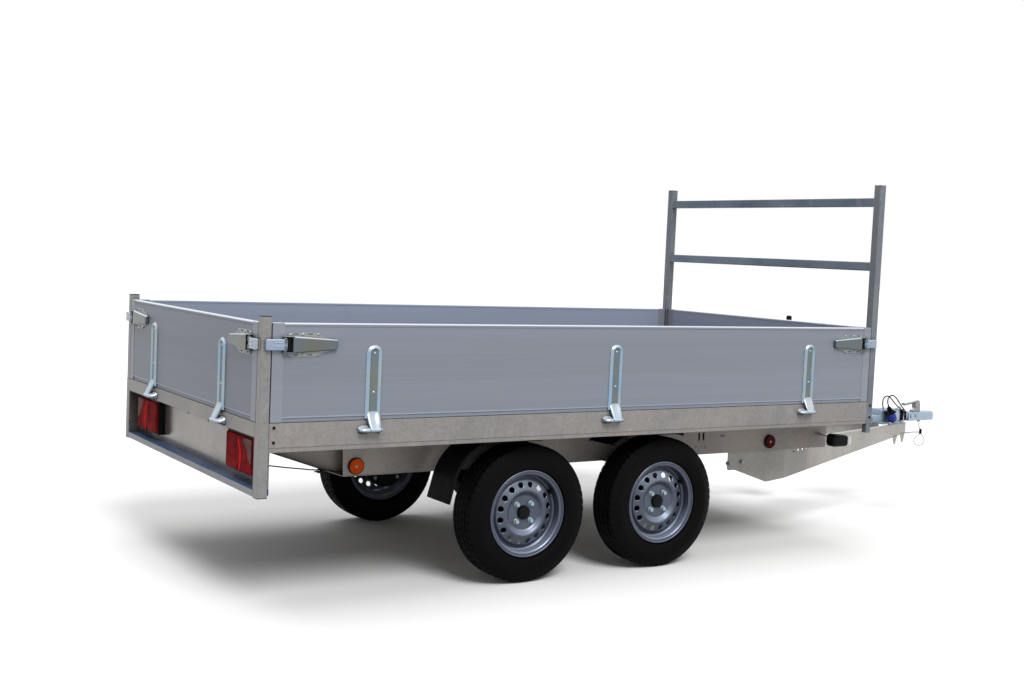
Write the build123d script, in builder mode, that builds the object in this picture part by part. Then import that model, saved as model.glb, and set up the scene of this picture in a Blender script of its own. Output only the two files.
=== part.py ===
from build123d import *
from math import pi, radians, tan
import os

# Flatbed trailer with drop sides, two braked axles and a ladder rack.
# Millimetres. +X forward to the coupling, +Y left, +Z up, origin on the ground
# under the middle of the whole trailer.

# ---------------------------------------------------------------- bed
bed_length = 3164.0
bed_width = 1586.0
tyre_radius = 289.0
tyre_headroom = 30.0
rail_height = 107.0
rail_wall = 3.0
rail_lower_flange = 28.0
rail_lip_height = 18.0
rail_lip_inset = 3.0
post_size = 40.0
post_wall = 3.0
upper_post_step = 1.0
rear_frame_drop = 161.0
rear_rail_height = 55.0
rear_frame_depth = 61.0
rear_channel_height = 25.0
deck_thickness = 15.0
cross_member_width = 45.0
cross_member_count = 9
cross_member_end = 120.0
member_wall = 4.0

rail_bottom = 2 * tyre_radius + tyre_headroom
rail_top = rail_bottom + rail_height
rear_frame_bottom = rail_bottom - rear_frame_drop
half_width = bed_width / 2
inner_half_width = half_width - post_size
upper_post_size = post_size - 2 * upper_post_step

# ---------------------------------------------------------------- boards and rack
board_height = 358.0
board_thickness = 25.0
board_skin = 1.6
board_cells = 6
board_inset = 3.0
board_gap = 2.0
rear_post_rise = 21.0
rack_rise = 684.0
rack_rail_height = 42.0
rack_rail_depth = 32.0
rack_rail_drops = {"rack_top_rail": 79.0, "rack_lower_rail": 389.0}

board_bottom = rail_top + board_gap
board_top = board_bottom + board_height
rack_top = board_top + rack_rise

# ---------------------------------------------------------------- board hinges and latches
hinge_standoff = 28.0
hinge_drop = 35.0
pin_radius = 4.0
pin_clearance = 0.1
knuckle_radius = 7.5
strap_width = 66.0
strap_knuckle = 60.0
strap_foot = 4.0
strap_drop = 80.0
strap_plate = 3.0
strap_rib = 9.0
strap_rib_width = 15.0
strap_flare = 45.0
side_strap_from_corner = 449.0
end_strap_from_corner = 385.0
lug_width = 30.0
lug_gap = 1.0
lug_foot = 4.0
lug_half_height = 18.0
latch_drop = 77.0
latch_plate_start = 100.0
latch_plate_end = 236.0
latch_plate_height = 88.0
latch_lever_start = 76.0
latch_lever_end = 292.0
latch_lever_height = 62.0
latch_tip_height = 36.0
latch_lever_depth = 14.0
latch_nose_start = 12.0
latch_nose_height = 40.0
latch_nose_thickness = 5.0
latch_nose_lift = 11.0
keeper_depth = 5.0
keeper_width = 18.0
keeper_height = 34.0

hinge_height = rail_top - hinge_drop
latch_height = board_top - latch_drop

# ---------------------------------------------------------------- chassis beams
beam_inset = 293.0
beam_width = 50.0
beam_height = 158.0
beam_wall = 3.0
beam_closed_from = 477.0
beam_outer = half_width - beam_inset
beam_inner = beam_outer - beam_width
beam_bottom = rail_bottom - beam_height

# ---------------------------------------------------------------- wheels and axles
wheel_inset = 141.0
tyre_width = 157.0
bead_radius = 165.0
flange_height = 17.5
bead_to_wall = 21.5
rim_wall = 3.5
well_depth = 19.0
wheel_offset = 30.0
disc_thickness = 4.0
centre_bore = 30.0
vent_circle = 119.0
vent_radius = 12.0
vent_count = 16
axle_spacing = 711.0
axle_set_back = 7.5
axle_tube = 70.0
arm_lead = 120.0
arm_thickness = 30.0
drum_radius = 105.0
drum_length = 62.0
hub_gap = 0.4
wheel_track_half = half_width - wheel_inset
rim_half_width = tyre_width / 2 - bead_to_wall
rim_flange_radius = bead_radius + flange_height

# ---------------------------------------------------------------- drawbar
# Distances along X are ahead of the bed's front face.
drawbar_reach = 1407.0
arm_start = -608.0
arm_heel_end = -560.0
arm_toe = -350.0
arm_fold = -229.0
arm_front = 1076.0
arm_front_half = 100.0
arm_drop = 130.0
arm_wall = 4.0
arm_flange = 35.0
arm_heel_depth = 124.0
arm_toe_depth = 195.0
arm_front_depth = 55.0
housing_rear = 826.0
housing_front = 1136.0
housing_half_width = 42.0
housing_base = 6.0
housing_height = 78.0
housing_step = 930.0
housing_rear_height = 46.0
draw_tube_radius = 25.0
draw_tube_rise = 30.0
bellows_radius = 35.0
head_rear = 1181.0
head_below_tube = 27.0
head_above_tube = 23.0
head_half_width = 31.0
ball_radius = 25.0
ball_clearance = 0.2
ball_depth = 34.0
ball_from_nose = 52.0

arm_top = rail_bottom - arm_drop
arm_toe_bottom = arm_top - arm_toe_depth
draw_tube_height = arm_top + draw_tube_rise
head_bottom = draw_tube_height - head_below_tube
head_top = draw_tube_height + head_above_tube

hinge_projection = hinge_standoff + knuckle_radius
overall_length = hinge_projection + bed_length + drawbar_reach
rear_face = hinge_projection - overall_length / 2
bed_front = rear_face + bed_length
bed_middle = rear_face + bed_length / 2


def ahead(distance):
    """Give the X of a point this far forward of the bed's rear face."""
    return rear_face + distance


def in_front(distance):
    """Give the X of a point this far forward of the bed's front face."""
    return bed_front + distance


def slab(x_span, y_span, z_span, mode=Mode.ADD):
    """Add a box between two corners to the part in hand."""
    middle = [(low + high) / 2 for low, high in (x_span, y_span, z_span)]
    size = [abs(high - low) for low, high in (x_span, y_span, z_span)]
    with Locations(tuple(middle)):
        Box(*size, mode=mode)


def save(piece, name):
    """Label a finished piece and write its file."""
    piece.label = name
    export_step(piece, f"parts/{name}.step")


os.makedirs("parts", exist_ok=True)

wheel_centres = {
    "rear": bed_middle - axle_set_back - axle_spacing / 2,
    "front": bed_middle - axle_set_back + axle_spacing / 2,
}
SIDES = (("left", 1), ("right", -1))

# ================================================================ bed frame
# Side rails: a channel with its web outside, a full top flange for the boards
# to stand on and a short lip set in along the bottom edge.
for side, sign in SIDES:
    web = half_width - rail_wall
    lip = half_width - rail_lip_inset
    with BuildPart() as side_rail:
        with BuildSketch(Plane.YZ.offset(ahead(post_size))):
            with BuildLine():
                Polyline(
                    (sign * inner_half_width, rail_top),
                    (sign * half_width, rail_top),
                    (sign * half_width, rail_bottom + rail_lip_height),
                    (sign * lip, rail_bottom + rail_lip_height),
                    (sign * lip, rail_bottom),
                    (sign * (half_width - rail_lower_flange), rail_bottom),
                    (sign * (half_width - rail_lower_flange), rail_bottom + rail_wall),
                    (sign * (lip - rail_wall), rail_bottom + rail_wall),
                    (sign * (lip - rail_wall), rail_bottom + rail_lip_height + rail_wall),
                    (sign * web, rail_bottom + rail_lip_height + rail_wall),
                    (sign * web, rail_top - rail_wall),
                    (sign * inner_half_width, rail_top - rail_wall),
                    close=True,
                )
            make_face()
        extrude(amount=bed_length - 2 * post_size)
    save(side_rail.part, f"{side}_side_rail")

# Front and rear cross rails: closed tubes between the corner posts.
END_RAILS = (
    # name, rear X, front X, bottom
    ("front_rail", bed_front - post_size, bed_front, rail_bottom),
    ("rear_rail", rear_face, ahead(rear_frame_depth), rail_top - rear_rail_height),
)
for name, rail_back, rail_front, bottom in END_RAILS:
    with BuildPart() as end_rail:
        slab((rail_back, rail_front), (-inner_half_width, inner_half_width), (bottom, rail_top))
        slab(
            (rail_back + rail_wall, rail_front - rail_wall),
            (-inner_half_width, inner_half_width),
            (bottom + rail_wall, rail_top - rail_wall),
            mode=Mode.SUBTRACT,
        )
    save(end_rail.part, name)

# Cross members: channels open to the rear, under the deck and on the beams.
member_top = rail_top - deck_thickness
member_half = half_width - rail_lower_flange
member_span = bed_length - 2 * cross_member_end
member_pitch = member_span / (cross_member_count - 1)
with BuildPart() as cross_members:
    for index in range(cross_member_count):
        front = ahead(cross_member_end + index * member_pitch) + cross_member_width / 2
        back = front - cross_member_width
        slab((back, front), (-member_half, member_half), (rail_bottom, member_top))
        slab(
            (back, front - member_wall),
            (-member_half, member_half),
            (rail_bottom + member_wall, member_top - member_wall),
            mode=Mode.SUBTRACT,
        )
save(cross_members.part, "cross_members")

# Deck: one panel between the rails, its face level with their tops.
with BuildPart() as deck:
    slab(
        (ahead(rear_frame_depth), bed_front - post_size),
        (-inner_half_width, inner_half_width),
        (member_top, rail_top),
    )
save(deck.part, "deck_floor")

# ================================================================ posts and rack
# Rear corners: a lower post carries the rear frame, and an upper post stands on it.
POSTS = (
    # name, centre X, size, bottom, top
    ("rear_lower_posts", ahead(post_size / 2), post_size, rear_frame_bottom, rail_top),
    ("rear_upper_posts", ahead(post_size / 2), upper_post_size, rail_top, board_top + rear_post_rise),
    ("front_posts", bed_front - post_size / 2, post_size, rail_bottom, rack_top),
)
post_line = half_width - post_size / 2
keeper_bottom = latch_height - keeper_height / 2
for name, post_x, size, bottom, top in POSTS:
    with BuildPart() as posts:
        with BuildSketch(Plane.XY.offset(bottom)):
            with Locations((post_x, post_line), (post_x, -post_line)):
                Rectangle(size, size)
                Rectangle(size - 2 * post_wall, size - 2 * post_wall, mode=Mode.SUBTRACT)
        extrude(amount=top - bottom)
        if name != "rear_lower_posts":
            # Latch keepers: one plate on each outer face of the post.
            outward = 1 if name == "front_posts" else -1
            face_x = post_x + outward * size / 2
            for _, sign in SIDES:
                face_y = post_line + size / 2
                slab(
                    (face_x, post_x + outward * (post_size / 2 + keeper_depth)),
                    (sign * (post_line - keeper_width / 2), sign * (post_line + keeper_width / 2)),
                    (keeper_bottom, keeper_bottom + keeper_height),
                )
                slab(
                    (post_x - keeper_width / 2, post_x + keeper_width / 2),
                    (sign * face_y, sign * (half_width + keeper_depth)),
                    (keeper_bottom, keeper_bottom + keeper_height),
                )
    save(posts.part, name)

for name, drop in rack_rail_drops.items():
    with BuildPart() as rack_rail:
        with BuildSketch(Plane.XZ.offset(-inner_half_width)):
            with Locations((bed_front - post_size / 2, rack_top - drop)):
                Rectangle(rack_rail_depth, rack_rail_height)
                Rectangle(
                    rack_rail_depth - 2 * post_wall,
                    rack_rail_height - 2 * post_wall,
                    mode=Mode.SUBTRACT,
                )
        extrude(amount=2 * inner_half_width)
    save(rack_rail.part, name)

# ================================================================ rear frame
# A recessed panel with side cheeks closes the rear, above a channel along the bottom.
panel_back = ahead(rear_frame_depth)
channel_top = rear_frame_bottom + rear_channel_height
with BuildPart() as lamp_panel:
    slab(
        (panel_back - rail_wall, panel_back),
        (-inner_half_width, inner_half_width),
        (channel_top, rail_top - rear_rail_height),
    )
    for _, sign in SIDES:
        slab(
            (rear_face, panel_back),
            (sign * (inner_half_width - rail_wall), sign * inner_half_width),
            (channel_top, rail_top - rear_rail_height),
        )
save(lamp_panel.part, "rear_lamp_panel")

with BuildPart() as bottom_channel:
    slab(
        (rear_face, panel_back),
        (-inner_half_width, inner_half_width),
        (rear_frame_bottom, channel_top),
    )
    slab(
        (rear_face, panel_back - rail_wall),
        (-inner_half_width, inner_half_width),
        (rear_frame_bottom + rail_wall, channel_top - rail_wall),
        mode=Mode.SUBTRACT,
    )
save(bottom_channel.part, "rear_bottom_channel")

# Rear lamps: black housings on the panel with the lens standing on each.
lamp_inset = 241.0
lamp_width = 262.0
lamp_rise = 61.0
lamp_height = 134.0
lamp_edge = 6.0
lens_recess = 20.0
lens_depth = 22.0
lamp_centre = half_width - lamp_inset
lamp_bottom = rear_frame_bottom + lamp_rise
lens_face = ahead(lens_recess)
for name, grow, near, far in (
    ("rear_lamp_housings", lamp_edge, lens_face + lens_depth, panel_back - rail_wall),
    ("rear_lamp_lenses", 0.0, lens_face, lens_face + lens_depth),
):
    with BuildPart() as lamps:
        for _, sign in SIDES:
            slab(
                (near, far),
                (
                    sign * (lamp_centre - lamp_width / 2 - grow),
                    sign * (lamp_centre + lamp_width / 2 + grow),
                ),
                (lamp_bottom - grow, lamp_bottom + lamp_height + grow),
            )
    save(lamps.part, name)

# ================================================================ boards
# Every board is a hollow double-wall plank, open at its ends.
cell_height = (board_height - (board_cells + 1) * board_skin) / board_cells
cell_pitch = cell_height + board_skin
cell_thickness = board_thickness - 2 * board_skin
side_strap = bed_length / 2 - side_strap_from_corner
end_strap = half_width - end_strap_from_corner

# Each edge of the bed: the way out from it, the way along it as seen from
# outside with up still up, its half length, and how far apart its hinges stand.
EDGES = (
    # board, centre X, centre Y, outward, along, half length, strap offsets
    ("right_side_board", bed_middle, -half_width, (0, -1, 0), (1, 0, 0), bed_length / 2,
     (-side_strap, 0.0, side_strap)),
    ("left_side_board", bed_middle, half_width, (0, 1, 0), (-1, 0, 0), bed_length / 2,
     (-side_strap, 0.0, side_strap)),
    ("tailboard", rear_face, 0.0, (-1, 0, 0), (0, -1, 0), half_width,
     (-end_strap, end_strap)),
    ("front_board", bed_front, 0.0, (1, 0, 0), (0, 1, 0), half_width,
     (-end_strap, end_strap)),
)


def section_plane(edge_x, edge_y, outward, along, place):
    """Stand a plane across an edge: its x points outward and its y up."""
    back = Vector(*along) * -1
    origin = Vector(edge_x, edge_y, 0) + Vector(*along) * place
    return Plane(origin=origin, x_dir=outward, z_dir=back)


def face_plane(edge_x, edge_y, outward, along, out):
    """Stand a plane in front of an edge: its x runs along and its y up."""
    origin = Vector(edge_x, edge_y, 0) + Vector(*outward) * out
    return Plane(origin=origin, x_dir=along, z_dir=outward)


lug_inner = strap_knuckle / 2 + lug_gap
strap_height = board_height - strap_drop - strap_foot
strap_centre = board_bottom + strap_foot + strap_height / 2
for name, edge_x, edge_y, outward, along, half, straps in EDGES:
    length = 2 * half - 2 * post_size - 2 * board_gap
    with BuildPart() as board:
        with BuildSketch(section_plane(edge_x, edge_y, outward, along, -length / 2)):
            with Locations((-board_inset - board_thickness / 2, board_bottom + board_height / 2)):
                Rectangle(board_thickness, board_height)
                with GridLocations(0, cell_pitch, 1, board_cells):
                    Rectangle(cell_thickness, cell_height, mode=Mode.SUBTRACT)
        extrude(amount=-length)
    save(board.part, name)

    # Hinge straps: a flat back with a rounded raised rib, on a foot that reaches
    # out over the rail to its knuckle.
    with BuildPart() as fittings:
        for place in straps:
            with BuildSketch(face_plane(edge_x, edge_y, outward, along, -board_inset)):
                with Locations((place, strap_centre)):
                    RectangleRounded(strap_width, strap_height, strap_width * 0.4)
            extrude(amount=strap_plate)
            with BuildSketch(face_plane(edge_x, edge_y, outward, along, -board_inset)):
                with Locations((place, strap_centre)):
                    RectangleRounded(strap_width, strap_height, strap_width * 0.4)
                    RectangleRounded(
                        strap_width - 2 * strap_rib_width,
                        strap_height - 2 * strap_rib_width,
                        strap_width * 0.25,
                        mode=Mode.SUBTRACT,
                    )
            extrude(amount=strap_rib)
            plane = section_plane(edge_x, edge_y, outward, along, place)
            with BuildSketch(plane):
                with BuildLine():
                    Polyline(
                        (-board_inset, board_bottom + strap_flare),
                        (-board_inset, board_bottom + strap_foot),
                        (knuckle_radius, board_bottom + strap_foot / 2),
                        (hinge_standoff - knuckle_radius, hinge_height + pin_radius),
                        (hinge_standoff, hinge_height),
                        (hinge_standoff + knuckle_radius, hinge_height + pin_radius),
                        (strap_rib, board_bottom + strap_flare),
                        close=True,
                    )
                make_face()
                with Locations((hinge_standoff, hinge_height)):
                    Circle(knuckle_radius)
            extrude(amount=strap_knuckle / 2, both=True)
            with BuildSketch(plane):
                with Locations((hinge_standoff, hinge_height)):
                    Circle(pin_radius + pin_clearance)
            extrude(amount=strap_knuckle, both=True, mode=Mode.SUBTRACT)

        # Over-centre latches: a base plate, a tapered lever and a nose over the post.
        for end in (-1, 1):
            corner = end * half
            with BuildSketch(face_plane(edge_x, edge_y, outward, along, -board_inset)):
                with Locations((corner - end * (latch_plate_start + latch_plate_end) / 2, latch_height)):
                    Rectangle(latch_plate_end - latch_plate_start, latch_plate_height)
            extrude(amount=strap_plate)
            with BuildSketch(face_plane(edge_x, edge_y, outward, along, -board_inset)):
                with BuildLine():
                    Polyline(
                        (corner - end * latch_lever_start, latch_height - latch_lever_height / 2),
                        (corner - end * latch_lever_end, latch_height - latch_tip_height / 2),
                        (corner - end * latch_lever_end, latch_height + latch_tip_height / 2),
                        (corner - end * latch_lever_start, latch_height + latch_lever_height / 2),
                        close=True,
                    )
                make_face()
            extrude(amount=strap_plate + latch_lever_depth)
            with BuildSketch(face_plane(edge_x, edge_y, outward, along, latch_nose_lift)):
                with Locations((corner - end * (latch_nose_start + latch_plate_start) / 2, latch_height)):
                    Rectangle(latch_plate_start - latch_nose_start, latch_nose_height)
            extrude(amount=latch_nose_thickness)
    save(fittings.part, f"{name}_fittings")

# Rail hinge brackets: two lugs at each strap, with the pin between them.
with BuildPart() as brackets:
    for name, edge_x, edge_y, outward, along, half, straps in EDGES:
        for place in straps:
            plane = section_plane(edge_x, edge_y, outward, along, place)
            for way in (-1, 1):
                with BuildSketch(plane.offset(way * lug_inner)):
                    with BuildLine():
                        Polyline(
                            (0, hinge_height - lug_half_height),
                            (lug_foot, hinge_height - lug_half_height),
                            (hinge_standoff, hinge_height - knuckle_radius),
                            (hinge_standoff, hinge_height + knuckle_radius),
                            (lug_foot, hinge_height + lug_half_height),
                            (0, hinge_height + lug_half_height),
                            close=True,
                        )
                    make_face()
                    with Locations((hinge_standoff, hinge_height)):
                        Circle(knuckle_radius)
                extrude(amount=way * lug_width)
            with BuildSketch(plane):
                with Locations((hinge_standoff, hinge_height)):
                    Circle(pin_radius)
            extrude(amount=lug_inner + lug_width / 2, both=True)
save(brackets.part, "rail_hinge_brackets")

# ================================================================ chassis beams
# Box beams whose closing plate stops short of the rear, where they taper up.
tail_x = ahead(rear_frame_depth)
closed_x = ahead(beam_closed_from)
tail_height = 12.0
tail_bottom = rail_bottom - tail_height
for side, sign in SIDES:
    outline = (
        (tail_x, rail_bottom),
        (tail_x, tail_bottom),
        (closed_x, beam_bottom),
        (bed_front, beam_bottom),
        (bed_front, rail_bottom),
    )
    hollow = (
        (tail_x, rail_bottom - beam_wall),
        (tail_x, tail_bottom + beam_wall),
        (closed_x, beam_bottom + beam_wall),
        (bed_front - beam_wall, beam_bottom + beam_wall),
        (bed_front - beam_wall, rail_bottom - beam_wall),
    )
    with BuildPart() as beam:
        with BuildSketch(Plane.XZ.offset(-sign * beam_inner)):
            with BuildLine():
                Polyline(*outline, close=True)
            make_face()
        extrude(amount=-sign * beam_width)
        with BuildSketch(Plane.XZ.offset(-sign * (beam_inner + beam_wall))):
            with BuildLine():
                Polyline(*hollow, close=True)
            make_face()
        extrude(amount=-sign * (beam_width - 2 * beam_wall), mode=Mode.SUBTRACT)
        slab(
            (tail_x, closed_x),
            (sign * (beam_outer - beam_wall), sign * beam_outer),
            (beam_bottom, rail_bottom),
            mode=Mode.SUBTRACT,
        )
    save(beam.part, f"{side}_chassis_beam")

# Round side reflectors on the beams' outer faces.
reflector_radius = 33.0
reflector_depth = 12.0
REFLECTORS = (
    # X, below the rails
    (ahead(531.0), 118.0),
    (in_front(-391.0), 114.0),
)
with BuildPart() as side_reflectors:
    for reflector_x, drop in REFLECTORS:
        for _, sign in SIDES:
            with BuildSketch(Plane.XZ.offset(-sign * beam_outer)):
                with Locations((reflector_x, rail_bottom - drop)):
                    Circle(reflector_radius)
            extrude(amount=-sign * reflector_depth)
save(side_reflectors.part, "side_reflectors")

# Front marker lamps: each housing stands out from the beam on a flat arm.
marker_length = 128.0
marker_ahead = 14.0
marker_inset = 129.0
marker_width = 58.0
marker_height = 66.0
marker_drop = 66.0
marker_corner = 16.0
marker_arm_behind = 40.0
marker_arm_width = 30.0
marker_arm_thickness = 5.0
marker_arm_drop = 20.0
marker_rear = in_front(marker_ahead - marker_length)
marker_inner = half_width - marker_inset - marker_width
marker_top = rail_bottom - marker_drop
marker_arm_rear = marker_rear + marker_arm_behind
with BuildPart() as marker_lamps:
    for _, sign in SIDES:
        with BuildSketch(Plane.YZ.offset(marker_rear)):
            with Locations((sign * (marker_inner + marker_width / 2), marker_top - marker_height / 2)):
                RectangleRounded(marker_width, marker_height, marker_corner)
        extrude(amount=marker_length)
        slab(
            (marker_arm_rear, marker_arm_rear + marker_arm_width),
            (sign * beam_outer, sign * (marker_inner + marker_width / 2)),
            (marker_top - marker_arm_drop - marker_arm_thickness, marker_top - marker_arm_drop),
        )
save(marker_lamps.part, "front_marker_lamps")

# ================================================================ mudguards
mudguard_inboard = 92.0
mudguard_outboard = 83.0
mudguard_wall = 3.0
mudguard_seat = 0.3
arch_gap = 29.0
crown_angle = 81.5
front_end_angle = 52.0
flap_behind = 397.0
flap_rise = 71.0
knee_behind = 373.0
knee_rise = 161.0
shoulder_behind = 209.0
arch_radius = tyre_radius + arch_gap
mudguard_inner = wheel_track_half - mudguard_inboard
crown = rail_bottom - mudguard_seat


def arch_point(wheel, degrees):
    """Give the point on a wheel's arch at this angle above the ground line."""
    centre = Vector(wheel_centres[wheel], tyre_radius)
    return centre + Vector(arch_radius, 0).rotate(Axis.Z, degrees)


# Each wheel has its own guard: from a knee behind the wheel up to the crown. The
# rear one has a flap below its knee, and the front one comes down again ahead.
flap_way = Vector(flap_behind - knee_behind, knee_rise - flap_rise)
front_arch = arch_point("front", front_end_angle)
for side, sign in SIDES:
    with BuildPart() as mudguard:
        for wheel, centre_x in wheel_centres.items():
            knee = Vector(centre_x - knee_behind, tyre_radius + knee_rise)
            shoulder = Vector(centre_x - shoulder_behind, crown)
            crown_end = Vector(arch_point(wheel, crown_angle).X, crown)
            with BuildSketch(Plane.XZ.offset(-sign * mudguard_inner)):
                with BuildLine():
                    if wheel == "rear":
                        Line(knee - flap_way, knee)
                    TangentArc(knee, shoulder, tangent=flap_way)
                    Line(shoulder, crown_end)
                    if wheel == "front":
                        middle = arch_point("front", (crown_angle + front_end_angle) / 2)
                        ThreePointArc(crown_end, middle, front_arch)
                    offset(amount=mudguard_wall, side=Side.RIGHT)
                make_face()
            extrude(amount=-sign * (mudguard_inboard + mudguard_outboard))
    save(mudguard.part, f"{side}_mudguard")

# ================================================================ axles
# Each axle: a square tube under the beams, with an arm at each end that trails
# back to a stub, its drum and the face the wheel bolts to.
axle_tube_z = beam_bottom - axle_tube / 2
mount_face = wheel_track_half + wheel_offset
arm_offset = 14.0
arm_inner = beam_outer + arm_offset
drum_inner = arm_inner + arm_thickness
stub_radius = 26.0
neck_radius = 40.0
hub_radius = 68.0
hub_thickness = 12.0
for axle, centre_x in wheel_centres.items():
    tube_x = centre_x + arm_lead
    with BuildPart() as axle_beam:
        slab(
            (tube_x - axle_tube / 2, tube_x + axle_tube / 2),
            (-arm_inner, arm_inner),
            (beam_bottom - axle_tube, beam_bottom),
        )
        for _, sign in SIDES:
            plane = Plane.XZ.offset(-sign * arm_inner)
            with BuildSketch(plane):
                SlotCenterPoint(
                    ((centre_x + tube_x) / 2, (tyre_radius + axle_tube_z) / 2),
                    (tube_x, axle_tube_z),
                    axle_tube * 0.9,
                )
            extrude(amount=-sign * arm_thickness)
            for radius, start, stop in (
                (drum_radius, drum_inner, drum_inner + drum_length),
                (neck_radius, drum_inner + drum_length, mount_face - hub_thickness),
                (hub_radius, mount_face - hub_thickness, mount_face - hub_gap),
                (stub_radius, mount_face - hub_gap, mount_face + disc_thickness),
            ):
                with BuildSketch(Plane.XZ.offset(-sign * start)):
                    with Locations((centre_x, tyre_radius)):
                        Circle(radius)
                extrude(amount=-sign * (stop - start))
    save(axle_beam.part, f"{axle}_axle")

# ================================================================ wheels
# Section of the wheel, worked out across the wheel (t, outboard positive) and
# out from its centre (r). The barrel's flanges hold the tyre's beads.
well_start = 14.0
well_end = 24.0
flange_curl = 9.0
flange_round = 4.0
seat_taper = 3.0
well_radius = bead_radius - well_depth
barrel_outline = (
    (-rim_half_width - flange_curl, rim_flange_radius - flange_round),
    (-rim_half_width - flange_curl / 2, rim_flange_radius),
    (-rim_half_width, rim_flange_radius - flange_round),
    (-rim_half_width, bead_radius),
    (-well_end, bead_radius - seat_taper),
    (-well_start, well_radius),
    (well_start, well_radius),
    (well_end, bead_radius - seat_taper),
    (rim_half_width, bead_radius),
    (rim_half_width, rim_flange_radius - flange_round),
    (rim_half_width + flange_curl / 2, rim_flange_radius),
    (rim_half_width + flange_curl, rim_flange_radius - flange_round),
)
hub_face = wheel_offset
disc_outline = (
    (hub_face, centre_bore),
    (hub_face, 72.0),
    (hub_face + 4, 78.0),
    (hub_face + 15, 88.0),
    (hub_face + 18, 96.0),
    (hub_face + 14, 106.0),
    (hub_face + 4, bead_radius - 33.0),
    (hub_face - 6, bead_radius - 22.0),
    (hub_face - 12, bead_radius - 2 - rim_wall),
)
vent_depth = 40.0
tyre_clearance = 0.3
flange_cover = 12.0
sidewall_rise = 5.0
shoulder_drop = 8.0
shoulder_inset = 14.5
tread_inset = 22.5
tread_crown = 1.5
tyre_heel = (rim_half_width - tyre_clearance, bead_radius + tyre_clearance)
tyre_lip = (rim_half_width - tyre_clearance, rim_flange_radius + 2)
tyre_cover = (rim_half_width + flange_cover, rim_flange_radius + 6)
widest = (tyre_width / 2, (bead_radius + tyre_radius) / 2 + sidewall_rise)
shoulder = (tyre_width / 2 - shoulder_inset, tyre_radius - shoulder_drop)
tread_edge = (tyre_width / 2 - tread_inset, tyre_radius - tread_crown)
for side, sign in SIDES:
    for axle, centre_x in wheel_centres.items():
        # Local plane: x runs outboard, y out from the wheel's centre line.
        spin = Axis((centre_x, 0, tyre_radius), (0, 1, 0))
        section = Plane(
            origin=(centre_x, sign * wheel_track_half, tyre_radius),
            x_dir=(0, sign, 0),
            z_dir=(sign, 0, 0),
        )
        with BuildPart() as rim:
            with BuildSketch(section):
                with BuildLine():
                    Polyline(*barrel_outline)
                    offset(amount=rim_wall, side=Side.RIGHT)
                make_face()
            revolve(axis=spin)
            with BuildSketch(section):
                with BuildLine():
                    Polyline(*disc_outline)
                    offset(amount=disc_thickness, side=Side.RIGHT)
                make_face()
            revolve(axis=spin)
            vent_plane = Plane(
                origin=(centre_x, sign * (wheel_track_half + hub_face - 8), tyre_radius),
                x_dir=(1, 0, 0),
                z_dir=(0, sign, 0),
            )
            with BuildSketch(vent_plane):
                with PolarLocations(vent_circle, vent_count):
                    Circle(vent_radius)
            extrude(amount=vent_depth, mode=Mode.SUBTRACT)
        save(rim.part, f"{axle}_{side}_rim")

        with BuildPart() as tyre:
            with BuildSketch(section):
                with BuildLine():
                    for way in (-1, 1):
                        Polyline(*((way * t, r) for t, r in (tyre_heel, tyre_lip, tyre_cover)))
                        ThreePointArc(*((way * t, r) for t, r in (tyre_cover, widest, shoulder)))
                        Line((way * shoulder[0], shoulder[1]), (way * tread_edge[0], tread_edge[1]))
                    ThreePointArc(
                        (-tread_edge[0], tread_edge[1]), (0, tyre_radius), (tread_edge[0], tread_edge[1])
                    )
                    Line((-tyre_heel[0], tyre_heel[1]), tyre_heel)
                make_face()
            revolve(axis=spin)
        save(tyre.part, f"{axle}_{side}_tyre")

# ================================================================ drawbar
# Each arm is a folded web that runs inside its beam and then turns in to the
# coupling, with a flange along its top.
arm_outer = beam_inner
turn = Vector(arm_front - arm_fold, arm_front_half - arm_outer)
lean_in = turn.Y / turn.X
arm_slope = (arm_toe_depth - arm_front_depth) / (arm_front - arm_toe)
hook_half_width = 30.0
hook_tip_half = 5.0
hook_root_overlap = 8.0
HOOKS = (
    # distance ahead of the bed's front, tip below the arms' tops
    (954.0, 111.0),
    (1046.0, 106.0),
)
arm_profile = (
    (in_front(arm_start), arm_top),
    (in_front(arm_start), arm_top - arm_heel_depth),
    (in_front(arm_heel_end), arm_top - arm_heel_depth),
    (in_front(arm_toe), arm_toe_bottom),
    (in_front(arm_front), arm_top - arm_front_depth),
    (in_front(arm_front), arm_top),
)
for side, sign in SIDES:
    path = (
        (in_front(arm_start), sign * arm_outer),
        (in_front(arm_fold), sign * arm_outer),
        (in_front(arm_front), sign * arm_front_half),
    )
    inward = Side.RIGHT if sign > 0 else Side.LEFT
    with BuildPart() as arm:
        for width, bottom in ((arm_wall, arm_toe_bottom), (arm_flange, arm_top - arm_wall)):
            with BuildSketch(Plane.XY.offset(bottom)):
                with BuildLine():
                    Polyline(*path)
                    offset(amount=width, side=inward)
                make_face()
            extrude(amount=arm_top - bottom)
        with BuildSketch(Plane.XZ.offset(half_width)):
            with BuildLine():
                Polyline(*arm_profile, close=True)
            make_face()
        extrude(amount=-bed_width, mode=Mode.INTERSECT)
        # Cable hooks: two pointed tabs under the front of each arm.
        for hook, hook_drop in HOOKS:
            web = Plane(
                origin=(in_front(hook), sign * (arm_outer + lean_in * (hook - arm_fold)), 0),
                x_dir=(turn.X, sign * turn.Y, 0),
                z_dir=(sign * turn.Y, -turn.X, 0),
            )
            hook_root = arm_toe_bottom + arm_slope * (hook - arm_toe) + hook_root_overlap
            with BuildSketch(web):
                with BuildLine():
                    Polyline(
                        (-hook_half_width, hook_root),
                        (hook_half_width, hook_root),
                        (hook_tip_half, arm_top - hook_drop),
                        (-hook_tip_half, arm_top - hook_drop),
                        close=True,
                    )
                make_face()
            extrude(amount=sign * arm_wall)
    save(arm.part, f"{side}_drawbar_arm")

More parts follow.
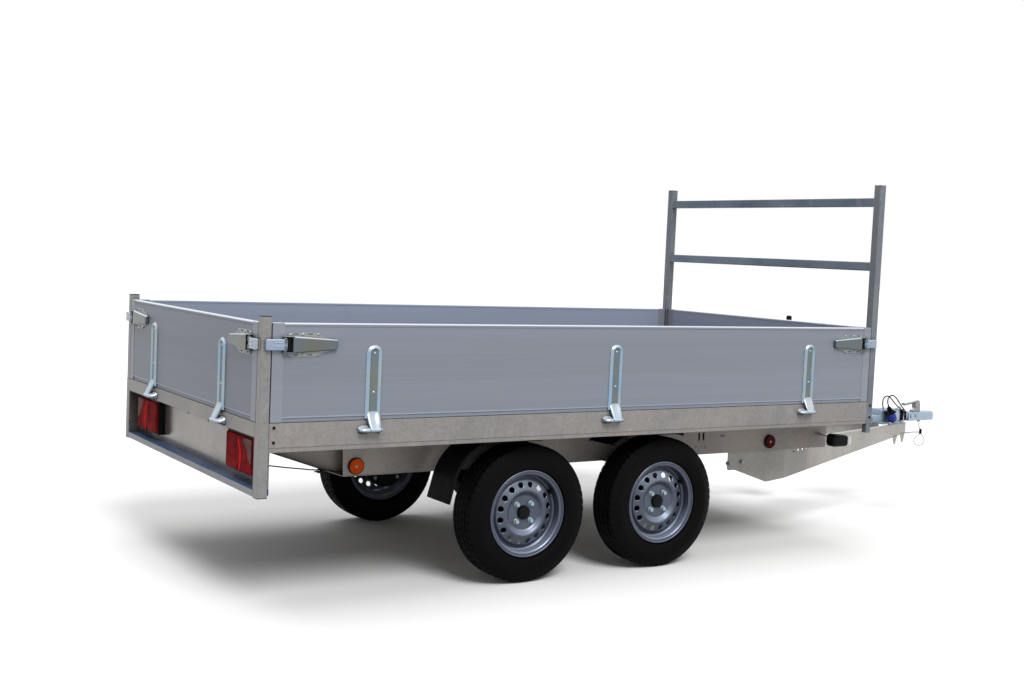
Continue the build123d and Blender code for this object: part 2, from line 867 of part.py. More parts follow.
# Overrun housing: a base plate across the arms' flanges carries the stepped box, the cup
# that the plug is parked on, and the bracket that the brake rod runs through.
base_half_width = 96.0
base_rear = 886.0
base_front = 1092.0
housing_bottom = arm_top + housing_base
housing_top = arm_top + housing_height
housing_edge = 8.0
plug_foot = Vector(in_front(992.0), -74.0, housing_bottom + 13.0)
plug_way = Vector(-0.44, 0.0, 0.9).normalized()
plug_axis = Plane(origin=plug_foot, x_dir=(0, -1, 0), z_dir=plug_way)
plug_seat = 0.3
cup_radius = 11.0
cup_depth = 10.0
rod_radius = 4.0
rod_end = 1226.0
rod_height = arm_top - 72.0
rod_bracket_wall = 6.0
rod_bracket = 1062.0
rod_bracket_half_width = 20.0
rod_bracket_drop = 10.0
with BuildPart() as housing:
    slab(
        (in_front(base_rear), in_front(base_front)),
        (-base_half_width, base_half_width),
        (arm_top, housing_bottom),
    )
    slab(
        (in_front(housing_step), in_front(housing_front)),
        (-housing_half_width, housing_half_width),
        (housing_bottom, housing_top),
    )
    fillet(housing.edges().filter_by(Axis.X).group_by(Axis.Z)[-1], housing_edge)
    slab(
        (in_front(housing_rear), in_front(housing_step)),
        (-housing_half_width, housing_half_width),
        (housing_bottom, arm_top + housing_rear_height),
    )
    with BuildSketch(plug_axis.offset(-plug_seat)):
        Circle(cup_radius)
    extrude(amount=-cup_depth)
    slab(
        (in_front(rod_bracket), in_front(rod_bracket) + rod_bracket_wall),
        (-rod_bracket_half_width, rod_bracket_half_width),
        (rod_height - rod_bracket_drop, arm_top),
    )
    with BuildSketch(Plane.YZ.offset(in_front(rod_bracket))):
        with Locations((0, rod_height)):
            Circle(rod_radius)
    extrude(amount=rod_end - rod_bracket)
save(housing.part, "overrun_housing")

with BuildPart() as bellows:
    with BuildSketch(Plane.YZ.offset(in_front(housing_front))):
        with Locations((0, draw_tube_height)):
            Circle(bellows_radius)
            Circle(draw_tube_radius, mode=Mode.SUBTRACT)
    extrude(amount=head_rear - housing_front)
save(bellows.part, "drawbar_bellows")

# Coupling head: a rounded pressing on the draw tube, with the ball's socket below.
nose = in_front(drawbar_reach)
head_edge = 8.0
tube_clearance = 0.3
with BuildPart() as head:
    slab(
        (in_front(head_rear), nose),
        (-head_half_width, head_half_width),
        (head_bottom, head_top),
    )
    fillet(head.edges().filter_by(Axis.Z).group_by(Axis.X)[-1], head_half_width * 0.8)
    fillet(head.edges().group_by(Axis.Z)[-1], head_edge)
    with BuildSketch(Plane.YZ.offset(in_front(housing_front))):
        with Locations((0, draw_tube_height)):
            Circle(draw_tube_radius - tube_clearance)
    extrude(amount=head_rear - housing_front + head_edge)
    with BuildSketch(Plane.XY.offset(head_bottom)):
        with Locations((nose - ball_from_nose, 0)):
            Circle(ball_radius + ball_clearance)
    extrude(amount=ball_depth, mode=Mode.SUBTRACT)
save(head.part, "coupling_head")

handle_half_width = 15.0
HANDLE_OUTLINE = (
    # distance ahead of the bed's front, height above the head
    (1238.0, 0.0),
    (1298.0, 0.0),
    (1292.0, 66.0),
    (1276.0, 73.0),
    (1166.0, 54.0),
    (1160.0, 40.0),
    (1170.0, 36.0),
    (1254.0, 50.0),
    (1260.0, 20.0),
    (1238.0, 8.0),
)
with BuildPart() as handle:
    with BuildSketch(Plane.XZ.offset(handle_half_width)):
        with BuildLine():
            Polyline(*((in_front(x), head_top + rise) for x, rise in HANDLE_OUTLINE), close=True)
        make_face()
    extrude(amount=-2 * handle_half_width)
save(handle.part, "coupling_handle")

# Handbrake lever: folded down along the left of the housing.
lever_pivot = Vector(in_front(1016.0), housing_bottom + 28.0)
lever_middle = Vector(in_front(851.0), housing_bottom + 34.0)
lever_height = 24.0
lever_thickness = 8.0
with BuildPart() as lever:
    with BuildSketch(Plane.XZ.offset(-housing_half_width)):
        SlotCenterPoint(lever_middle, lever_pivot, lever_height)
    extrude(amount=-lever_thickness)
save(lever.part, "handbrake_lever")

# ================================================================ jockey wheel
jockey_ahead = 496.0
jockey_tube_radius = 24.0
jockey_tube_wall = 3.0
jockey_fit = 0.4
jockey_standoff = 32.0
jockey_tube_below = 106.0
jockey_tube_above = 482.0
jockey_radius = 100.0
jockey_width = 50.0
jockey_edge = 12.0
jockey_clear_of_ground = 5.0
fork_thickness = 4.0
fork_headroom = 8.0
fork_side_gap = 6.0
fork_half_length = 20.0
fork_foot = 14.0
jockey_pin = 8.0
tube_overlap = 60.0
clamp_height = 60.0
clamp_half_length = 40.0
clamp_drop = 34.0
clamp_wall = 6.0
clamp_seat = 0.3
jockey_x = in_front(jockey_ahead)
arm_line = arm_outer + lean_in * (jockey_ahead - arm_fold)
jockey_y = arm_line + jockey_standoff + jockey_tube_radius
jockey_tube_bottom = arm_top - jockey_tube_below
jockey_tube_top = arm_top + jockey_tube_above
clamp_bottom = arm_top - clamp_drop - clamp_height / 2
with BuildPart() as clamp:
    slab(
        (jockey_x - clamp_half_length, jockey_x + clamp_half_length),
        (arm_line - lean_in * clamp_half_length + clamp_seat, jockey_y),
        (clamp_bottom, clamp_bottom + clamp_height),
    )
    with BuildSketch(Plane.XY.offset(clamp_bottom)):
        with Locations((jockey_x, jockey_y)):
            Circle(jockey_tube_radius + clamp_wall)
    extrude(amount=clamp_height)
    with BuildSketch(Plane.XY.offset(clamp_bottom)):
        with Locations((jockey_x, jockey_y)):
            Circle(jockey_tube_radius)
    extrude(amount=clamp_height, mode=Mode.SUBTRACT)
save(clamp.part, "jockey_clamp")

cap_height = 8.0
spindle_radius = 7.0
spindle_height = 20.0
crank_turn = 39.0
crank_reach = 96.0
crank_half_width = 8.0
crank_thickness = 8.0
knob_radius = 16.0
knob_height = 72.0
knob_edge = 6.0
spindle_bottom = jockey_tube_top + cap_height
crank_bottom = spindle_bottom + spindle_height
crank_top = crank_bottom + crank_thickness
crank_plane = Plane(origin=(jockey_x, jockey_y, crank_bottom)).rotated((0, 0, crank_turn))
with BuildPart() as jockey_outer:
    with BuildSketch(Plane.XY.offset(jockey_tube_bottom)):
        with Locations((jockey_x, jockey_y)):
            Circle(jockey_tube_radius)
            Circle(jockey_tube_radius - jockey_tube_wall, mode=Mode.SUBTRACT)
    extrude(amount=jockey_tube_top - jockey_tube_bottom)
    for radius, bottom, top in (
        (jockey_tube_radius, jockey_tube_top, spindle_bottom),
        (spindle_radius, spindle_bottom, crank_bottom),
    ):
        with BuildSketch(Plane.XY.offset(bottom)):
            with Locations((jockey_x, jockey_y)):
                Circle(radius)
        extrude(amount=top - bottom)
    with BuildSketch(crank_plane):
        with Locations(((crank_reach - crank_half_width) / 2, 0)):
            Rectangle(crank_reach + crank_half_width, 2 * crank_half_width)
    extrude(amount=crank_thickness)
save(jockey_outer.part, "jockey_outer_tube")

with BuildPart() as jockey_knob:
    with BuildSketch(crank_plane.offset(crank_thickness)):
        with Locations((crank_reach - knob_radius, 0)):
            Circle(knob_radius)
    extrude(amount=knob_height)
    fillet(jockey_knob.edges().group_by(Axis.Z)[-1], knob_edge)
save(jockey_knob.part, "jockey_knob")

# The leg hangs from the tube with its fork's crown against the tube's end, and
# lowers until the wheel meets the ground.
fork_top = jockey_tube_bottom
fork_crown = fork_top - fork_thickness
jockey_axle_z = fork_crown - fork_headroom - jockey_radius
jockey_travel = jockey_axle_z - jockey_radius - jockey_clear_of_ground
fork_gap = jockey_width / 2 + fork_side_gap
inner_radius = jockey_tube_radius - jockey_tube_wall - jockey_fit
with BuildPart() as jockey_inner:
    with BuildSketch(Plane.XY.offset(fork_top)):
        with Locations((jockey_x, jockey_y)):
            Circle(inner_radius)
    extrude(amount=jockey_travel + tube_overlap)
    slab(
        (jockey_x - fork_half_length, jockey_x + fork_half_length),
        (jockey_y - fork_gap - fork_thickness, jockey_y + fork_gap + fork_thickness),
        (fork_crown, fork_top),
    )
    for way in (-1, 1):
        slab(
            (jockey_x - fork_half_length, jockey_x + fork_half_length),
            (jockey_y + way * fork_gap, jockey_y + way * (fork_gap + fork_thickness)),
            (jockey_axle_z - fork_foot, fork_crown),
        )
    with BuildSketch(Plane.XZ.offset(-jockey_y)):
        with Locations((jockey_x, jockey_axle_z)):
            Circle(jockey_pin)
    extrude(amount=fork_gap, both=True)
save(jockey_inner.part, "jockey_inner_tube")

with BuildPart() as jockey_wheel:
    with BuildSketch(Plane.XZ.offset(-jockey_y)):
        with Locations((jockey_x, jockey_axle_z)):
            Circle(jockey_radius)
            Circle(jockey_pin + pin_clearance, mode=Mode.SUBTRACT)
    extrude(amount=jockey_width / 2, both=True)
    fillet(jockey_wheel.edges().filter_by(GeomType.CIRCLE).group_by(SortBy.RADIUS)[-1], jockey_edge)
save(jockey_wheel.part, "jockey_wheel")

# ================================================================ plug
# Plug: body, locking ring and gland on one axis that leans back.
PLUG_STEPS = (
    # radius, length
    (27.0, 46.0),
    (31.0, 12.0),
    (13.0, 34.0),
)
plug_top = plug_foot + plug_way * sum(length for _, length in PLUG_STEPS)
with BuildPart() as plug:
    reached = 0.0
    for radius, length in PLUG_STEPS:
        with BuildSketch(plug_axis.offset(reached)):
            Circle(radius)
        extrude(amount=length)
        reached += length
save(plug.part, "drawbar_plug")


# ================================================================ cables
def tube_radii(points):
    """Give each corner of a cable's route the largest arc its two runs allow."""
    radii = []
    for before, here, after in zip(points, points[1:], points[2:]):
        arriving = here - before
        leaving = after - here
        half_turn = radians(arriving.get_angle(leaving) / 2)
        radii.append(0.45 * min(arriving.length, leaving.length) / tan(half_turn))
    return radii


def cable(origin, route, diameter, end=None):
    """Make a round cable along a route measured from an origin, to an end if given."""
    points = [origin + Vector(*place) for place in route]
    if end is not None:
        points.append(end)
    radii = tube_radii(points)
    with BuildPart() as tube:
        with BuildLine():
            path = FilletPolyline(*points, radius=radii)
        with BuildSketch(Plane(origin=points[0], z_dir=points[1] - points[0])):
            Circle(diameter / 2)
        sweep()
    ratio = tube.part.volume / (path.length * pi * diameter**2 / 4)
    print(f"radii {[round(r) for r in radii]} length {path.length:.1f} volume ratio {ratio:.4f}")
    return tube.part


# Places on the drawbar are ahead of the bed's front, to the left and above the arms.
drawbar_origin = Vector(bed_front, 0, arm_top)

# The lead from the plug loops up, runs down beside the housing and goes into the bellows.
lead_diameter = 7.0
plug_lead_route = (
    (1156.0, -29.0, 42.0),
    (1146.0, -40.0, 50.0),
    (1130.0, -51.0, 60.0),
    (1106.0, -52.0, 79.0),
    (1083.0, -53.0, 99.0),
    (1060.0, -55.0, 120.0),
    (1036.0, -58.0, 141.0),
    (1010.0, -62.0, 157.0),
    (982.4, -66.0, 162.5),
    (961.0, -69.0, 157.5),
    (946.0, -71.0, 142.0),
    (942.5, -73.0, 120.5),
)
save(cable(drawbar_origin, plug_lead_route, lead_diameter, plug_top), "plug_lead")

# Its other half rises from the housing behind the plug and comes down inside the first.
supply_lead_route = (
    (970.0, -22.0, 75.0),
    (962.0, -23.0, 95.0),
    (957.0, -25.0, 115.0),
    (956.0, -27.0, 134.7),
    (965.9, -29.0, 149.0),
    (982.1, -32.0, 155.2),
    (999.0, -36.0, 151.2),
    (1016.0, -40.0, 134.0),
    (1034.0, -45.0, 114.0),
    (1058.0, -49.0, 95.0),
    (1085.0, -51.0, 77.0),
    (1110.0, -52.0, 61.0),
    (1132.0, -51.0, 44.0),
    (1146.0, -40.0, 35.0),
    (1156.0, -29.0, 28.0),
)
save(cable(drawbar_origin, supply_lead_route, lead_diameter), "supply_lead")

# Breakaway cable: down from the head, through its ferrule and round the hanging loop,
# all of it beside the way that the ball takes up into its socket.
breakaway_diameter = 3.5
breakaway_route = (
    (1294.0, 2.2, 4.0),
    (1292.5, -7.3, -11.3),
    (1293.0, -16.7, -27.6),
    (1292.2, -25.5, -46.9),
    (1301.2, -25.5, -68.8),
    (1316.2, -25.6, -87.7),
    (1331.1, -26.0, -104.7),
    (1338.1, -26.3, -123.6),
    (1328.1, -26.8, -139.5),
    (1309.2, -27.2, -146.4),
    (1286.2, -27.7, -147.4),
    (1264.3, -28.1, -142.4),
    (1246.3, -28.6, -130.5),
    (1239.3, -29.0, -113.6),
    (1248.3, -29.4, -100.6),
    (1265.3, -29.7, -92.7),
    (1281.2, -29.9, -84.7),
    (1294.2, -29.9, -70.8),
)
save(cable(drawbar_origin, breakaway_route, breakaway_diameter), "breakaway_cable")

ferrule = Vector(1296.0, -27.7, -79.0)
ferrule_radius = 6.0
ferrule_spread = 6.0
ferrule_height = 30.0
with BuildPart() as breakaway_ferrule:
    with BuildSketch(Plane(origin=drawbar_origin + ferrule)):
        SlotCenterToCenter(ferrule_spread, 2 * ferrule_radius)
    extrude(amount=ferrule_height)
save(breakaway_ferrule.part, "breakaway_ferrule")

# Two taut strands tie the ferrule to the brake rod's end.
strand_diameter = 3.0
strand_grip = 1.5
strand_end = ferrule.X - ferrule_spread / 2 - ferrule_radius + strand_grip
STRANDS = (
    # y, height at the rod's end, height in the ferrule
    (1.8, rod_height + 2, arm_top + ferrule.Z + 15),
    (-1.8, rod_height - 2, arm_top + ferrule.Z + 8),
)
with BuildPart() as strands:
    for strand_y, rod_z, ferrule_z in STRANDS:
        start = Vector(in_front(rod_end) - rod_radius / 2, strand_y, rod_z)
        finish = Vector(in_front(strand_end), ferrule.Y + strand_y, ferrule_z)
        with BuildSketch(Plane(origin=start, z_dir=finish - start)):
            Circle(strand_diameter / 2)
        extrude(amount=(finish - start).length)
save(strands.part, "breakaway_strands")

# Rear lamp lead: from the back of the lamp panel, clipped to the beam's tail and
# into the beam's open end. Its places are ahead of the rear face, in from the
# right side and above the rails' undersides.
lamp_lead_origin = Vector(rear_face, -half_width, rail_bottom)
lamp_lead_route = (
    (61.0, 71.0, -55.0),
    (120.0, 109.0, -69.0),
    (190.0, 161.0, -86.0),
    (262.0, 213.0, -102.0),
    (330.0, 263.0, -118.0),
    (384.0, 287.0, -125.0),
    (425.0, 290.0, -131.0),
    (455.0, 303.0, -139.0),
    (490.0, 315.0, -144.0),
)
lamp_lead_diameter = 5.0
save(cable(lamp_lead_origin, lamp_lead_route, lamp_lead_diameter), "rear_lamp_lead")
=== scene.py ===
"""Looks of a flatbed trailer with drop sides, two braked axles and a ladder rack.

Metres. +X runs forward to the coupling, +Y left and +Z up, as in the frame.
"""
import logging
import math
from dataclasses import dataclass
from enum import Enum
from typing import Iterable, Sequence

import bmesh
import bpy
from mathutils import Matrix, Vector


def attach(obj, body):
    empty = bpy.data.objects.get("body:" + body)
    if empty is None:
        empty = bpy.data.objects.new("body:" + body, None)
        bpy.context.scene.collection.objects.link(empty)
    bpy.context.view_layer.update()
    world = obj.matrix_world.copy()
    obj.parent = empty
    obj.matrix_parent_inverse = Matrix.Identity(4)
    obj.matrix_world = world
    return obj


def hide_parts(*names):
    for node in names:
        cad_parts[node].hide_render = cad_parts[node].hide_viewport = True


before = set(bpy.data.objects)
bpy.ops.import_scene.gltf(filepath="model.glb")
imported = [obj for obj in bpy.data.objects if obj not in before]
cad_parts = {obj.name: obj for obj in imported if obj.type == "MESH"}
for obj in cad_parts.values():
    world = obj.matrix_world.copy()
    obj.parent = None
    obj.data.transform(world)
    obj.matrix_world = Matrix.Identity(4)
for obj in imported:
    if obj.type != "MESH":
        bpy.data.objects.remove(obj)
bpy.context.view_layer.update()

log = logging.getLogger("trailer")

Point2 = tuple[float, float]
Point3 = tuple[float, float, float]
Span = tuple[float, float]
Colour = tuple[float, float, float, float]
Socket = bpy.types.NodeSocket
Material = bpy.types.Material
Piece = bpy.types.Object

SHARP_EDGE = math.radians(25)
SMOOTH_ANGLE = math.radians(38)
CHASSIS = "chassis"


class Axle(Enum):
    """The two axles, named as their wheels are."""

    REAR = "rear"
    FRONT = "front"


class Side(Enum):
    """The two sides of the trailer, with the sign of Y there."""

    LEFT = 1
    RIGHT = -1

    @property
    def word(self) -> str:
        """Give the side's name as the bodies and nodes use it."""
        return self.name.lower()


class Slot(Enum):
    """The kinds of finish, by name."""

    GALVANISED = "galvanised_steel"
    ZINC = "zinc_fittings"
    ALUMINIUM = "anodised_aluminium"
    PLYWOOD = "deck_plywood"
    PLASTIC = "black_plastic"
    RED = "red_lens"
    AMBER = "amber_lens"
    TYRE = "tyre_rubber"
    WHEEL = "silver_wheel"
    HUB = "hub_paint"
    RUBBER = "black_rubber"
    BLUE = "blue_plastic"
    CABLE = "steel_cable"


# ================================================================ places on the trailer
@dataclass(frozen=True)
class Layout:
    """Main sizes and levels of the trailer, in metres."""

    rear_face: float = -2.26775
    bed_front: float = 0.89625
    half_width: float = 0.793
    post: float = 0.040
    rail_bottom: float = 0.608
    rail_top: float = 0.715
    board_bottom: float = 0.717
    board_height: float = 0.358
    board_thickness: float = 0.025
    board_inset: float = 0.003
    board_gap: float = 0.002
    rack_top: float = 1.759
    rear_frame_bottom: float = 0.447
    rear_frame_depth: float = 0.061
    beam_outer: float = 0.500
    beam_inner: float = 0.450
    beam_bottom: float = 0.450
    wheel_line: float = 0.652
    tyre_radius: float = 0.289
    rear_wheel: float = -1.04875
    front_wheel: float = -0.33775
    arm_top: float = 0.478
    hinge_height: float = 0.680
    hinge_standoff: float = 0.028

    @property
    def bed_middle(self) -> float:
        """Give the X of the middle of the bed."""
        return (self.rear_face + self.bed_front) / 2

    @property
    def inner(self) -> float:
        """Give the half width between the corner posts."""
        return self.half_width - self.post

    @property
    def panel_back(self) -> float:
        """Give the X of the front of the rear frame."""
        return self.rear_face + self.rear_frame_depth

    @property
    def board_top(self) -> float:
        """Give the height of the boards' tops."""
        return self.board_bottom + self.board_height

    @property
    def latch_height(self) -> float:
        """Give the height of the latches' centre lines."""
        return self.board_top - 0.077


PLACES = Layout()


# ================================================================ materials
class Shader:
    """Node tree of one material, with short ways to add and join its nodes."""

    def __init__(self, name: str) -> None:
        """Start a material.

        Args:
            name: The material's name.
        """
        self.material = bpy.data.materials.new(name)
        self.material.use_nodes = True
        self.nodes = self.material.node_tree.nodes
        self.links = self.material.node_tree.links
        self.nodes.clear()
        self.output = self.nodes.new("ShaderNodeOutputMaterial")
        self.surface = self.nodes.new("ShaderNodeBsdfPrincipled")
        self.links.new(self.surface.outputs[0], self.output.inputs["Surface"])
        self.place = self.nodes.new("ShaderNodeTexCoord").outputs["Object"]

    def add(self, kind: str, settings: dict | None = None, **inputs: object) -> bpy.types.Node:
        """Add a node.

        Args:
            kind: The node's type, without its prefix.
            settings: Properties of the node itself.
            **inputs: Values or sockets for its inputs, by name or as in0, in1 and so on.

        Returns:
            The new node.
        """
        node = self.nodes.new(f"ShaderNode{kind}")
        for key, value in (settings or {}).items():
            setattr(node, key, value)
        for key, value in inputs.items():
            index = int(key[2:]) if key[:2] == "in" and key[2:].isdigit() else key.replace("_", " ")
            socket = node.inputs[index]
            if isinstance(value, Socket):
                self.links.new(value, socket)
            else:
                socket.default_value = value
        return node

    def math(self, operation: str, *values: object) -> Socket:
        """Add an arithmetic node and give its result."""
        inputs = {f"in{index}": value for index, value in enumerate(values)}
        return self.add("Math", {"operation": operation}, **inputs).outputs[0]

    def stretched(self, scale: Point3) -> Socket:
        """Give the object's coordinates, each multiplied by its own scale."""
        return self.add("Mapping", Vector=self.place, Scale=scale).outputs[0]

    def noise(self, scale: float, detail: float = 3.0, stretch: Point3 | None = None,
              roughness: float = 0.55) -> Socket:
        """Give smooth noise from 0 to 1.

        Args:
            scale: Cycles in a metre.
            detail: How many finer layers are added.
            stretch: Scale of each axis, where the noise is drawn out.
            roughness: Strength of the finer layers.

        Returns:
            The noise's value.
        """
        place = self.stretched(stretch) if stretch else self.place
        node = self.add("TexNoise", Vector=place, Scale=scale, Detail=detail, Roughness=roughness)
        return node.outputs["Fac"]

    def spread(self, value: Socket, low: float, high: float, start: float = 0.3,
               stop: float = 0.7) -> Socket:
        """Map a value from one span onto another.

        Args:
            value: What is mapped.
            low: The result at start.
            high: The result at stop.
            start: Where the first span starts.
            stop: Where it stops.

        Returns:
            The mapped value, held within low and high.
        """
        node = self.add("MapRange", in0=value, in1=start, in2=stop, in3=low, in4=high)
        return node.outputs[0]

    def mix(self, amount: object, first: object, second: object,
            blend: str = "MIX") -> Socket:
        """Mix two colours.

        Args:
            amount: How much of the second is taken.
            first: A colour or a socket.
            second: A colour or a socket.
            blend: How they are mixed.

        Returns:
            The mixed colour.
        """
        node = self.add("Mix", {"data_type": "RGBA", "blend_type": blend})
        for index, value in ((0, amount), (6, first), (7, second)):
            if isinstance(value, Socket):
                self.links.new(value, node.inputs[index])
            else:
                node.inputs[index].default_value = value
        return node.outputs[2]

    def shaded(self, colour: Socket, reach: float,
               depth: float) -> Socket:
        """Paint shade into a colour in corners and recesses, with some grime there too.

        Args:
            colour: The clean colour.
            reach: How far from a corner the shade starts.
            depth: How dark it gets, from 0 to 1.

        Returns:
            The shaded colour.
        """
        node = self.add("AmbientOcclusion", {"samples": 12}, Distance=reach)
        open_sky = self.spread(node.outputs["AO"], 1.0 - depth, 1.0, 0.15, 0.9)
        return self.mix(1.0, colour, self.grey(open_sky), "MULTIPLY")

    def paint_sky_light_and_shade(self, colour: Socket, above: Colour, below: Colour,
                  amount: float) -> Socket:
        """Paint sky light on faces that look up and shade on those that look down.

        Args:
            colour: The colour of upright faces.
            above: The bright colour painted on upper faces as sky light.
            below: The dark colour painted on under faces as shade.
            amount: How strongly both are laid on, from 0 to 1.

        Returns:
            The colour.
        """
        normal = self.add("TexCoord").outputs["Normal"]
        up = self.add("SeparateXYZ", in0=normal).outputs[2]
        # painted sky light on faces that look up, then painted shade on faces that look down
        colour = self.mix(self.spread(up, 0.0, amount, 0.12, 0.85), colour, above)
        return self.mix(self.spread(up, 0.0, amount, -0.12, -0.85), colour, below)

    def grey(self, value: Socket) -> Socket:
        """Turn a value into a grey colour."""
        return self.add("CombineColor", in0=value, in1=value, in2=value).outputs[0]

    def bump(self, height: Socket, strength: float, distance: float,
             under: Socket | None = None) -> Socket:
        """Turn a height into a bumped normal.

        Args:
            height: The height, from 0 to 1.
            strength: How much of the bump is used.
            distance: Height in metres of a full step.
            under: A normal that this bump lies on.

        Returns:
            The normal.
        """
        extra = {"Normal": under} if under else {}
        node = self.add("Bump", Height=height, Strength=strength, Distance=distance, **extra)
        return node.outputs[0]

    def finish(self, colour: object, roughness: object, metallic: float = 0.0,
               normal: Socket | None = None, **plain: float) -> Material:
        """Set the surface's sockets and give the material.

        Args:
            colour: Base colour, or a socket for it.
            roughness: Roughness, or a socket for it.
            metallic: How metallic the surface is.
            normal: The bumped normal.
            **plain: Other sockets' constant values, by name.

        Returns:
            The finished material.
        """
        values = {"Base_Color": colour, "Roughness": roughness, "Metallic": metallic, **plain}
        if normal:
            values["Normal"] = normal
        for key, value in values.items():
            socket = self.surface.inputs[key.replace("_", " ")]
            if isinstance(value, Socket):
                self.links.new(value, socket)
            else:
                socket.default_value = value
        return self.material


def tint(red: float, green: float, blue: float) -> Colour:
    """Turn display colour levels from 0 to 255 into a linear colour."""
    def linear(level: float) -> float:
        """Turn one display level into its linear value."""
        share = level / 255
        return share / 12.92 if share <= 0.04045 else ((share + 0.055) / 1.055) ** 2.4

    return (linear(red), linear(green), linear(blue), 1.0)


@dataclass(frozen=True)
class Finish:
    """A surface finish that is made into a material once and then shared."""

    name: str
    slot: Slot

    def make(self) -> Material:
        """Make the material."""
        raise NotImplementedError

    def material(self) -> Material:
        """Give the finish's material, made on its first use."""
        return bpy.data.materials.get(self.name) or self.make()


@dataclass(frozen=True)
class GalvanisedSteel(Finish):
    """Hot-dip zinc on steel: matt grey with faint crystals, runs and grey stains."""

    slot: Slot = Slot.GALVANISED
    level: Point3 = (147, 142, 139)
    cool: Point3 = (139, 137, 137)
    spangle: float = 95.0
    stains: float = 0.22
    sheen_roughness: Span = (0.36, 0.55)
    metallic: float = 0.20
    shade_reach: float = 0.030

    def make(self) -> Material:
        """Make the material."""
        s = Shader(self.name)
        warp = s.noise(30.0, 2.0)
        grain = s.add("TexVoronoi", Vector=s.place, Scale=self.spangle)
        crystal = s.add("SeparateColor", in0=grain.outputs["Color"]).outputs[0]
        broad = s.noise(3.2, 5.0)
        colour = s.mix(s.spread(broad, 0.0, 1.0, 0.35, 0.65), tint(*self.level), tint(*self.cool))
        colour = s.mix(0.10, colour, s.grey(crystal), "OVERLAY")
        runs = s.noise(7.0, 6.0, (1.0, 1.0, 0.22), 0.7)
        dulled = s.spread(runs, 0.0, self.stains, 0.52, 0.74)
        colour = s.mix(dulled, colour, tint(104, 99, 92))
        bright = s.spread(s.noise(16.0, 5.0, None, 0.65), 0.0, 0.16, 0.56, 0.72)
        colour = s.mix(bright, colour, tint(186, 184, 180))
        colour = s.shaded(colour, self.shade_reach, 0.55)
        low, high = self.sheen_roughness
        rough = s.math("ADD", s.spread(crystal, low, high, 0.0, 1.0), s.spread(broad, 0.0, 0.1))
        fine = s.bump(s.noise(420.0, 3.0), 0.10, 0.0006)
        normal = s.bump(warp, 0.20, 0.0012, s.bump(grain.outputs["Distance"], 0.06, 0.0008, fine))
        return s.finish(colour, rough, self.metallic, normal, Specular_IOR_Level=0.30)


@dataclass(frozen=True)
class BrightZinc(Finish):
    """Plated fittings: bright, faintly blue and yellow, with fine pressing marks, painted sky
    reflection on top faces and painted shade beneath.
    """

    slot: Slot = Slot.ZINC
    level: Point3 = (158, 172, 182)
    roughness: float = 0.22
    shade: float = 0.60
    cool: Point3 = (132, 168, 196)
    warm: Point3 = (160, 162, 140)
    contrast: float = 0.85

    def make(self) -> Material:
        """Make the material."""
        s = Shader(self.name)
        drift = s.noise(9.0, 3.0)
        colour = s.mix(s.spread(drift, 0.0, 0.75, 0.4, 0.62), tint(*self.level), tint(*self.cool))
        warm = s.spread(s.noise(11.0, 4.0, (1.3, 1.1, 0.9)), 0.0, 0.35, 0.5, 0.7)
        colour = s.mix(warm, colour, tint(*self.warm))
        # painted sky reflection on upper faces and painted shade on under faces
        colour = s.paint_sky_light_and_shade(colour, tint(232, 240, 248), tint(58, 60, 62), self.contrast)
        colour = s.shaded(colour, 0.012, self.shade)
        scuff = s.noise(14.0, 3.0)
        rough = s.spread(scuff, self.roughness, self.roughness + 0.12)
        normal = s.bump(drift, 0.12, 0.0008)
        return s.finish(colour, rough, 0.55, normal)


@dataclass(frozen=True)
class AnodisedAluminium(Finish):
    """Drawn aluminium plank: satin, with drawing lines along its length."""

    slot: Slot = Slot.ALUMINIUM
    level: Point3 = (136, 139, 150)
    roughness: float = 0.42
    metallic: float = 0.12

    def make(self) -> Material:
        """Make the material."""
        s = Shader(self.name)
        drawn = s.noise(1.0, 6.0, (0.5, 0.5, 260.0), 0.8)
        band = s.noise(1.0, 2.0, (0.12, 0.12, 9.0))
        cloud = s.noise(0.9, 4.0)
        base = tint(*self.level)
        lighter = tint(*(level * 1.045 for level in self.level))
        darker = tint(*(level * 0.955 for level in self.level))
        colour = s.mix(s.spread(band, 0.0, 1.0, 0.35, 0.65), lighter, darker)
        colour = s.mix(s.spread(cloud, 0.0, 0.8), colour, base)
        colour = s.mix(s.spread(drawn, 0.0, 0.10, 0.45, 0.75), colour, tint(196, 200, 208))
        handled = s.spread(s.noise(9.0, 7.0, None, 0.75), 0.0, 0.14, 0.58, 0.75)
        colour = s.mix(handled, colour, tint(112, 113, 118))
        colour = s.shaded(colour, 0.020, 0.50)
        rough = s.spread(drawn, self.roughness - 0.05, self.roughness + 0.09)
        normal = s.bump(drawn, 0.10, 0.0004, s.bump(cloud, 0.05, 0.004))
        return s.finish(colour, rough, self.metallic, normal, Specular_IOR_Level=0.25)


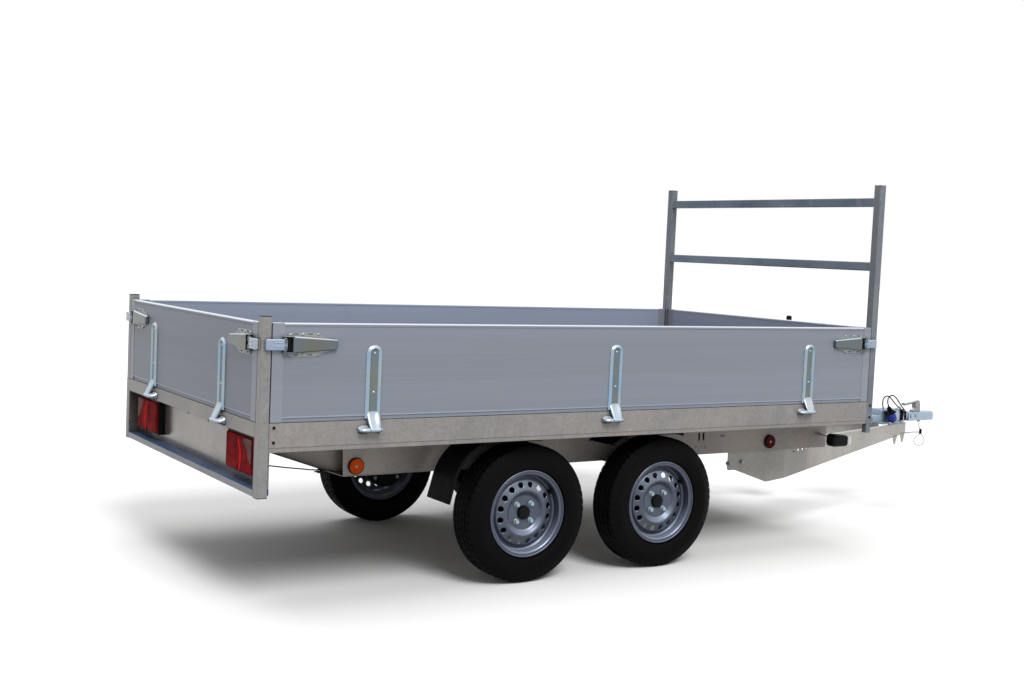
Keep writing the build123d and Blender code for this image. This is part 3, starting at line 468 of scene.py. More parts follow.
@dataclass(frozen=True)
class FilmPlywood(Finish):
    """Resin-filmed plywood with a pressed wire-mesh grip pattern."""

    slot: Slot = Slot.PLYWOOD
    mesh_pitch: float = 0.0048

    def make(self) -> Material:
        """Make the material."""
        s = Shader(self.name)
        turned = s.add("Mapping", Vector=s.place, Rotation=(0, 0, math.radians(45)))
        ridges = []
        for axis in ("X", "Y"):
            wave = s.add("TexWave", {"bands_direction": axis, "wave_profile": "SIN"},
                         Vector=turned.outputs[0], Scale=0.314 / self.mesh_pitch, Distortion=0.4)
            ridges.append(s.spread(wave.outputs["Fac"], 0.0, 1.0, 0.72, 0.98))
        mesh = s.math("MAXIMUM", *ridges)
        patches = s.noise(2.4, 5.0)
        colour = s.mix(s.spread(patches, 0.0, 1.0), tint(58, 41, 31), tint(44, 32, 26))
        colour = s.mix(s.math("MULTIPLY", mesh, 0.5), colour, tint(84, 64, 50))
        dust = s.spread(s.noise(5.0, 8.0, None, 0.7), 0.0, 0.35, 0.5, 0.75)
        colour = s.mix(dust, colour, tint(112, 102, 90))
        rough = s.math("ADD", s.spread(patches, 0.30, 0.46), s.math("MULTIPLY", dust, 0.4))
        return s.finish(colour, rough, 0.0, s.bump(mesh, 0.6, 0.0006), Coat_Weight=0.15)


@dataclass(frozen=True)
class MouldedPlastic(Finish):
    """Moulded plastic or rubber with a fine grain and paler rubbed places."""

    slot: Slot = Slot.PLASTIC
    level: Point3 = (11, 11, 12)
    rubbed: Point3 = (26, 26, 29)
    roughness: float = 0.45
    shine: float = 0.10
    grain: float = 700.0
    grain_depth: float = 0.00025
    coat: float = 0.0

    def make(self) -> Material:
        """Make the material."""
        s = Shader(self.name)
        wear = s.noise(26.0, 6.0, None, 0.7)
        haze = s.noise(5.0, 4.0)
        colour = s.mix(s.spread(wear, 0.0, 0.55, 0.5, 0.76), tint(*self.level), tint(*self.rubbed))
        colour = s.mix(s.spread(haze, 0.0, 0.25), colour, tint(*self.rubbed))
        colour = s.shaded(colour, 0.02, 0.35)
        rough = s.spread(haze, self.roughness - 0.07, self.roughness + 0.12)
        normal = s.bump(s.noise(self.grain, 2.0), 0.35, self.grain_depth)
        return s.finish(colour, rough, 0.0, normal, Coat_Weight=self.coat,
                        Specular_IOR_Level=self.shine)


@dataclass(frozen=True)
class LampLens(Finish):
    """Moulded lens: deep, glossy colour over a field of small prisms."""

    slot: Slot = Slot.RED
    level: Point3 = (190, 22, 24)
    deep: Point3 = (108, 8, 12)
    prism: float = 0.006
    prism_depth: float = 0.0011
    clear: float = 0.0

    def make(self) -> Material:
        """Make the material."""
        s = Shader(self.name)
        cells = []
        for axis in ("Y", "Z"):
            wave = s.add("TexWave", {"bands_direction": axis, "wave_profile": "SIN"},
                         Vector=s.place, Scale=0.314 / self.prism)
            cells.append(wave.outputs["Fac"])
        prisms = s.math("MULTIPLY", *cells)
        mottle = s.noise(24.0, 4.0)
        blotch = s.mix(s.spread(mottle, 0.0, 0.8, 0.35, 0.62), tint(*self.level), tint(*self.deep))
        colour = s.mix(s.spread(prisms, 0.55, 0.0, 0.0, 0.55), blotch, tint(*self.deep))
        normal = s.bump(prisms, 0.45, self.prism_depth)
        rough = s.spread(s.noise(90.0, 5.0), 0.08, 0.20)
        return s.finish(colour, rough, 0.0, normal, Coat_Weight=0.05, Coat_Roughness=0.05,
                        Specular_IOR_Level=0.0, Transmission_Weight=self.clear, IOR=1.49)


@dataclass(frozen=True)
class TyreRubber(Finish):
    """Road tyre rubber: near black, with dust on the sidewall and moulding rings."""

    slot: Slot = Slot.TYRE

    def make(self) -> Material:
        """Make the material."""
        s = Shader(self.name)
        dust = s.spread(s.noise(11.0, 8.0, None, 0.72), 0.0, 0.32, 0.48, 0.78)
        tone = s.spread(s.noise(4.0, 3.0), 0.0, 1.0)
        colour = s.mix(tone, tint(6, 6, 7), tint(9, 9, 10))
        colour = s.mix(dust, colour, tint(18, 17, 17))
        colour = s.shaded(colour, 0.012, 0.6)
        rough = s.spread(dust, 0.55, 0.80, 0.0, 0.4)
        grain = s.bump(s.noise(900.0, 2.0), 0.35, 0.0003)
        normal = s.bump(s.noise(120.0, 3.0), 0.10, 0.0006, grain)
        return s.finish(colour, rough, 0.0, normal, Specular_IOR_Level=0.05)


@dataclass(frozen=True)
class WheelEnamel(Finish):
    """Silver wheel paint: fine metal flake under a thin gloss, with painted sky reflection on top
    faces and painted shade beneath.
    """

    slot: Slot = Slot.WHEEL
    level: Point3 = (86, 92, 107)
    flake: float = 1400.0

    def make(self) -> Material:
        """Make the material."""
        s = Shader(self.name)
        flakes = s.add("TexVoronoi", Vector=s.place, Scale=self.flake)
        sparkle = s.add("SeparateColor", in0=flakes.outputs["Color"]).outputs[0]
        colour = s.mix(s.spread(s.noise(14.0, 3.0), 0.0, 1.0), tint(*self.level), tint(74, 81, 97))
        colour = s.mix(0.10, colour, s.grey(sparkle), "OVERLAY")
        grime = s.spread(s.noise(40.0, 7.0, None, 0.7), 0.0, 0.30, 0.52, 0.78)
        colour = s.mix(grime, colour, tint(70, 70, 74))
        # painted sky reflection on upper faces and painted shade on under faces
        colour = s.paint_sky_light_and_shade(colour, tint(178, 190, 212), tint(44, 47, 56), 0.75)
        colour = s.shaded(colour, 0.028, 0.70)
        rough = s.spread(sparkle, 0.26, 0.40, 0.0, 1.0)
        normal = s.bump(s.noise(330.0, 3.0), 0.10, 0.0004)
        return s.finish(colour, rough, 0.45, normal, Coat_Weight=0.08, Coat_Roughness=0.15,
                        Specular_IOR_Level=0.3)


@dataclass(frozen=True)
class SteelCable(Finish):
    """Twisted wire strands: painted highlights on the crowns and painted shade in the grooves
    between them.
    """

    slot: Slot = Slot.CABLE
    lay: float = 900.0

    def make(self) -> Material:
        """Make the material."""
        s = Shader(self.name)
        turned = s.add("Mapping", Vector=s.place, Rotation=(0.6, 0.5, 0.7))
        wave = s.add("TexWave", {"bands_direction": "DIAGONAL"}, Vector=turned.outputs[0],
                     Scale=self.lay / 6, Distortion=1.2)
        groove = wave.outputs["Fac"]
        # painted shade in the grooves, painted highlight on the strands' crowns
        colour = s.mix(groove, tint(58, 56, 54), tint(150, 148, 144))
        colour = s.mix(s.spread(s.noise(70.0, 5.0), 0.0, 0.5), colour, tint(96, 86, 74))
        return s.finish(colour, s.spread(groove, 0.6, 0.3, 0.0, 1.0), 0.7,
                        s.bump(groove, 0.7, 0.0006))


RAIL_STEEL = GalvanisedSteel("rail_galvanised")
FRAME_STEEL = GalvanisedSteel("frame_galvanised", level=(157, 149, 142),
                              cool=(147, 141, 138), stains=0.3)
# the long shade reach paints the lamps' shade across the panel
PANEL_STEEL = GalvanisedSteel("panel_galvanised", level=(132, 125, 119),
                              cool=(122, 117, 115), stains=0.2, shade_reach=0.060,
                              sheen_roughness=(0.13, 0.20), metallic=0.6)
POST_STEEL = GalvanisedSteel("post_galvanised", level=(140, 139, 138),
                             cool=(131, 133, 137), sheen_roughness=(0.30, 0.5))
FRONT_POST_STEEL = GalvanisedSteel("front_post_galvanised", level=(120, 125, 131),
                                   cool=(108, 116, 126), sheen_roughness=(0.30, 0.5))
RACK_STEEL = GalvanisedSteel("rack_galvanised", level=(108, 120, 134),
                             cool=(84, 98, 114), spangle=140.0, sheen_roughness=(0.28, 0.42),
                             metallic=0.5)
DRAWBAR_STEEL = GalvanisedSteel("drawbar_galvanised", level=(174, 170, 164),
                                cool=(162, 159, 155), sheen_roughness=(0.30, 0.48))
HOUSING_STEEL = GalvanisedSteel("housing_galvanised", level=(176, 190, 204),
                                cool=(146, 168, 188), sheen_roughness=(0.26, 0.42), metallic=0.5)
# blue copy of galvanised steel: painted sky reflection inside the rear channel
CHANNEL_SKY_REFLECTION_STEEL = GalvanisedSteel("channel_sky_reflection_galvanised", level=(100, 128, 166),
                                cool=(66, 88, 126), sheen_roughness=(0.26, 0.42), metallic=0.5)
ZINC = BrightZinc("bright_zinc")
DULL_ZINC = BrightZinc("dull_zinc", level=(150, 150, 147), roughness=0.36,
                       cool=(132, 146, 158), warm=(146, 144, 126))
WEB_ZINC = BrightZinc("recessed_zinc", level=(112, 120, 118), roughness=0.40,
                      cool=(100, 116, 124), warm=(116, 116, 100))
LEVER_ZINC = BrightZinc("lever_zinc", level=(104, 106, 99), roughness=0.26,
                        cool=(92, 108, 120), warm=(112, 106, 84), contrast=1.0)
LINK_ZINC = BrightZinc("link_zinc", level=(158, 168, 184), roughness=0.26,
                       cool=(134, 158, 192), warm=(150, 152, 144))
PLANK = AnodisedAluminium("plank_aluminium", level=(134, 140, 151))
# darker copy of the plank for the tailboard: painted shade on the rear
SHADED_REAR_PLANK = AnodisedAluminium("rear_plank_aluminium", level=(119, 124, 134))
# lighter, bluer copy: painted sky reflection on the planks' insides and lips
PLANK_INNER_SKY_REFLECTION = AnodisedAluminium("plank_inside_aluminium", level=(150, 160, 182))
# near-white copy: painted highlight on the planks' top edges
PLANK_EDGE_HIGHLIGHT = AnodisedAluminium("plank_edge_aluminium", level=(214, 220, 230),
                               roughness=0.30)
PLANK_END = AnodisedAluminium("end_profile_aluminium", level=(142, 146, 156))
DECK = FilmPlywood("deck_film_plywood")
BLACK = MouldedPlastic("black_moulded_plastic")
GUARD = MouldedPlastic("mudguard_plastic", level=(9, 10, 12), rubbed=(19, 21, 26),
                       roughness=0.5, shine=0.06)
CAP = MouldedPlastic("end_cap_plastic", level=(34, 35, 38), rubbed=(54, 54, 58))
SOFT_RUBBER = MouldedPlastic("black_soft_rubber", Slot.RUBBER, level=(11, 11, 12),
                             rubbed=(24, 23, 24), roughness=0.62, shine=0.06)
JACKET = MouldedPlastic("cable_jacket", Slot.RUBBER, level=(14, 14, 15), rubbed=(30, 30, 32),
                        roughness=0.42, grain=500.0)
BLUE = MouldedPlastic("blue_moulded_plastic", Slot.BLUE, level=(20, 40, 138), rubbed=(40, 70, 172),
                      roughness=0.3, coat=0.15, shine=0.3)
HUB_BLACK = MouldedPlastic("hub_black_paint", Slot.HUB, level=(14, 14, 15), rubbed=(34, 33, 32),
                           roughness=0.4)
RED_LENS = LampLens("red_lamp_lens", level=(170, 22, 26), deep=(84, 10, 16))
RED_BRIGHT = LampLens("bright_red_lamp_lens", level=(238, 44, 40), deep=(186, 22, 24),
                      prism=0.004)
ORANGE_ZONE = LampLens("orange_lamp_lens", level=(168, 34, 34), deep=(104, 16, 20))
CLEAR_LENS = LampLens("clear_lamp_lens", level=(146, 118, 116), deep=(98, 60, 62))
WHITE_LENS = LampLens("white_lamp_lens", level=(254, 254, 254), deep=(244, 244, 246),
                      prism_depth=0.0003)
AMBER_LENS = LampLens("amber_reflector_lens", Slot.AMBER, level=(246, 104, 22), deep=(214, 72, 10),
                      prism=0.0035)
# the front reflectors' amber, darkened: painted shade
SHADED_AMBER = LampLens("shaded_amber_reflector_lens", Slot.AMBER, level=(110, 30, 20),
                      deep=(72, 16, 12), prism=0.0035)
RUBBER = TyreRubber("tyre_rubber_black")
ENAMEL = WheelEnamel("wheel_silver_enamel")
WIRE = SteelCable("twisted_steel_cable")


# ================================================================ shapes
def frame_at(origin: Sequence[float], x_way: Sequence[float], y_way: Sequence[float]) -> Matrix:
    """Give a local frame by its origin and the directions of its first two axes.

    Args:
        origin: Where the local origin stands.
        x_way: Direction of local x.
        y_way: Rough direction of local y, which is squared up to x.

    Returns:
        The matrix from local to trailer coordinates.
    """
    x = Vector(x_way).normalized()
    z = x.cross(Vector(y_way)).normalized()
    y = z.cross(x)
    turn = Matrix((x, y, z)).transposed().to_4x4()
    return Matrix.Translation(Vector(origin)) @ turn


def shift(x: float, y: float, z: float) -> Matrix:
    """Give the matrix of a move."""
    return Matrix.Translation((x, y, z))


def spin(turns: float) -> Matrix:
    """Give the matrix of some turns about local z."""
    return Matrix.Rotation(2 * math.pi * turns, 4, "Z")


def facing(origin: Sequence[float], way: Sequence[float]) -> Matrix:
    """Give a local frame whose z points along a direction."""
    z = Vector(way).normalized()
    across = Vector((0, 0, 1)) if abs(z.z) < 0.9 else Vector((1, 0, 0))
    x = across.cross(z).normalized()
    return frame_at(origin, x, z.cross(x))


def mirrored(side: "Side") -> Matrix:
    """Give the matrix that turns a left-hand shape into this side's one."""
    return Matrix.Scale(side.value, 4, Vector((0, 1, 0)))


def rounded_outline(width: float, height: float, radius: float, steps: int = 5) -> list[Point2]:
    """Give a rectangle with round corners about the origin.

    Args:
        width: Size along x.
        height: Size along y.
        radius: Corner radius.
        steps: Points on each corner's arc, less one.

    Returns:
        Its points, anticlockwise.
    """
    points = []
    for corner, (sx, sy) in enumerate(((1, 1), (-1, 1), (-1, -1), (1, -1))):
        centre = (sx * (width / 2 - radius), sy * (height / 2 - radius))
        points += arc(centre, radius, 90 * corner, 90 * corner + 90, steps)
    return points


def circle(centre: Point2, radius: float, count: int) -> list[Point2]:
    """Give points evenly round a circle."""
    turns = (2 * math.pi * index / count for index in range(count))
    return [(centre[0] + radius * math.cos(a), centre[1] + radius * math.sin(a)) for a in turns]


def hoop(centre: Vector, across: Vector, up: Vector, radius: float, sides: int) -> list[Vector]:
    """Give points evenly round a centre, in the plane of two directions."""
    turns = (2 * math.pi * side / sides for side in range(sides))
    return [centre + (across * math.cos(a) + up * math.sin(a)) * radius for a in turns]


def skin(part: bmesh.types.BMesh, low: Sequence[bmesh.types.BMVert],
         high: Sequence[bmesh.types.BMVert], closed: bool = True) -> None:
    """Join two rows of a shape's points with four-sided faces."""
    count = len(low)
    for index in range(count if closed else count - 1):
        after = (index + 1) % count
        part.faces.new((low[index], low[after], high[after], high[index]))


def arc(centre: Point2, radius: float, start: float, stop: float, steps: int) -> list[Point2]:
    """Give points on an arc, its ends included, with angles in degrees."""
    angles = [math.radians(start + (stop - start) * step / steps) for step in range(steps + 1)]
    return [(centre[0] + radius * math.cos(a), centre[1] + radius * math.sin(a)) for a in angles]


def softened(points: Sequence[Point2], radius: float, steps: int = 3,
             closed: bool = True) -> list[Point2]:
    """Round the corners of an outline.

    Args:
        points: The outline's corners.
        radius: Radius of each corner, less where its sides are short.
        steps: Points on each corner's curve, less one.
        closed: Whether the last point joins the first.

    Returns:
        The rounded outline.
    """
    count = len(points)
    result: list[Point2] = []
    for index, here in enumerate(points):
        if not closed and index in (0, count - 1):
            result.append(tuple(here))
            continue
        middle = Vector(here)
        before = Vector(points[index - 1]) - middle
        after = Vector(points[(index + 1) % count]) - middle
        half = before.angle(after) / 2
        cut = min(radius / max(math.tan(half), 1e-4), before.length * 0.45, after.length * 0.45)
        first = middle + before.normalized() * cut
        last = middle + after.normalized() * cut
        for step in range(steps + 1):
            t = step / steps
            point = first.lerp(middle, t).lerp(middle.lerp(last, t), t)
            result.append((point.x, point.y))
    return result


class Shell:
    """One mesh in the making: closed shapes are added to it, then it becomes a piece."""

    def __init__(self, base: Matrix | None = None) -> None:
        """Start an empty mesh.

        Args:
            base: A frame that every shape is placed in.
        """
        self.bm = bmesh.new()
        self.base = base or Matrix.Identity(4)

    def merge(self, part: bmesh.types.BMesh, place: Matrix | None = None, edge: float = 0.0,
              steps: int = 2) -> "Shell":
        """Round a shape's sharp edges, put it in place and add it.

        Args:
            part: The shape, which is used up.
            place: Its frame within the base.
            edge: Radius of its sharp edges.
            steps: Faces across each rounded edge.

        Returns:
            This shell.
        """
        bmesh.ops.recalc_face_normals(part, faces=part.faces)
        if edge > 0:
            sharp = [e for e in part.edges
                     if len(e.link_faces) == 2 and e.calc_face_angle(0.0) > SHARP_EDGE]
            bmesh.ops.bevel(part, geom=sharp, offset=edge, offset_type="OFFSET", segments=steps,
                            profile=0.5, affect="EDGES", clamp_overlap=True)
        matrix = self.base @ (place or Matrix.Identity(4))
        bmesh.ops.transform(part, matrix=matrix, verts=part.verts)
        if matrix.determinant() < 0:
            bmesh.ops.reverse_faces(part, faces=part.faces)
        mesh = bpy.data.meshes.new("part")
        part.to_mesh(mesh)
        part.free()
        self.bm.from_mesh(mesh)
        bpy.data.meshes.remove(mesh)
        return self

    def prism(self, outline: Sequence[Point2], depth: float, place: Matrix | None = None,
              edge: float = 0.0, steps: int = 2, holes: Sequence[Sequence[Point2]] = ()) -> "Shell":
        """Add a flat shape of some thickness.

        Args:
            outline: Its outline in local x and y.
            depth: Its thickness along local z.
            place: Its frame.
            edge: Radius of its sharp edges.
            steps: Faces across each rounded edge.
            holes: Outlines of holes right through it.

        Returns:
            This shell.
        """
        part = bmesh.new()
        loops = [[part.verts.new((x, y, 0)) for x, y in loop] for loop in (outline, *holes)]
        rims = []
        for loop in loops:
            rims += [part.edges.new((a, b)) for a, b in zip(loop, loop[1:] + loop[:1])]
        if holes:
            bmesh.ops.triangle_fill(part, use_beauty=True, edges=rims)
        else:
            part.faces.new(loops[0])
        made = bmesh.ops.extrude_face_region(part, geom=part.faces[:])
        moved = [v for v in made["geom"] if isinstance(v, bmesh.types.BMVert)]
        bmesh.ops.translate(part, verts=moved, vec=(0, 0, depth))
        return self.merge(part, place, edge, steps)

    def box(self, x: Span, y: Span, z: Span, edge: float = 0.001, steps: int = 2,
            place: Matrix | None = None) -> "Shell":
        """Add a block between two corners, with rounded edges."""
        outline = [(x[0], y[0]), (x[1], y[0]), (x[1], y[1]), (x[0], y[1])]
        foot = (place or Matrix.Identity(4)) @ shift(0, 0, min(z))
        return self.prism(outline, abs(z[1] - z[0]), foot, edge, steps)

    def loft(self, loops: Sequence[Sequence[Sequence[float]]], place: Matrix | None = None,
             caps: tuple[bool, bool] = (True, True), ring: bool = False, edge: float = 0.0,
             closed: bool = True) -> "Shell":
        """Skin a row of loops that have the same number of points.

        Args:
            loops: Their points in local coordinates.
            place: Their frame.
            caps: Whether the first and the last loop are filled.
            ring: Whether the last loop joins the first.
            edge: Radius of the sharp edges.
            closed: Whether each loop's last point joins its first.

        Returns:
            This shell.
        """
        part = bmesh.new()
        rows = [[part.verts.new(p) for p in loop] for loop in loops]
        pairs = list(zip(rows, rows[1:])) + ([(rows[-1], rows[0])] if ring else [])
        for low, high in pairs:
            skin(part, low, high, closed)
        for fill, row in zip(caps, (rows[0], rows[-1])):
            if fill and not ring:
                part.faces.new(row)
        bmesh.ops.remove_doubles(part, verts=part.verts, dist=1e-6)
        return self.merge(part, place, edge)

    def lathe(self, profile: Sequence[Point2], place: Matrix | None = None, sides: int = 32,
              ring: bool = False, edge: float = 0.0) -> "Shell":
        """Turn a profile about local z.

        Args:
            profile: Points as (radius, height).
            place: The frame whose z is the axis.
            sides: Facets around.
            ring: Whether the profile's last point joins its first.
            edge: Radius of the sharp edges.

        Returns:
            This shell.
        """
        loops = [[(x, y, h) for x, y in circle((0, 0), r, sides)] for r, h in profile]
        if not ring:
            return self.loft(loops, place, (profile[0][0] > 1e-6, profile[-1][0] > 1e-6), edge=edge)
        return self.loft(loops, place, (False, False), ring=True, edge=edge)

    def tube(self, points: Sequence[Sequence[float]], radius: float, sides: int = 12,
             place: Matrix | None = None, ring: bool = False) -> "Shell":
        """Add a round bar along a path.

        Args:
            points: The path.
            radius: The bar's radius.
            sides: Facets around it.
            place: The path's frame.
            ring: Whether the path is closed.

        Returns:
            This shell.
        """
        path = [Vector(p) for p in points]
        count = len(path)
        way = (path[1] - path[0]).normalized()
        across = way.orthogonal().normalized()
        loops = []
        for index, here in enumerate(path):
            before = path[index - 1] if index or ring else here
            after = path[(index + 1) % count] if index < count - 1 or ring else here
            new_way = (after - before).normalized()
            across = (across - new_way * across.dot(new_way)).normalized()
            up = new_way.cross(across)
            loops.append(hoop(here, across, up, radius, sides))
        return self.loft(loops, place, ring=ring)

    def hollow_bar(self, width: float, height: float, wall: float, corner: float, length: float,
                   place: Matrix | None = None) -> "Shell":
        """Add a square tube along local z, open at both ends.

        Args:
            width: Its size along x.
            height: Its size along y.
            wall: Its wall.
            corner: Its outer corner radius.
            length: Its length.
            place: Its frame.

        Returns:
            This shell.
        """
        lip = 0.0006
        outer = rounded_outline(width, height, corner)
        inner = rounded_outline(width - 2 * wall, height - 2 * wall, max(corner - wall, 0.0004))
        eased = rounded_outline(width - 2 * lip, height - 2 * lip, corner - lip)
        rows = [(inner, 0), (eased, 0), (outer, lip), (outer, length - lip), (eased, length),
                (inner, length)]
        loops = [[(x, y, z) for x, y in loop] for loop, z in rows]
        return self.loft(loops, place, ring=True)

    def bolt(self, place: Matrix, flats: float = 0.013, height: float = 0.006,
             washer: float = 0.011) -> "Shell":
        """Add a hexagon bolt head on its washer, standing on local z.

        Args:
            place: The frame whose origin is on the surface.
            flats: Size across the flats.
            height: Height of the head.
            washer: Radius of the washer, or 0 for none.

        Returns:
            This shell.
        """
        thick = 0.0016 if washer else 0.0
        if washer:
            self.lathe([(0, 0), (washer, 0), (washer, thick), (0, thick)], place, 24, edge=0.0003)
        corner = flats / math.sqrt(3)
        hexagon = circle((0, 0), corner, 6)
        lift = shift(0, 0, thick)
        self.prism(hexagon, height * 0.85, place @ lift, 0.0006)
        dome = [(corner * 0.86, 0), (corner * 0.80, height * 0.10), (0, height * 0.16)]
        return self.lathe(dome, place @ shift(0, 0, thick + height * 0.84), 24)

    def rivet(self, place: Matrix, radius: float = 0.005, height: float = 0.0022) -> "Shell":
        """Add a domed rivet head standing on local z."""
        slopes = (math.radians(a) for a in (0, 25, 50, 72))
        dome = [(radius * math.cos(a), height * math.sin(a)) for a in slopes]
        return self.lathe([*dome, (0, height)], place, 20)

    def weld(self, start: Sequence[float], stop: Sequence[float], radius: float = 0.0026,
             seed: int = 1) -> "Shell":
        """Add a rippled weld bead between two points.

        Args:
            start: One end.
            stop: The other end.
            radius: The bead's radius.
            seed: Varies the ripple from bead to bead.

        Returns:
            This shell.
        """
        a, b = Vector(start), Vector(stop)
        count = max(6, int((b - a).length / 0.0022))
        way = (b - a).normalized()
        across = way.orthogonal().normalized()
        up = way.cross(across)
        loops = []
        for index in range(count + 1):
            wave = 0.5 + 0.5 * math.cos(index * 2.1 + seed)
            size = radius * (0.82 + 0.26 * wave)
            size *= 0.35 if index in (0, count) else 1.0
            wander = across * (radius * 0.12 * math.sin(index * 0.7 + seed))
            centre = a.lerp(b, index / count) + wander
            loops.append(hoop(centre, across, up, size, 8))
        return self.loft(loops)

    def piece(self, name: str, body: str, finish: Finish, stands_for: Iterable[str] = (),
              even: bool = True) -> Piece:
        """Turn the mesh into a finished piece of the trailer.

        Args:
            name: The piece's name.
            body: The body that it rides on.
            finish: Its surface finish.
            stands_for: The nodes that it is shown in place of.
            even: Whether big faces keep flat shading beside rounded edges.

        Returns:
            The new object.
        """
        mesh = bpy.data.meshes.new(name)
        self.bm.to_mesh(mesh)
        self.bm.free()
        piece = bpy.data.objects.new(name, mesh)
        bpy.context.scene.collection.objects.link(piece)
        return dress(piece, body, finish, stands_for, even)


def dress(piece: Piece, body: str, finish: Finish, stands_for: Iterable[str] = (),
          even: bool = True) -> Piece:
    """Smooth a piece, give it its finish and let it ride on its body.

    Args:
        piece: The piece.
        body: The body that it rides on.
        finish: Its surface finish.
        stands_for: The nodes that it is shown in place of.
        even: Whether big faces keep flat shading beside rounded edges.

    Returns:
        The piece.
    """
    if piece.type == "MESH":
        piece.data.shade_smooth()
        piece.data.set_sharp_from_angle(angle=SMOOTH_ANGLE)
        if even:
            weighting = piece.modifiers.new("even_shading", "WEIGHTED_NORMAL")
            weighting.keep_sharp = True
    piece.data.materials.clear()
    piece.data.materials.append(finish.material())
    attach(piece, body)
    if stands_for:
        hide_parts(*stands_for)
    faces = len(piece.data.polygons) if piece.type == "MESH" else 0
    log.info("%s rides %s in %s, %d faces", piece.name, body, finish.name, faces)
    return piece


def coat(node: str, finish: Finish) -> None:
    """Give a carried-over node a finish in place of its plain one."""
    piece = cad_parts[node]
    slots = piece.material_slots
    if not slots:
        piece.data.materials.append(finish.material())
    for slot in slots:
        slot.material = finish.material()
    log.info("%s carries %s", node, finish.name)


# ================================================================ studio
@dataclass
class Studio:
    """Floor, lights, surroundings and the camera."""

    camera_place: Point3 = (-4.02895, -5.1176, 1.3598)
    yaw: float = 56.93688
    pitch: float = -3.88671
    roll: float = 2.53769
    lens: float = 45.794
    sensor: float = 36.0
    floor_half: float = 60.0
    sky_strength: float = 0.45
    side_light: float = 2.0
    top_light: float = 1.25

    def build_camera(self) -> None:
        """Stand the camera at its place and make it the scene's."""
        data = bpy.data.cameras.new("camera")
        data.lens = self.lens
        data.sensor_width = self.sensor
        data.clip_end = 200.0
        camera = bpy.data.objects.new("camera", data)
        bpy.context.scene.collection.objects.link(camera)
        yaw, pitch, roll = (math.radians(a) for a in (self.yaw, self.pitch, self.roll))
        ahead = Vector((math.cos(yaw) * math.cos(pitch), math.sin(yaw) * math.cos(pitch),
                        math.sin(pitch)))
        level = ahead.cross(Vector((0, 0, 1))).normalized()
        above = level.cross(ahead)
        right = level * math.cos(roll) + above * math.sin(roll)
        up = above * math.cos(roll) - level * math.sin(roll)
        turn = Matrix((right, up, -ahead)).transposed().to_4x4()
        camera.matrix_world = Matrix.Translation(self.camera_place) @ turn
        bpy.context.scene.camera = camera

    def build_surroundings(self) -> None:
        """Make the even sky, which the camera and mirrors see as white."""
        world = bpy.data.worlds.new("studio")
        world.use_nodes = True
        tree = world.node_tree
        background = tree.nodes["Background"]
        background.inputs["Color"].default_value = (1, 1, 1, 1)
        path = tree.nodes.new("ShaderNodeLightPath")
        seen = path.outputs["Is Camera Ray"]
        for name in ("Is Glossy Ray", "Is Transmission Ray"):
            either = tree.nodes.new("ShaderNodeMath")
            either.operation = "MAXIMUM"
            tree.links.new(seen, either.inputs[0])
            tree.links.new(path.outputs[name], either.inputs[1])
            seen = either.outputs[0]
        strength = tree.nodes.new("ShaderNodeMapRange")
        strength.inputs["To Min"].default_value = self.sky_strength
        strength.inputs["To Max"].default_value = 1.0
        tree.links.new(seen, strength.inputs["Value"])
        tree.links.new(strength.outputs[0], background.inputs["Strength"])
        bpy.context.scene.world = world

    def build_lights(self) -> None:
        """Hang a soft light to the right and another overhead."""
        for name, power, way, spread in (
            ("side_light", self.side_light, (-0.07, -0.65, 0.74), 28.0),
            ("top_light", self.top_light, (-0.10, 0.12, 0.98), 50.0),
        ):
            data = bpy.data.lights.new(name, "SUN")
            data.energy = power
            data.angle = math.radians(spread)
            light = bpy.data.objects.new(name, data)
            light.rotation_euler = Vector(way).to_track_quat("Z", "Y").to_euler()
            bpy.context.scene.collection.objects.link(light)

    def build_floor(self) -> None:
        """Lay the pale floor."""
        s = Shader("studio_floor")
        rays = s.add("LightPath").outputs
        seen = s.math("MAXIMUM", rays["Is Camera Ray"], rays["Is Glossy Ray"])
        seen = s.math("MAXIMUM", seen, rays["Is Transmission Ray"])
        pale = s.mix(s.noise(0.4, 2.0), tint(244, 244, 244), tint(247, 247, 246))
        colour = s.mix(seen, tint(178, 178, 178), pale)
        material = s.finish(colour, 0.9, 0.0, None, Specular_IOR_Level=0.0)
        mesh = bpy.data.meshes.new("studio_floor")
        half = self.floor_half
        corners = [(-half, -half, 0), (half, -half, 0), (half, half, 0), (-half, half, 0)]
        mesh.from_pydata(corners, [], [(0, 1, 2, 3)])
        mesh.materials.append(material)
        floor = bpy.data.objects.new("studio_floor", mesh)
        bpy.context.scene.collection.objects.link(floor)

    def build(self) -> None:
        """Set up everything around the trailer."""
        bpy.context.scene.view_settings.view_transform = "Standard"
        self.build_camera()
        self.build_surroundings()
        self.build_lights()
        self.build_floor()


# ================================================================ cables on the drawbar
@dataclass(frozen=True)
class Cord:
    """A free cable: its route's control points, from where it leaves the trailer."""

    name: str
    node: str
    origin: Point3
    route: tuple[Point3, ...]
    diameter: float
    length: float
    far_end: str
    finish: Finish
    stiffness: str = "medium"
    lay: str = "loose"

    def build(self, on_it: Sequence[Piece] = ()) -> Piece:
        """Args:
            on_it: The pieces on the cable; not used.

        Returns:
            The cable's curve.
        """
        data = bpy.data.curves.new(self.name, "CURVE")
        data.dimensions = "3D"
        data.bevel_depth = self.diameter / 2
        data.bevel_resolution = 4
        data.resolution_u = 16
        data.use_fill_caps = True
        spline = data.splines.new("NURBS")
        spline.points.add(len(self.route) - 1)
        start = Vector(self.origin)
        for point, place in zip(spline.points, self.route):
            point.co = (*(start + Vector(place)), 1.0)
        spline.order_u = 3
        spline.use_endpoint_u = True
        curve = bpy.data.objects.new(self.name, data)
        bpy.context.scene.collection.objects.link(curve)
        dress(curve, CHASSIS, self.finish, (self.node,))
        return curve


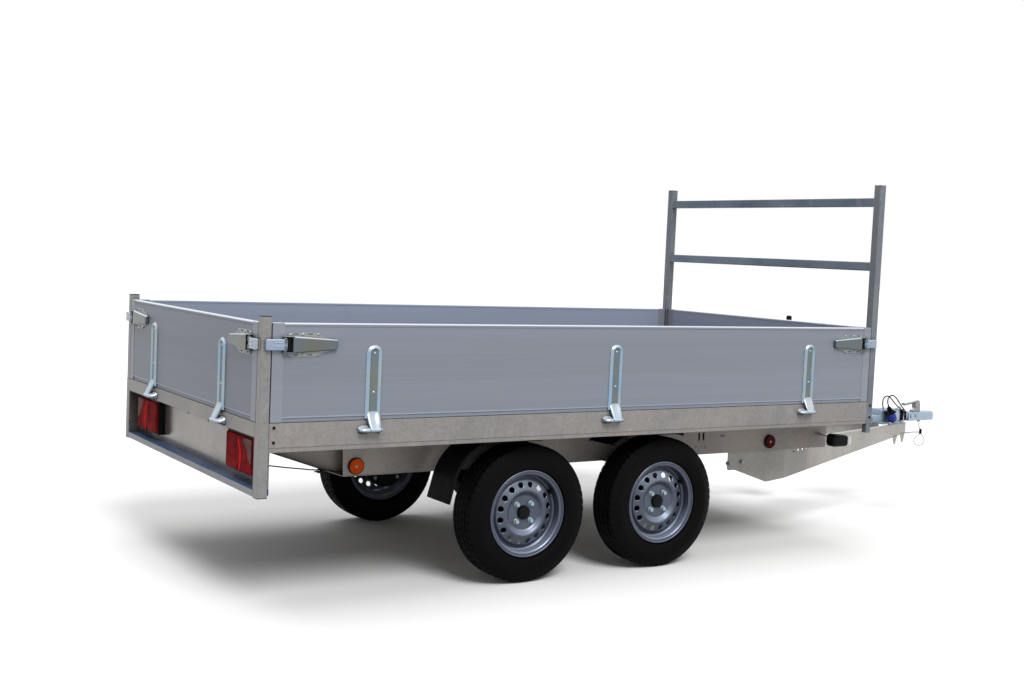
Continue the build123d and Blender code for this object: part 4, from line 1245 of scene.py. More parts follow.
@dataclass
class DrawbarCables:
    """The plug on its lead, the supply lead, the breakaway cable and its crimp."""

    origin: Point3 = (0.89625, 0.0, 0.478)
    lead: float = 0.007
    cable: float = 0.0035
    strand: float = 0.003
    plug_foot: Point3 = (1.88825, -0.074, 0.497)
    plug_way: Point3 = (-0.4392, 0.0, 0.8984)
    plug_top: Point3 = (0.951593, -0.074, 0.101651)
    body_radius: float = 0.027
    body_length: float = 0.046
    ring_radius: float = 0.031
    ring_length: float = 0.012
    gland_radius: float = 0.013
    gland_length: float = 0.034
    crimp: Point3 = (2.19225, -0.0277, 0.399)
    crimp_radius: float = 0.006
    crimp_half: float = 0.003
    crimp_height: float = 0.030
    strand_start: tuple[float, float] = (2.12025, 0.406)
    strand_stop: tuple[float, float] = (2.18475, 0.4105)

    PLUG_ROUTE = (
        (1.156, -0.029, 0.042), (1.146, -0.040, 0.050), (1.130, -0.051, 0.060),
        (1.106, -0.052, 0.079), (1.083, -0.053, 0.099), (1.060, -0.055, 0.120),
        (1.036, -0.058, 0.141), (1.010, -0.062, 0.157), (0.9824, -0.066, 0.1625),
        (0.961, -0.069, 0.1575), (0.946, -0.071, 0.142), (0.9425, -0.073, 0.1205),
    )
    SUPPLY_ROUTE = (
        (0.970, -0.022, 0.075), (0.962, -0.023, 0.095), (0.957, -0.025, 0.115),
        (0.956, -0.027, 0.1347), (0.9659, -0.029, 0.149), (0.9821, -0.032, 0.1552),
        (0.999, -0.036, 0.1512), (1.016, -0.040, 0.134), (1.034, -0.045, 0.114),
        (1.058, -0.049, 0.095), (1.085, -0.051, 0.077), (1.110, -0.052, 0.061),
        (1.132, -0.051, 0.044), (1.146, -0.040, 0.035), (1.156, -0.029, 0.028),
    )
    BREAKAWAY_ROUTE = (
        (1.294, 0.0022, 0.004), (1.2925, -0.0073, -0.0113), (1.293, -0.0167, -0.0276),
        (1.2922, -0.0255, -0.0469), (1.3012, -0.0255, -0.0688), (1.3162, -0.0256, -0.0877),
        (1.3311, -0.0260, -0.1047), (1.3381, -0.0263, -0.1236), (1.3281, -0.0268, -0.1395),
        (1.3092, -0.0272, -0.1464), (1.2862, -0.0277, -0.1474), (1.2643, -0.0281, -0.1424),
        (1.2463, -0.0286, -0.1305), (1.2393, -0.0290, -0.1136), (1.2483, -0.0294, -0.1006),
        (1.2653, -0.0297, -0.0927), (1.2812, -0.0299, -0.0847), (1.2942, -0.0299, -0.0708),
    )

    def build_plug(self) -> list[Piece]:
        """Make the plug: a ribbed blue body, a winged black ring and a domed gland."""
        axis = frame_at(self.plug_foot, (0, -1, 0), Vector(self.plug_way).cross((0, -1, 0)))
        blue = Shell(axis)
        radius, length = self.body_radius, self.body_length
        ribs = 24
        rows = []
        for share, size in ((0, 0.86), (0.06, 0.93), (0.12, 0.95), (0.2, 1.0), (0.62, 1.0),
                            (0.70, 0.93), (1.0, 0.86)):
            loop = []
            for index in range(ribs * 4):
                angle = 2 * math.pi * index / (ribs * 4)
                deep = 0.045 if 0.15 < share < 0.65 and index % 4 in (0, 1) else 0.0
                reach = radius * size * (1 - deep)
                loop.append((reach * math.cos(angle), reach * math.sin(angle), length * share))
            rows.append(loop)
        blue.loft(rows)
        blue.box((0.012, 0.026), (-0.008, 0.008), (0.002, 0.014), 0.0015)
        body = blue.piece("plug_body", CHASSIS, BLUE, ("drawbar_plug",))
        black = Shell(axis)
        at = shift(0, 0, length)
        ring = self.ring_radius
        grooves = [(0.0, 0.80), (0.001, 0.84), (0.0055, 0.86), (0.0065, 0.80), (0.011, 0.78),
                   (0.012, 0.70)]
        black.lathe([(0, 0), *((ring * share, h) for h, share in grooves), (0, 0.012)], at, 48)
        for turn in (0.35, 0.35 + math.pi, 1.95, 1.95 + math.pi):
            wing = Matrix.Rotation(turn, 4, "Z") @ shift(ring * 0.82, 0, 0.006)
            black.loft([[(x, sy * w, sz * t) for sy, sz in ((1, 1), (-1, 1), (-1, -1), (1, -1))]
                        for x, w, t in ((-0.004, 0.0075, 0.0050), (0.0060, 0.0050, 0.0042),
                                        (0.0105, 0.0022, 0.0020))],
                       at @ wing, edge=0.0008)
        top = at @ shift(0, 0, self.ring_length)
        bulb, tall = self.gland_radius, self.gland_length
        dome = [(0.56, 0.0), (0.62, 0.05), (0.55, 0.12), (0.70, 0.19), (0.92, 0.30), (1.0, 0.45),
                (0.98, 0.58), (0.84, 0.72), (0.60, 0.82), (0.40, 0.88), (0.34, 1.0)]
        black.lathe([(0, 0), *((bulb * r, tall * h) for r, h in dome), (0, tall)], top, 32)
        for index in range(10):
            turn = spin(index / 10)
            black.box((0.0105, 0.0134), (-0.0016, 0.0016), (0.011, 0.021), 0.0007, 2, top @ turn)
        return [body, black.piece("plug_ring_and_gland", CHASSIS, SOFT_RUBBER)]

    def build_crimp(self) -> Piece:
        """Make the pressed crimp that the cable and the strands meet in."""
        shell = Shell(Matrix.Translation(self.crimp))
        rows = []
        for share, size in ((0, 0.86), (0.04, 1.0), (0.26, 1.0), (0.32, 0.88), (0.40, 0.88),
                            (0.46, 1.0), (0.62, 1.0), (0.68, 0.88), (0.76, 0.88), (0.82, 1.0),
                            (0.96, 1.0), (1.0, 0.86)):
            radius = self.crimp_radius * size
            loop = []
            for centre, turn in ((self.crimp_half, -90), (-self.crimp_half, 90)):
                loop += [(x, y, self.crimp_height * share)
                         for x, y in arc((centre, 0), radius, turn, turn + 180, 10)]
            rows.append(loop)
        shell.loft(rows)
        return shell.piece("cable_crimp", CHASSIS, SOFT_RUBBER, ("breakaway_ferrule",))

    def build(self) -> None:
        """Make the cables."""
        plug = self.build_plug()
        crimp = self.build_crimp()
        Cord("plug_lead_cable", "plug_lead", self.origin, (*self.PLUG_ROUTE, self.plug_top),
             self.lead, 0.306, "plug", JACKET).build(plug)
        Cord("supply_lead_cable", "supply_lead", self.origin, self.SUPPLY_ROUTE, self.lead,
             0.322, "object", JACKET).build()
        Cord("breakaway_steel_cable", "breakaway_cable", self.origin, self.BREAKAWAY_ROUTE,
             self.cable, 0.339, "fitting", WIRE, "stiff", "hanging").build([crimp])
        for name, way in (("upper", 1), ("lower", -1)):
            start = Vector((self.strand_start[0], 0.0018 * way, self.strand_start[1] + 0.002 * way))
            stop = Vector((self.strand_stop[0], self.crimp[1] + 0.0018 * way,
                           self.strand_stop[1] + 0.0035 * way))
            run = stop - start
            route = tuple(tuple(run * share) for share in (0, 0.34, 0.67, 1))
            Cord(f"breakaway_strand_{name}", "breakaway_strands", tuple(start), route, self.strand,
                 run.length, "object", WIRE, "stiff", "taut").build()


# ================================================================ boards
@dataclass(frozen=True)
class BedEdge:
    """One edge of the bed: a frame whose x runs along it, y up and z outward."""

    board: str
    middle: Point2
    along: Point3
    half: float
    straps: tuple[float, ...]

    @property
    def face(self) -> Matrix:
        """Give the frame on the edge's outer face, at ground level."""
        return frame_at((*self.middle, 0.0), self.along, (0, 0, 1))

    def section(self, place: float) -> Matrix:
        """Give a frame across the edge: x outward, y up, z back along it."""
        out = self.face.to_3x3() @ Vector((0, 0, 1))
        origin = self.face @ Vector((place, 0, 0))
        return frame_at(origin, out, (0, 0, 1))


def bed_edges(p: Layout) -> list[BedEdge]:
    """Give the bed's four edges."""
    half_length = (p.bed_front - p.rear_face) / 2
    side = half_length - 0.449
    end = p.half_width - 0.385
    return [
        BedEdge("right_side_board", (p.bed_middle, -p.half_width), (1, 0, 0), half_length,
                (-side, 0.0, side)),
        BedEdge("left_side_board", (p.bed_middle, p.half_width), (-1, 0, 0), half_length,
                (-side, 0.0, side)),
        BedEdge("tailboard", (p.rear_face, 0.0), (0, -1, 0), p.half_width, (-end, end)),
        BedEdge("front_board", (p.bed_front, 0.0), (0, 1, 0), p.half_width, (-end, end)),
    ]


@dataclass
class Board:
    """A drop side: a drawn plank with a rounded top, a bottom lip and end profiles."""

    edge: BedEdge
    p: Layout = PLACES
    groove_pitch: float = 0.0575
    groove_depth: float = 0.00025
    groove_half: float = 0.0011
    top_round: float = 0.0045
    head: float = 0.013
    lip_height: float = 0.0165
    lip_out: float = 0.0016
    foot_in: float = 0.0022
    profile_width: float = 0.046
    profile_proud: float = 0.0013

    def face_line(self, out: float, inward: int) -> list[Point2]:
        """Give one face of the plank's section, from its bottom up.

        Args:
            out: How far out the face stands.
            inward: The way to the plank's middle, 1 or -1.

        Returns:
            Points as (out, height).
        """
        low, high = self.p.board_bottom, self.p.board_top
        foot = out + inward * self.foot_in
        lip = out - inward * self.lip_out
        line = [(foot, low), (foot, low + self.lip_height - 0.002),
                (lip, low + self.lip_height - 0.0012), (lip, low + self.lip_height + 0.0022),
                (out, low + self.lip_height + 0.0042)]
        height = low + self.groove_pitch
        while height < high - self.head - 0.012:
            deep = out + inward * self.groove_depth
            line += [(out, height - self.groove_half), (deep, height),
                     (out, height + self.groove_half)]
            height += self.groove_pitch
        notch = out + inward * 0.0011
        bead = high - self.head
        line += [(out, bead - 0.0012), (notch, bead - 0.0006), (notch, bead + 0.0004),
                 (out, bead + 0.0012)]
        return line

    def outline(self) -> list[Point2]:
        """Give the plank's whole section as (out, height)."""
        p = self.p
        outer = -p.board_inset
        inner = outer - p.board_thickness
        top = p.board_top
        r = self.top_round
        crown = arc((outer - r, top - r), r, 0, 90, 6) + arc((inner + r, top - r), r, 90, 180, 6)
        return self.face_line(outer, -1) + crown + self.face_line(inner, 1)[::-1]

    def face_plank(self, plank: Piece) -> None:
        """Paint sky reflection on the plank's inside and lip, and a highlight on its top edge.

        Args:
            plank: The plank's piece.
        """
        for finish in (PLANK_INNER_SKY_REFLECTION, PLANK_EDGE_HIGHLIGHT):
            plank.data.materials.append(finish.material())
        outward = self.edge.face.to_3x3() @ Vector((0, 0, 1))
        lip = self.p.board_bottom + self.lip_height
        for polygon in plank.data.polygons:
            on_lip = abs(polygon.center.z - lip - 0.0005) < 0.0019
            # top faces get the painted highlight; the lip and inside get the painted sky reflection
            if polygon.center.z > self.p.board_top - self.top_round:
                polygon.material_index = 2
            elif on_lip or polygon.normal.dot(outward) < -0.5:
                polygon.material_index = 1

    def build(self) -> None:
        """Make the plank and its two end profiles."""
        p, edge = self.p, self.edge
        half = edge.half - p.post - p.board_gap
        shell = Shell()
        inset = self.profile_width - 0.004
        rows = [[(x, y, z) for x, y in self.outline()] for z in (0, 2 * (half - inset))]
        shell.loft(rows, edge.section(half - inset))
        # the tailboard's plank is painted in shade
        finish = SHADED_REAR_PLANK if edge.board == "tailboard" else PLANK
        self.face_plank(shell.piece(f"{edge.board}_plank", edge.board, finish, (edge.board,)))
        caps = Shell(edge.face)
        proud = self.profile_proud
        outer = -p.board_inset + proud
        inner = -p.board_inset - p.board_thickness - proud
        for end in (-1, 1):
            x = sorted((end * half, end * (half - self.profile_width)))
            caps.box(tuple(x), (p.board_bottom, p.board_top), (inner, outer), 0.0012, 3)
            seam = end * (half - self.profile_width * 0.5)
            for height in (0.020, 0.180, p.board_height - 0.022):
                at = facing((0, 0, 0), (0, 0, 1))
                spot = shift(seam, p.board_bottom + height, outer)
                caps.rivet(spot @ at, 0.0034, 0.0012)
        ends = caps.piece(f"{edge.board}_end_profiles", edge.board, PLANK_END)
        # the end profiles' top faces get the painted highlight too
        ends.data.materials.append(PLANK_EDGE_HIGHLIGHT.material())
        for polygon in ends.data.polygons:
            if polygon.normal.z > 0.5 and polygon.center.z > p.board_top - 0.002:
                polygon.material_index = 1


@dataclass
class HingeStraps:
    """Pressed zinc straps: two raised legs joined by an arch, on a flared foot."""

    edge: BedEdge
    p: Layout = PLACES
    width: float = 0.066
    bottom: float = 0.721
    top: float = 0.995
    rib: float = 0.0088
    knuckle: float = 0.0075
    knuckle_width: float = 0.042
    lug_gap: float = 0.001
    lug_length: float = 0.040
    lug_stub: float = 0.010

    def ring(self, inset: float, out: float) -> list[Point3]:
        """Give a loop round the strap at some way in from its edge.

        Args:
            inset: How far in from the edge.
            out: How far out from the board's face.

        Returns:
            Points from the foot's left, over the arch and back along the foot.
        """
        half = self.width / 2 - inset
        spring = self.top - self.width / 2
        foot = self.bottom + inset * 0.25
        sides = 7
        left = [(-half, foot + (spring - foot) * k / sides, out) for k in range(sides)]
        over = [(x, y, out) for x, y in arc((0, spring), half, 180, 0, 20)]
        right = [(half, foot + (spring - foot) * (sides - 1 - k) / sides, out)
                 for k in range(sides)]
        return left + over + right

    def add_strap(self, shell: Shell, place: float) -> None:
        """Add one strap with its rivets; add_foot adds its foot."""
        back = -self.p.board_inset
        rib = self.rib
        section = [(0.0, 0.0), (0.0, 0.0022), (0.0012, 0.0034), (0.0034, 0.0044), (0.0052, 0.0068),
                   (0.0072, rib * 0.97), (0.0098, rib), (0.0122, rib * 0.96), (0.0142, 0.0068),
                   (0.0160, 0.0040), (0.0180, 0.0026), (0.0200, 0.0022)]
        rows = [self.ring(inset, back + out) for inset, out in section]
        at = shift(place, 0, 0)
        shell.loft(rows, at)
        for height in (self.top - 0.030, self.bottom + 0.098):
            spot = shift(place, height, back + 0.0021)
            shell.lathe([(0, 0), (0.0082, 0), (0.0082, 0.0010), (0, 0.0010)], spot, 24)
            shell.rivet(spot @ shift(0, 0, 0.001), 0.0058, 0.0030)

    def add_foot(self, shell: Shell, place: float) -> None:
        """Add the foot that carries the legs out over the rail to the knuckle."""
        pivot = self.p.hinge_standoff
        height = self.p.hinge_height
        stations = (
            # out, height, thickness, width, depth of the middle, lean
            (0.0015, 0.7480, 0.0060, 0.0500, 0.0030, 90),
            (0.0030, 0.7400, 0.0080, 0.0520, 0.0034, 84),
            (0.0070, 0.7310, 0.0090, 0.0530, 0.0036, 72),
            (0.0120, 0.7205, 0.0090, 0.0520, 0.0034, 64),
            (0.0185, 0.7080, 0.0080, 0.0500, 0.0028, 64),
            (0.0245, 0.6960, 0.0070, 0.0460, 0.0016, 72),
            (pivot + 0.0015, height + 0.005, 0.0065, self.knuckle_width, 0.0006, 84),
        )
        rows = []
        for out, up, thick, width, sunk, lean in stations:
            a = math.radians(lean)
            normal = Vector((math.sin(a), math.cos(a)))
            front = []
            for share in (-0.5, -0.44, -0.30, -0.16, 0.16, 0.30, 0.44, 0.5):
                drop = {0.5: thick * 0.42, 0.44: 0.0008, 0.30: 0.0, 0.16: sunk}[abs(share)]
                face = Vector((out, up)) + normal * (thick / 2 - drop)
                front.append((share * width, face.y, face.x))
            rear = [(share * width, (Vector((out, up)) - normal * thick / 2).y,
                     (Vector((out, up)) - normal * thick / 2).x) for share in (0.5, -0.5)]
            rows.append(front + rear)
        shell.loft(rows, shift(place, 0, 0))
        barrel = self.edge_barrel(place)
        r, half = self.knuckle, self.knuckle_width / 2
        profile = [(0, -half), (r * 0.84, -half), (r, -half + 0.0014), (r, -0.004),
                   (r * 0.93, -0.003), (r * 0.93, 0.003), (r, 0.004), (r, half - 0.0014),
                   (r * 0.84, half), (0, half)]
        shell.lathe(profile, barrel, 28)

    def edge_barrel(self, place: float) -> Matrix:
        """Give the frame at a strap's pivot whose z runs along the pin."""
        origin = Vector((place, self.p.hinge_height, self.p.hinge_standoff))
        return Matrix.Translation(origin) @ Matrix.Rotation(math.pi / 2, 4, "Y")

    def add_lugs(self, shell: Shell, place: float) -> None:
        """Add the rail's lugs beside a strap: one long and pointed, one short."""
        height, out = self.p.hinge_height, self.p.hinge_standoff
        long_side = -1 if self.edge.board == "right_side_board" else 1
        for way in (-1, 1):
            length = self.lug_length if way == long_side else self.lug_stub
            rows = []
            for share, size, nose in ((0.0, 0.88, 0.94), (0.05, 1.0, 1.0), (0.45, 0.98, 0.96),
                                      (0.72, 0.90, 0.84), (0.90, 0.70, 0.62), (1.0, 0.45, 0.40)):
                x = place + way * (self.knuckle_width / 2 + self.lug_gap + share * length)
                reach = out * (0.42 + 0.58 * nose)
                round_nose = arc((reach, height), self.knuckle * nose, -68, 68, 8)
                foot = 0.0165 * size
                base = [(0.0004, height + foot), (0.0004, height - foot)]
                low = [(0.004, height - foot), (0.010, height - foot * 0.72)]
                high = [(0.010, height + foot * 0.72), (0.004, height + foot)]
                rows.append([(x, up, way_out) for way_out, up in (*low, *round_nose, *high, *base)])
            shell.loft(rows, edge=0.0006)
            head = self.edge_barrel(place)
            far = self.knuckle_width / 2 + self.lug_gap + length * 0.55
            turn = Matrix.Rotation(0 if way > 0 else math.pi, 4, "X")
            shell.rivet(head @ turn @ shift(0, 0, far), 0.0058, 0.0035)

    def build(self, lugs: Shell) -> None:
        """Make the straps and add the rail's lugs beside them.

        Args:
            lugs: The shell of all the rails' lugs.
        """
        straps = Shell(self.edge.face)
        for place in self.edge.straps:
            self.add_strap(straps, place)
            self.add_foot(straps, place)
        straps.piece(f"{self.edge.board}_hinge_straps", self.edge.board, ZINC,
                     (f"{self.edge.board}_fittings",))
        webs = Shell(self.edge.face)
        for place in self.edge.straps:
            web = [(x, y) for x, y, _ in self.ring(0.0172, 0.0)]
            level = shift(place, 0, -self.p.board_inset + 0.0020)
            webs.prism(web[::-1], 0.0014, level, 0.0004)
        webs.piece(f"{self.edge.board}_strap_webs", self.edge.board, WEB_ZINC)
        lugs.base = self.edge.face
        for place in self.edge.straps:
            self.add_lugs(lugs, place)


@dataclass
class Latches:
    """Over-centre latches: a riveted plate, a folded lever and a link over the post."""

    edge: BedEdge
    p: Layout = PLACES
    plate: Span = (0.100, 0.236)
    plate_height: float = 0.088
    lever: Span = (0.116, 0.292)
    lever_height: float = 0.062
    tip_height: float = 0.036
    lever_depth: float = 0.0135
    link: Span = (0.012, 0.100)
    link_height: float = 0.040
    link_out: Span = (0.0108, 0.0158)
    pin_at: float = 0.086

    def corner(self, end: int) -> Matrix:
        """Give a latch's frame: x inward from the corner, y up, z out from the board."""
        at_end = shift(end * self.edge.half, self.p.latch_height, 0)
        return self.edge.face @ at_end @ Matrix.Scale(-end, 4, Vector((1, 0, 0)))

    def add_plate(self, shell: Shell) -> None:
        """Add the base plate with its slots and rivets."""
        low, high = self.plate
        half = self.plate_height / 2
        back = -self.p.board_inset
        tail = high + 0.028
        outline = softened([(low, -half * 0.86), (low + 0.020, -half), (high - 0.030, -half),
                            (high, -half * 0.70), (tail, -half * 0.52), (tail, half * 0.52),
                            (high, half * 0.70), (high - 0.030, half), (low + 0.020, half),
                            (low, half * 0.86)], 0.006)
        slots = []
        for y in (-0.0372, 0.0372):
            for x in (low + 0.030, low + 0.086):
                slots.append([(x + dx, y + dy) for dx, dy in rounded_outline(0.020, 0.0062, 0.003)])
        shell.prism(outline, 0.0026, shift(0, 0, back), 0.0006, 2, slots)
        for x, y in ((low + 0.010, -0.0345), (low + 0.058, -0.0365), (low + 0.058, 0.0365),
                     (low + 0.010, 0.0345), (high - 0.018, 0.0370), (high - 0.018, -0.0370)):
            shell.rivet(shift(x, y, back + 0.0026), 0.0048, 0.0026)

    def add_lever(self, shell: Shell) -> None:
        """Add the tapered lever, folded down along its top and bottom."""
        low, high = self.lever
        back = -self.p.board_inset + 0.0034
        rows = []
        for share, rise, thin in ((0.0, 0.0, 1.0), (0.04, 0.0005, 1.0), (0.35, 0.0005, 1.0),
                                  (0.93, 0.0, 1.0), (0.985, -0.0006, 0.96), (1.0, -0.0030, 0.88)):
            x = low + (high - low) * share
            half = (self.lever_height + (self.tip_height - self.lever_height) * share) / 2 * thin
            out = back + self.lever_depth + rise
            upper = [(half, back), (half, out - 0.0048), (half * 0.955, out - 0.0022),
                     (half * 0.86, out - 0.0006), (half * 0.74, out)]
            rows.append([(x, -y, z) for y, z in upper] + [(x, y, z) for y, z in upper[::-1]])
        shell.loft(rows)
        for way in (-1, 1):
            half = self.lever_height / 2 * 0.98
            ear = softened([(low + 0.006, 0), (low + 0.006, 0.0180), (self.pin_at - 0.009, 0.0180),
                            (self.pin_at - 0.009, 0)], 0.006)
            side = frame_at((0, way * half - (0.0025 if way > 0 else 0), back - 0.0020), (1, 0, 0),
                            (0, 0, 1))
            shell.prism(ear, -0.0025, side, 0.0006)
        pin = shift(self.pin_at, 0, back + 0.0100) @ Matrix.Rotation(-math.pi / 2, 4, "X")
        half = self.lever_height / 2
        shell.lathe([(0, -half - 0.002), (0.0052, -half - 0.002), (0.0056, -half + 0.001),
                     (0.0040, -half + 0.002), (0.0040, half - 0.002), (0.0056, half - 0.001),
                     (0.0052, half + 0.002), (0, half + 0.002)], pin, 20)
        for y in (-0.0145, 0.0145):
            shell.lathe([(0.0042, y - 0.0085), (0.0070, y - 0.0085), (0.0074, y - 0.0078),
                         (0.0074, y + 0.0078), (0.0070, y + 0.0085), (0.0042, y + 0.0085)],
                        pin, 24, ring=True)

    def add_link(self, shell: Shell) -> None:
        """Add the link that reaches from the lever's pin over the post's keeper."""
        start, stop = self.link
        near, far = self.link_out
        half = self.link_height / 2
        middle = (near + far) / 2
        thick = (far - near) / 2
        path = [(stop - 0.006, middle - 0.0022), (stop - 0.018, middle), (0.040, middle),
                (0.024, middle + 0.0003), (start + 0.004, middle - 0.0002),
                (start + 0.0004, middle - 0.0034)]
        rows = []
        for index, (x, out) in enumerate(path):
            low = half * (0.80 if index in (0, len(path) - 1) else 1.0)
            size = thick * (0.85 if index in (0, len(path) - 1) else 1.0)
            loop = [(x, y * low, out + z * size) for y, z in (
                (-0.86, -1), (-1.0, -0.4), (-1.0, 0.4), (-0.86, 1), (-0.5, 1.0), (-0.36, 0.55),
                (0.36, 0.55), (0.5, 1.0), (0.86, 1), (1.0, 0.4), (1.0, -0.4), (0.86, -1))]
            rows.append(loop)
        shell.loft(rows, edge=0.0006)
        for y in (-0.006, 0.008):
            bar = [(0.044, y, far - 0.0010), (0.074, y, far - 0.0010)]
            shell.tube(bar, 0.0019, 10)

    def build(self) -> None:
        """Make both latches of a board."""
        plates = Shell()
        levers = Shell()
        links = Shell()
        for end in (-1, 1):
            for shell, add in ((plates, self.add_plate), (levers, self.add_lever),
                               (links, self.add_link)):
                shell.base = self.corner(end)
                add(shell)
        links.piece(f"{self.edge.board}_latch_links", self.edge.board, LINK_ZINC)
        plates.piece(f"{self.edge.board}_latch_plates", self.edge.board, DULL_ZINC)
        # black blocks behind the levers' hinges: painted shadow in the gap round the pins
        hinge_shadow_blocks = Shell()
        back = -self.p.board_inset
        for end in (-1, 1):
            hinge_shadow_blocks.base = self.corner(end)
            hinge_shadow_blocks.box((0.0945, 0.1215), (-0.0270, 0.0270), (back + 0.0020, back + 0.0085), 0.0008)
        hinge_shadow_blocks.piece(f"{self.edge.board}_latch_bushes", self.edge.board, BLACK)
        levers.piece(f"{self.edge.board}_latch_levers", self.edge.board, LEVER_ZINC)


# ================================================================ bed frame
def across(y: float) -> Matrix:
    """Give a frame whose x and y are the trailer's X and Z, with z to the right."""
    return frame_at((0, y, 0), (1, 0, 0), (0, 0, 1))


@dataclass
class BedFrame:
    """Rails, corner posts and ladder rack, with their welds, caps and bolts."""

    p: Layout = PLACES
    wall: float = 0.003
    fold: float = 0.0024
    lip: float = 0.018
    lower_flange: float = 0.028
    rear_rail_height: float = 0.055
    upper_post: float = 0.038
    rear_post_top: float = 1.096
    keeper_height: float = 0.034
    keeper_width: float = 0.018
    keeper_depth: float = 0.005
    rack_levels: tuple[float, float] = (1.680, 1.370)
    rack_depth: float = 0.032
    rack_height: float = 0.042

    def build_side_rail(self, side: Side) -> None:
        """Make one side rail: a folded channel with a set-in bottom lip."""
        p, w = self.p, self.wall
        out, top, low = p.half_width, p.rail_top, p.rail_bottom
        toe = out - self.lower_flange
        outline = [(p.inner, top), (out, top), (out, low + self.lip), (out - w, low + self.lip),
                   (out - w, low), (toe, low), (toe, low + w), (out - 2 * w, low + w),
                   (out - 2 * w, low + self.lip + w), (out - w, low + self.lip + w),
                   (out - w, top - w), (p.inner, top - w)]
        shell = Shell(mirrored(side))
        start, stop = p.rear_face + p.post, p.bed_front - p.post
        place = frame_at((start, 0, 0), (0, 1, 0), (0, 0, 1))
        shell.prism(softened(outline, self.fold), stop - start, place)
        shell.piece(f"{side.word}_bed_rail", CHASSIS, RAIL_STEEL, (f"{side.word}_side_rail",))

    def build_end_rails(self) -> None:
        """Make the tubes across the front and the rear."""
        p = self.p
        for name, x, depth, height in (
            ("front", p.bed_front - p.post / 2, p.post, p.rail_top - p.rail_bottom),
            ("rear", p.rear_face + p.rear_frame_depth / 2, p.rear_frame_depth,
             self.rear_rail_height),
        ):
            shell = Shell()
            place = across(p.inner) @ shift(x, p.rail_top - height / 2, 0)
            shell.hollow_bar(depth, height, self.wall, 0.005, 2 * p.inner, place)
            shell.piece(f"{name}_bed_rail", CHASSIS, RAIL_STEEL, (f"{name}_rail",))

    def build_posts(self) -> None:
        """Make the corner posts with their keepers and end caps."""
        p = self.p
        rear_x, front_x = p.rear_face + p.post / 2, p.bed_front - p.post / 2
        line = p.half_width - p.post / 2
        for name, x, size, low, high, outward in (
            ("rear_lower_posts", rear_x, p.post, p.rear_frame_bottom, p.rail_top, 0),
            ("rear_upper_posts", rear_x, self.upper_post, p.rail_top, self.rear_post_top, -1),
            ("front_posts", front_x, p.post, p.rail_bottom, p.rack_top, 1),
        ):
            posts, caps = Shell(), Shell()
            for side in Side:
                y = side.value * line
                posts.base = shift(x, y, low)
                posts.hollow_bar(size, size, self.wall, 0.0045, high - low)
                caps.base = shift(x, y, high if outward else low)
                way = 1 if outward else -1
                lid, plug = ((cut - size / 2, size / 2 - cut) for cut in (0.0005, 0.0042))
                caps.box(lid, lid, (0, way * 0.0028), 0.0012, 3)
                caps.box(plug, plug, (0, -way * 0.012), 0.001)
                if outward:
                    self.add_keepers(posts, x, y, size, outward, side.value)
            steel = FRONT_POST_STEEL if name == "front_posts" else POST_STEEL
            if name == "front_posts":
                for side in Side:
                    posts.base = shift(x, side.value * (line + 0.004), low - 0.044)
                    posts.hollow_bar(size - 0.010, size - 0.012, self.wall, 0.003, 0.050)
            posts.piece(f"{name}_tubes", CHASSIS, steel, (name,))
            caps.piece(f"{name}_caps", CHASSIS, CAP)

    def add_keepers(self, shell: Shell, x: float, y: float, size: float, outward: int,
                    side: int) -> None:
        """Add the two plates that a post's latches close on."""
        shell.base = Matrix.Identity(4)
        for way, middle in (((outward, 0, 0), (x + outward * size / 2, y)),
                            ((0, side, 0), (x, y + side * size / 2))):
            place = facing((*middle, self.p.latch_height), way)
            proud = self.keeper_depth + (self.p.post - size) / 2
            half, tall = self.keeper_width / 2, self.keeper_height / 2
            shell.box((-half, half), (-tall, tall), (-0.0005, proud), 0.0016, 3, place)
            for end in (-1, 1):
                shell.rivet(place @ shift(0, end * tall * 0.62, proud), 0.0032, 0.0012)

    def build_rack(self) -> None:
        """Make the rack's two rails between the front posts."""
        p = self.p
        x = p.bed_front - p.post / 2
        for name, level in zip(("rack_top_rail", "rack_lower_rail"), self.rack_levels):
            shell = Shell(across(p.inner) @ shift(x, level, 0))
            shell.hollow_bar(self.rack_depth, self.rack_height, self.wall, 0.005, 2 * p.inner)
            shell.piece(f"{name}_tube", CHASSIS, RACK_STEEL, (name,))

    def build_welds(self) -> None:
        """Make the weld beads where rails and rack meet the posts."""
        p = self.p
        shell = Shell()
        for side in Side:
            y = side.value * p.inner
            out = side.value * (p.half_width - 0.0008)
            for number, level in enumerate(self.rack_levels):
                half, tall = self.rack_depth / 2, self.rack_height / 2
                x = p.bed_front - p.post / 2
                ring = [(x - half, y, level - tall), (x + half, y, level - tall),
                        (x + half, y, level + tall), (x - half, y, level + tall)]
                for index, corner in enumerate(ring):
                    shell.weld(corner, ring[(index + 1) % 4], 0.0026, number * 4 + index)
            for x in (p.rear_face + p.post, p.bed_front - p.post):
                shell.weld((x, out, p.rail_bottom + 0.020), (x, out, p.rail_top - 0.003), 0.0022, 7)
            for x, low in ((p.rear_face + 0.002, p.rail_top - self.rear_rail_height),
                           (p.bed_front - 0.002, p.rail_bottom)):
                shell.weld((x, y, low + 0.004), (x, y, p.rail_top - 0.004), 0.0024, 3)
            for low in (p.rear_frame_bottom + 0.003, p.rear_frame_bottom + 0.040):
                shell.weld((p.rear_face + 0.002, y, low), (p.rear_face + 0.002, y, low + 0.020),
                           0.0020, 5)
        shell.piece("frame_welds", CHASSIS, POST_STEEL, even=False)

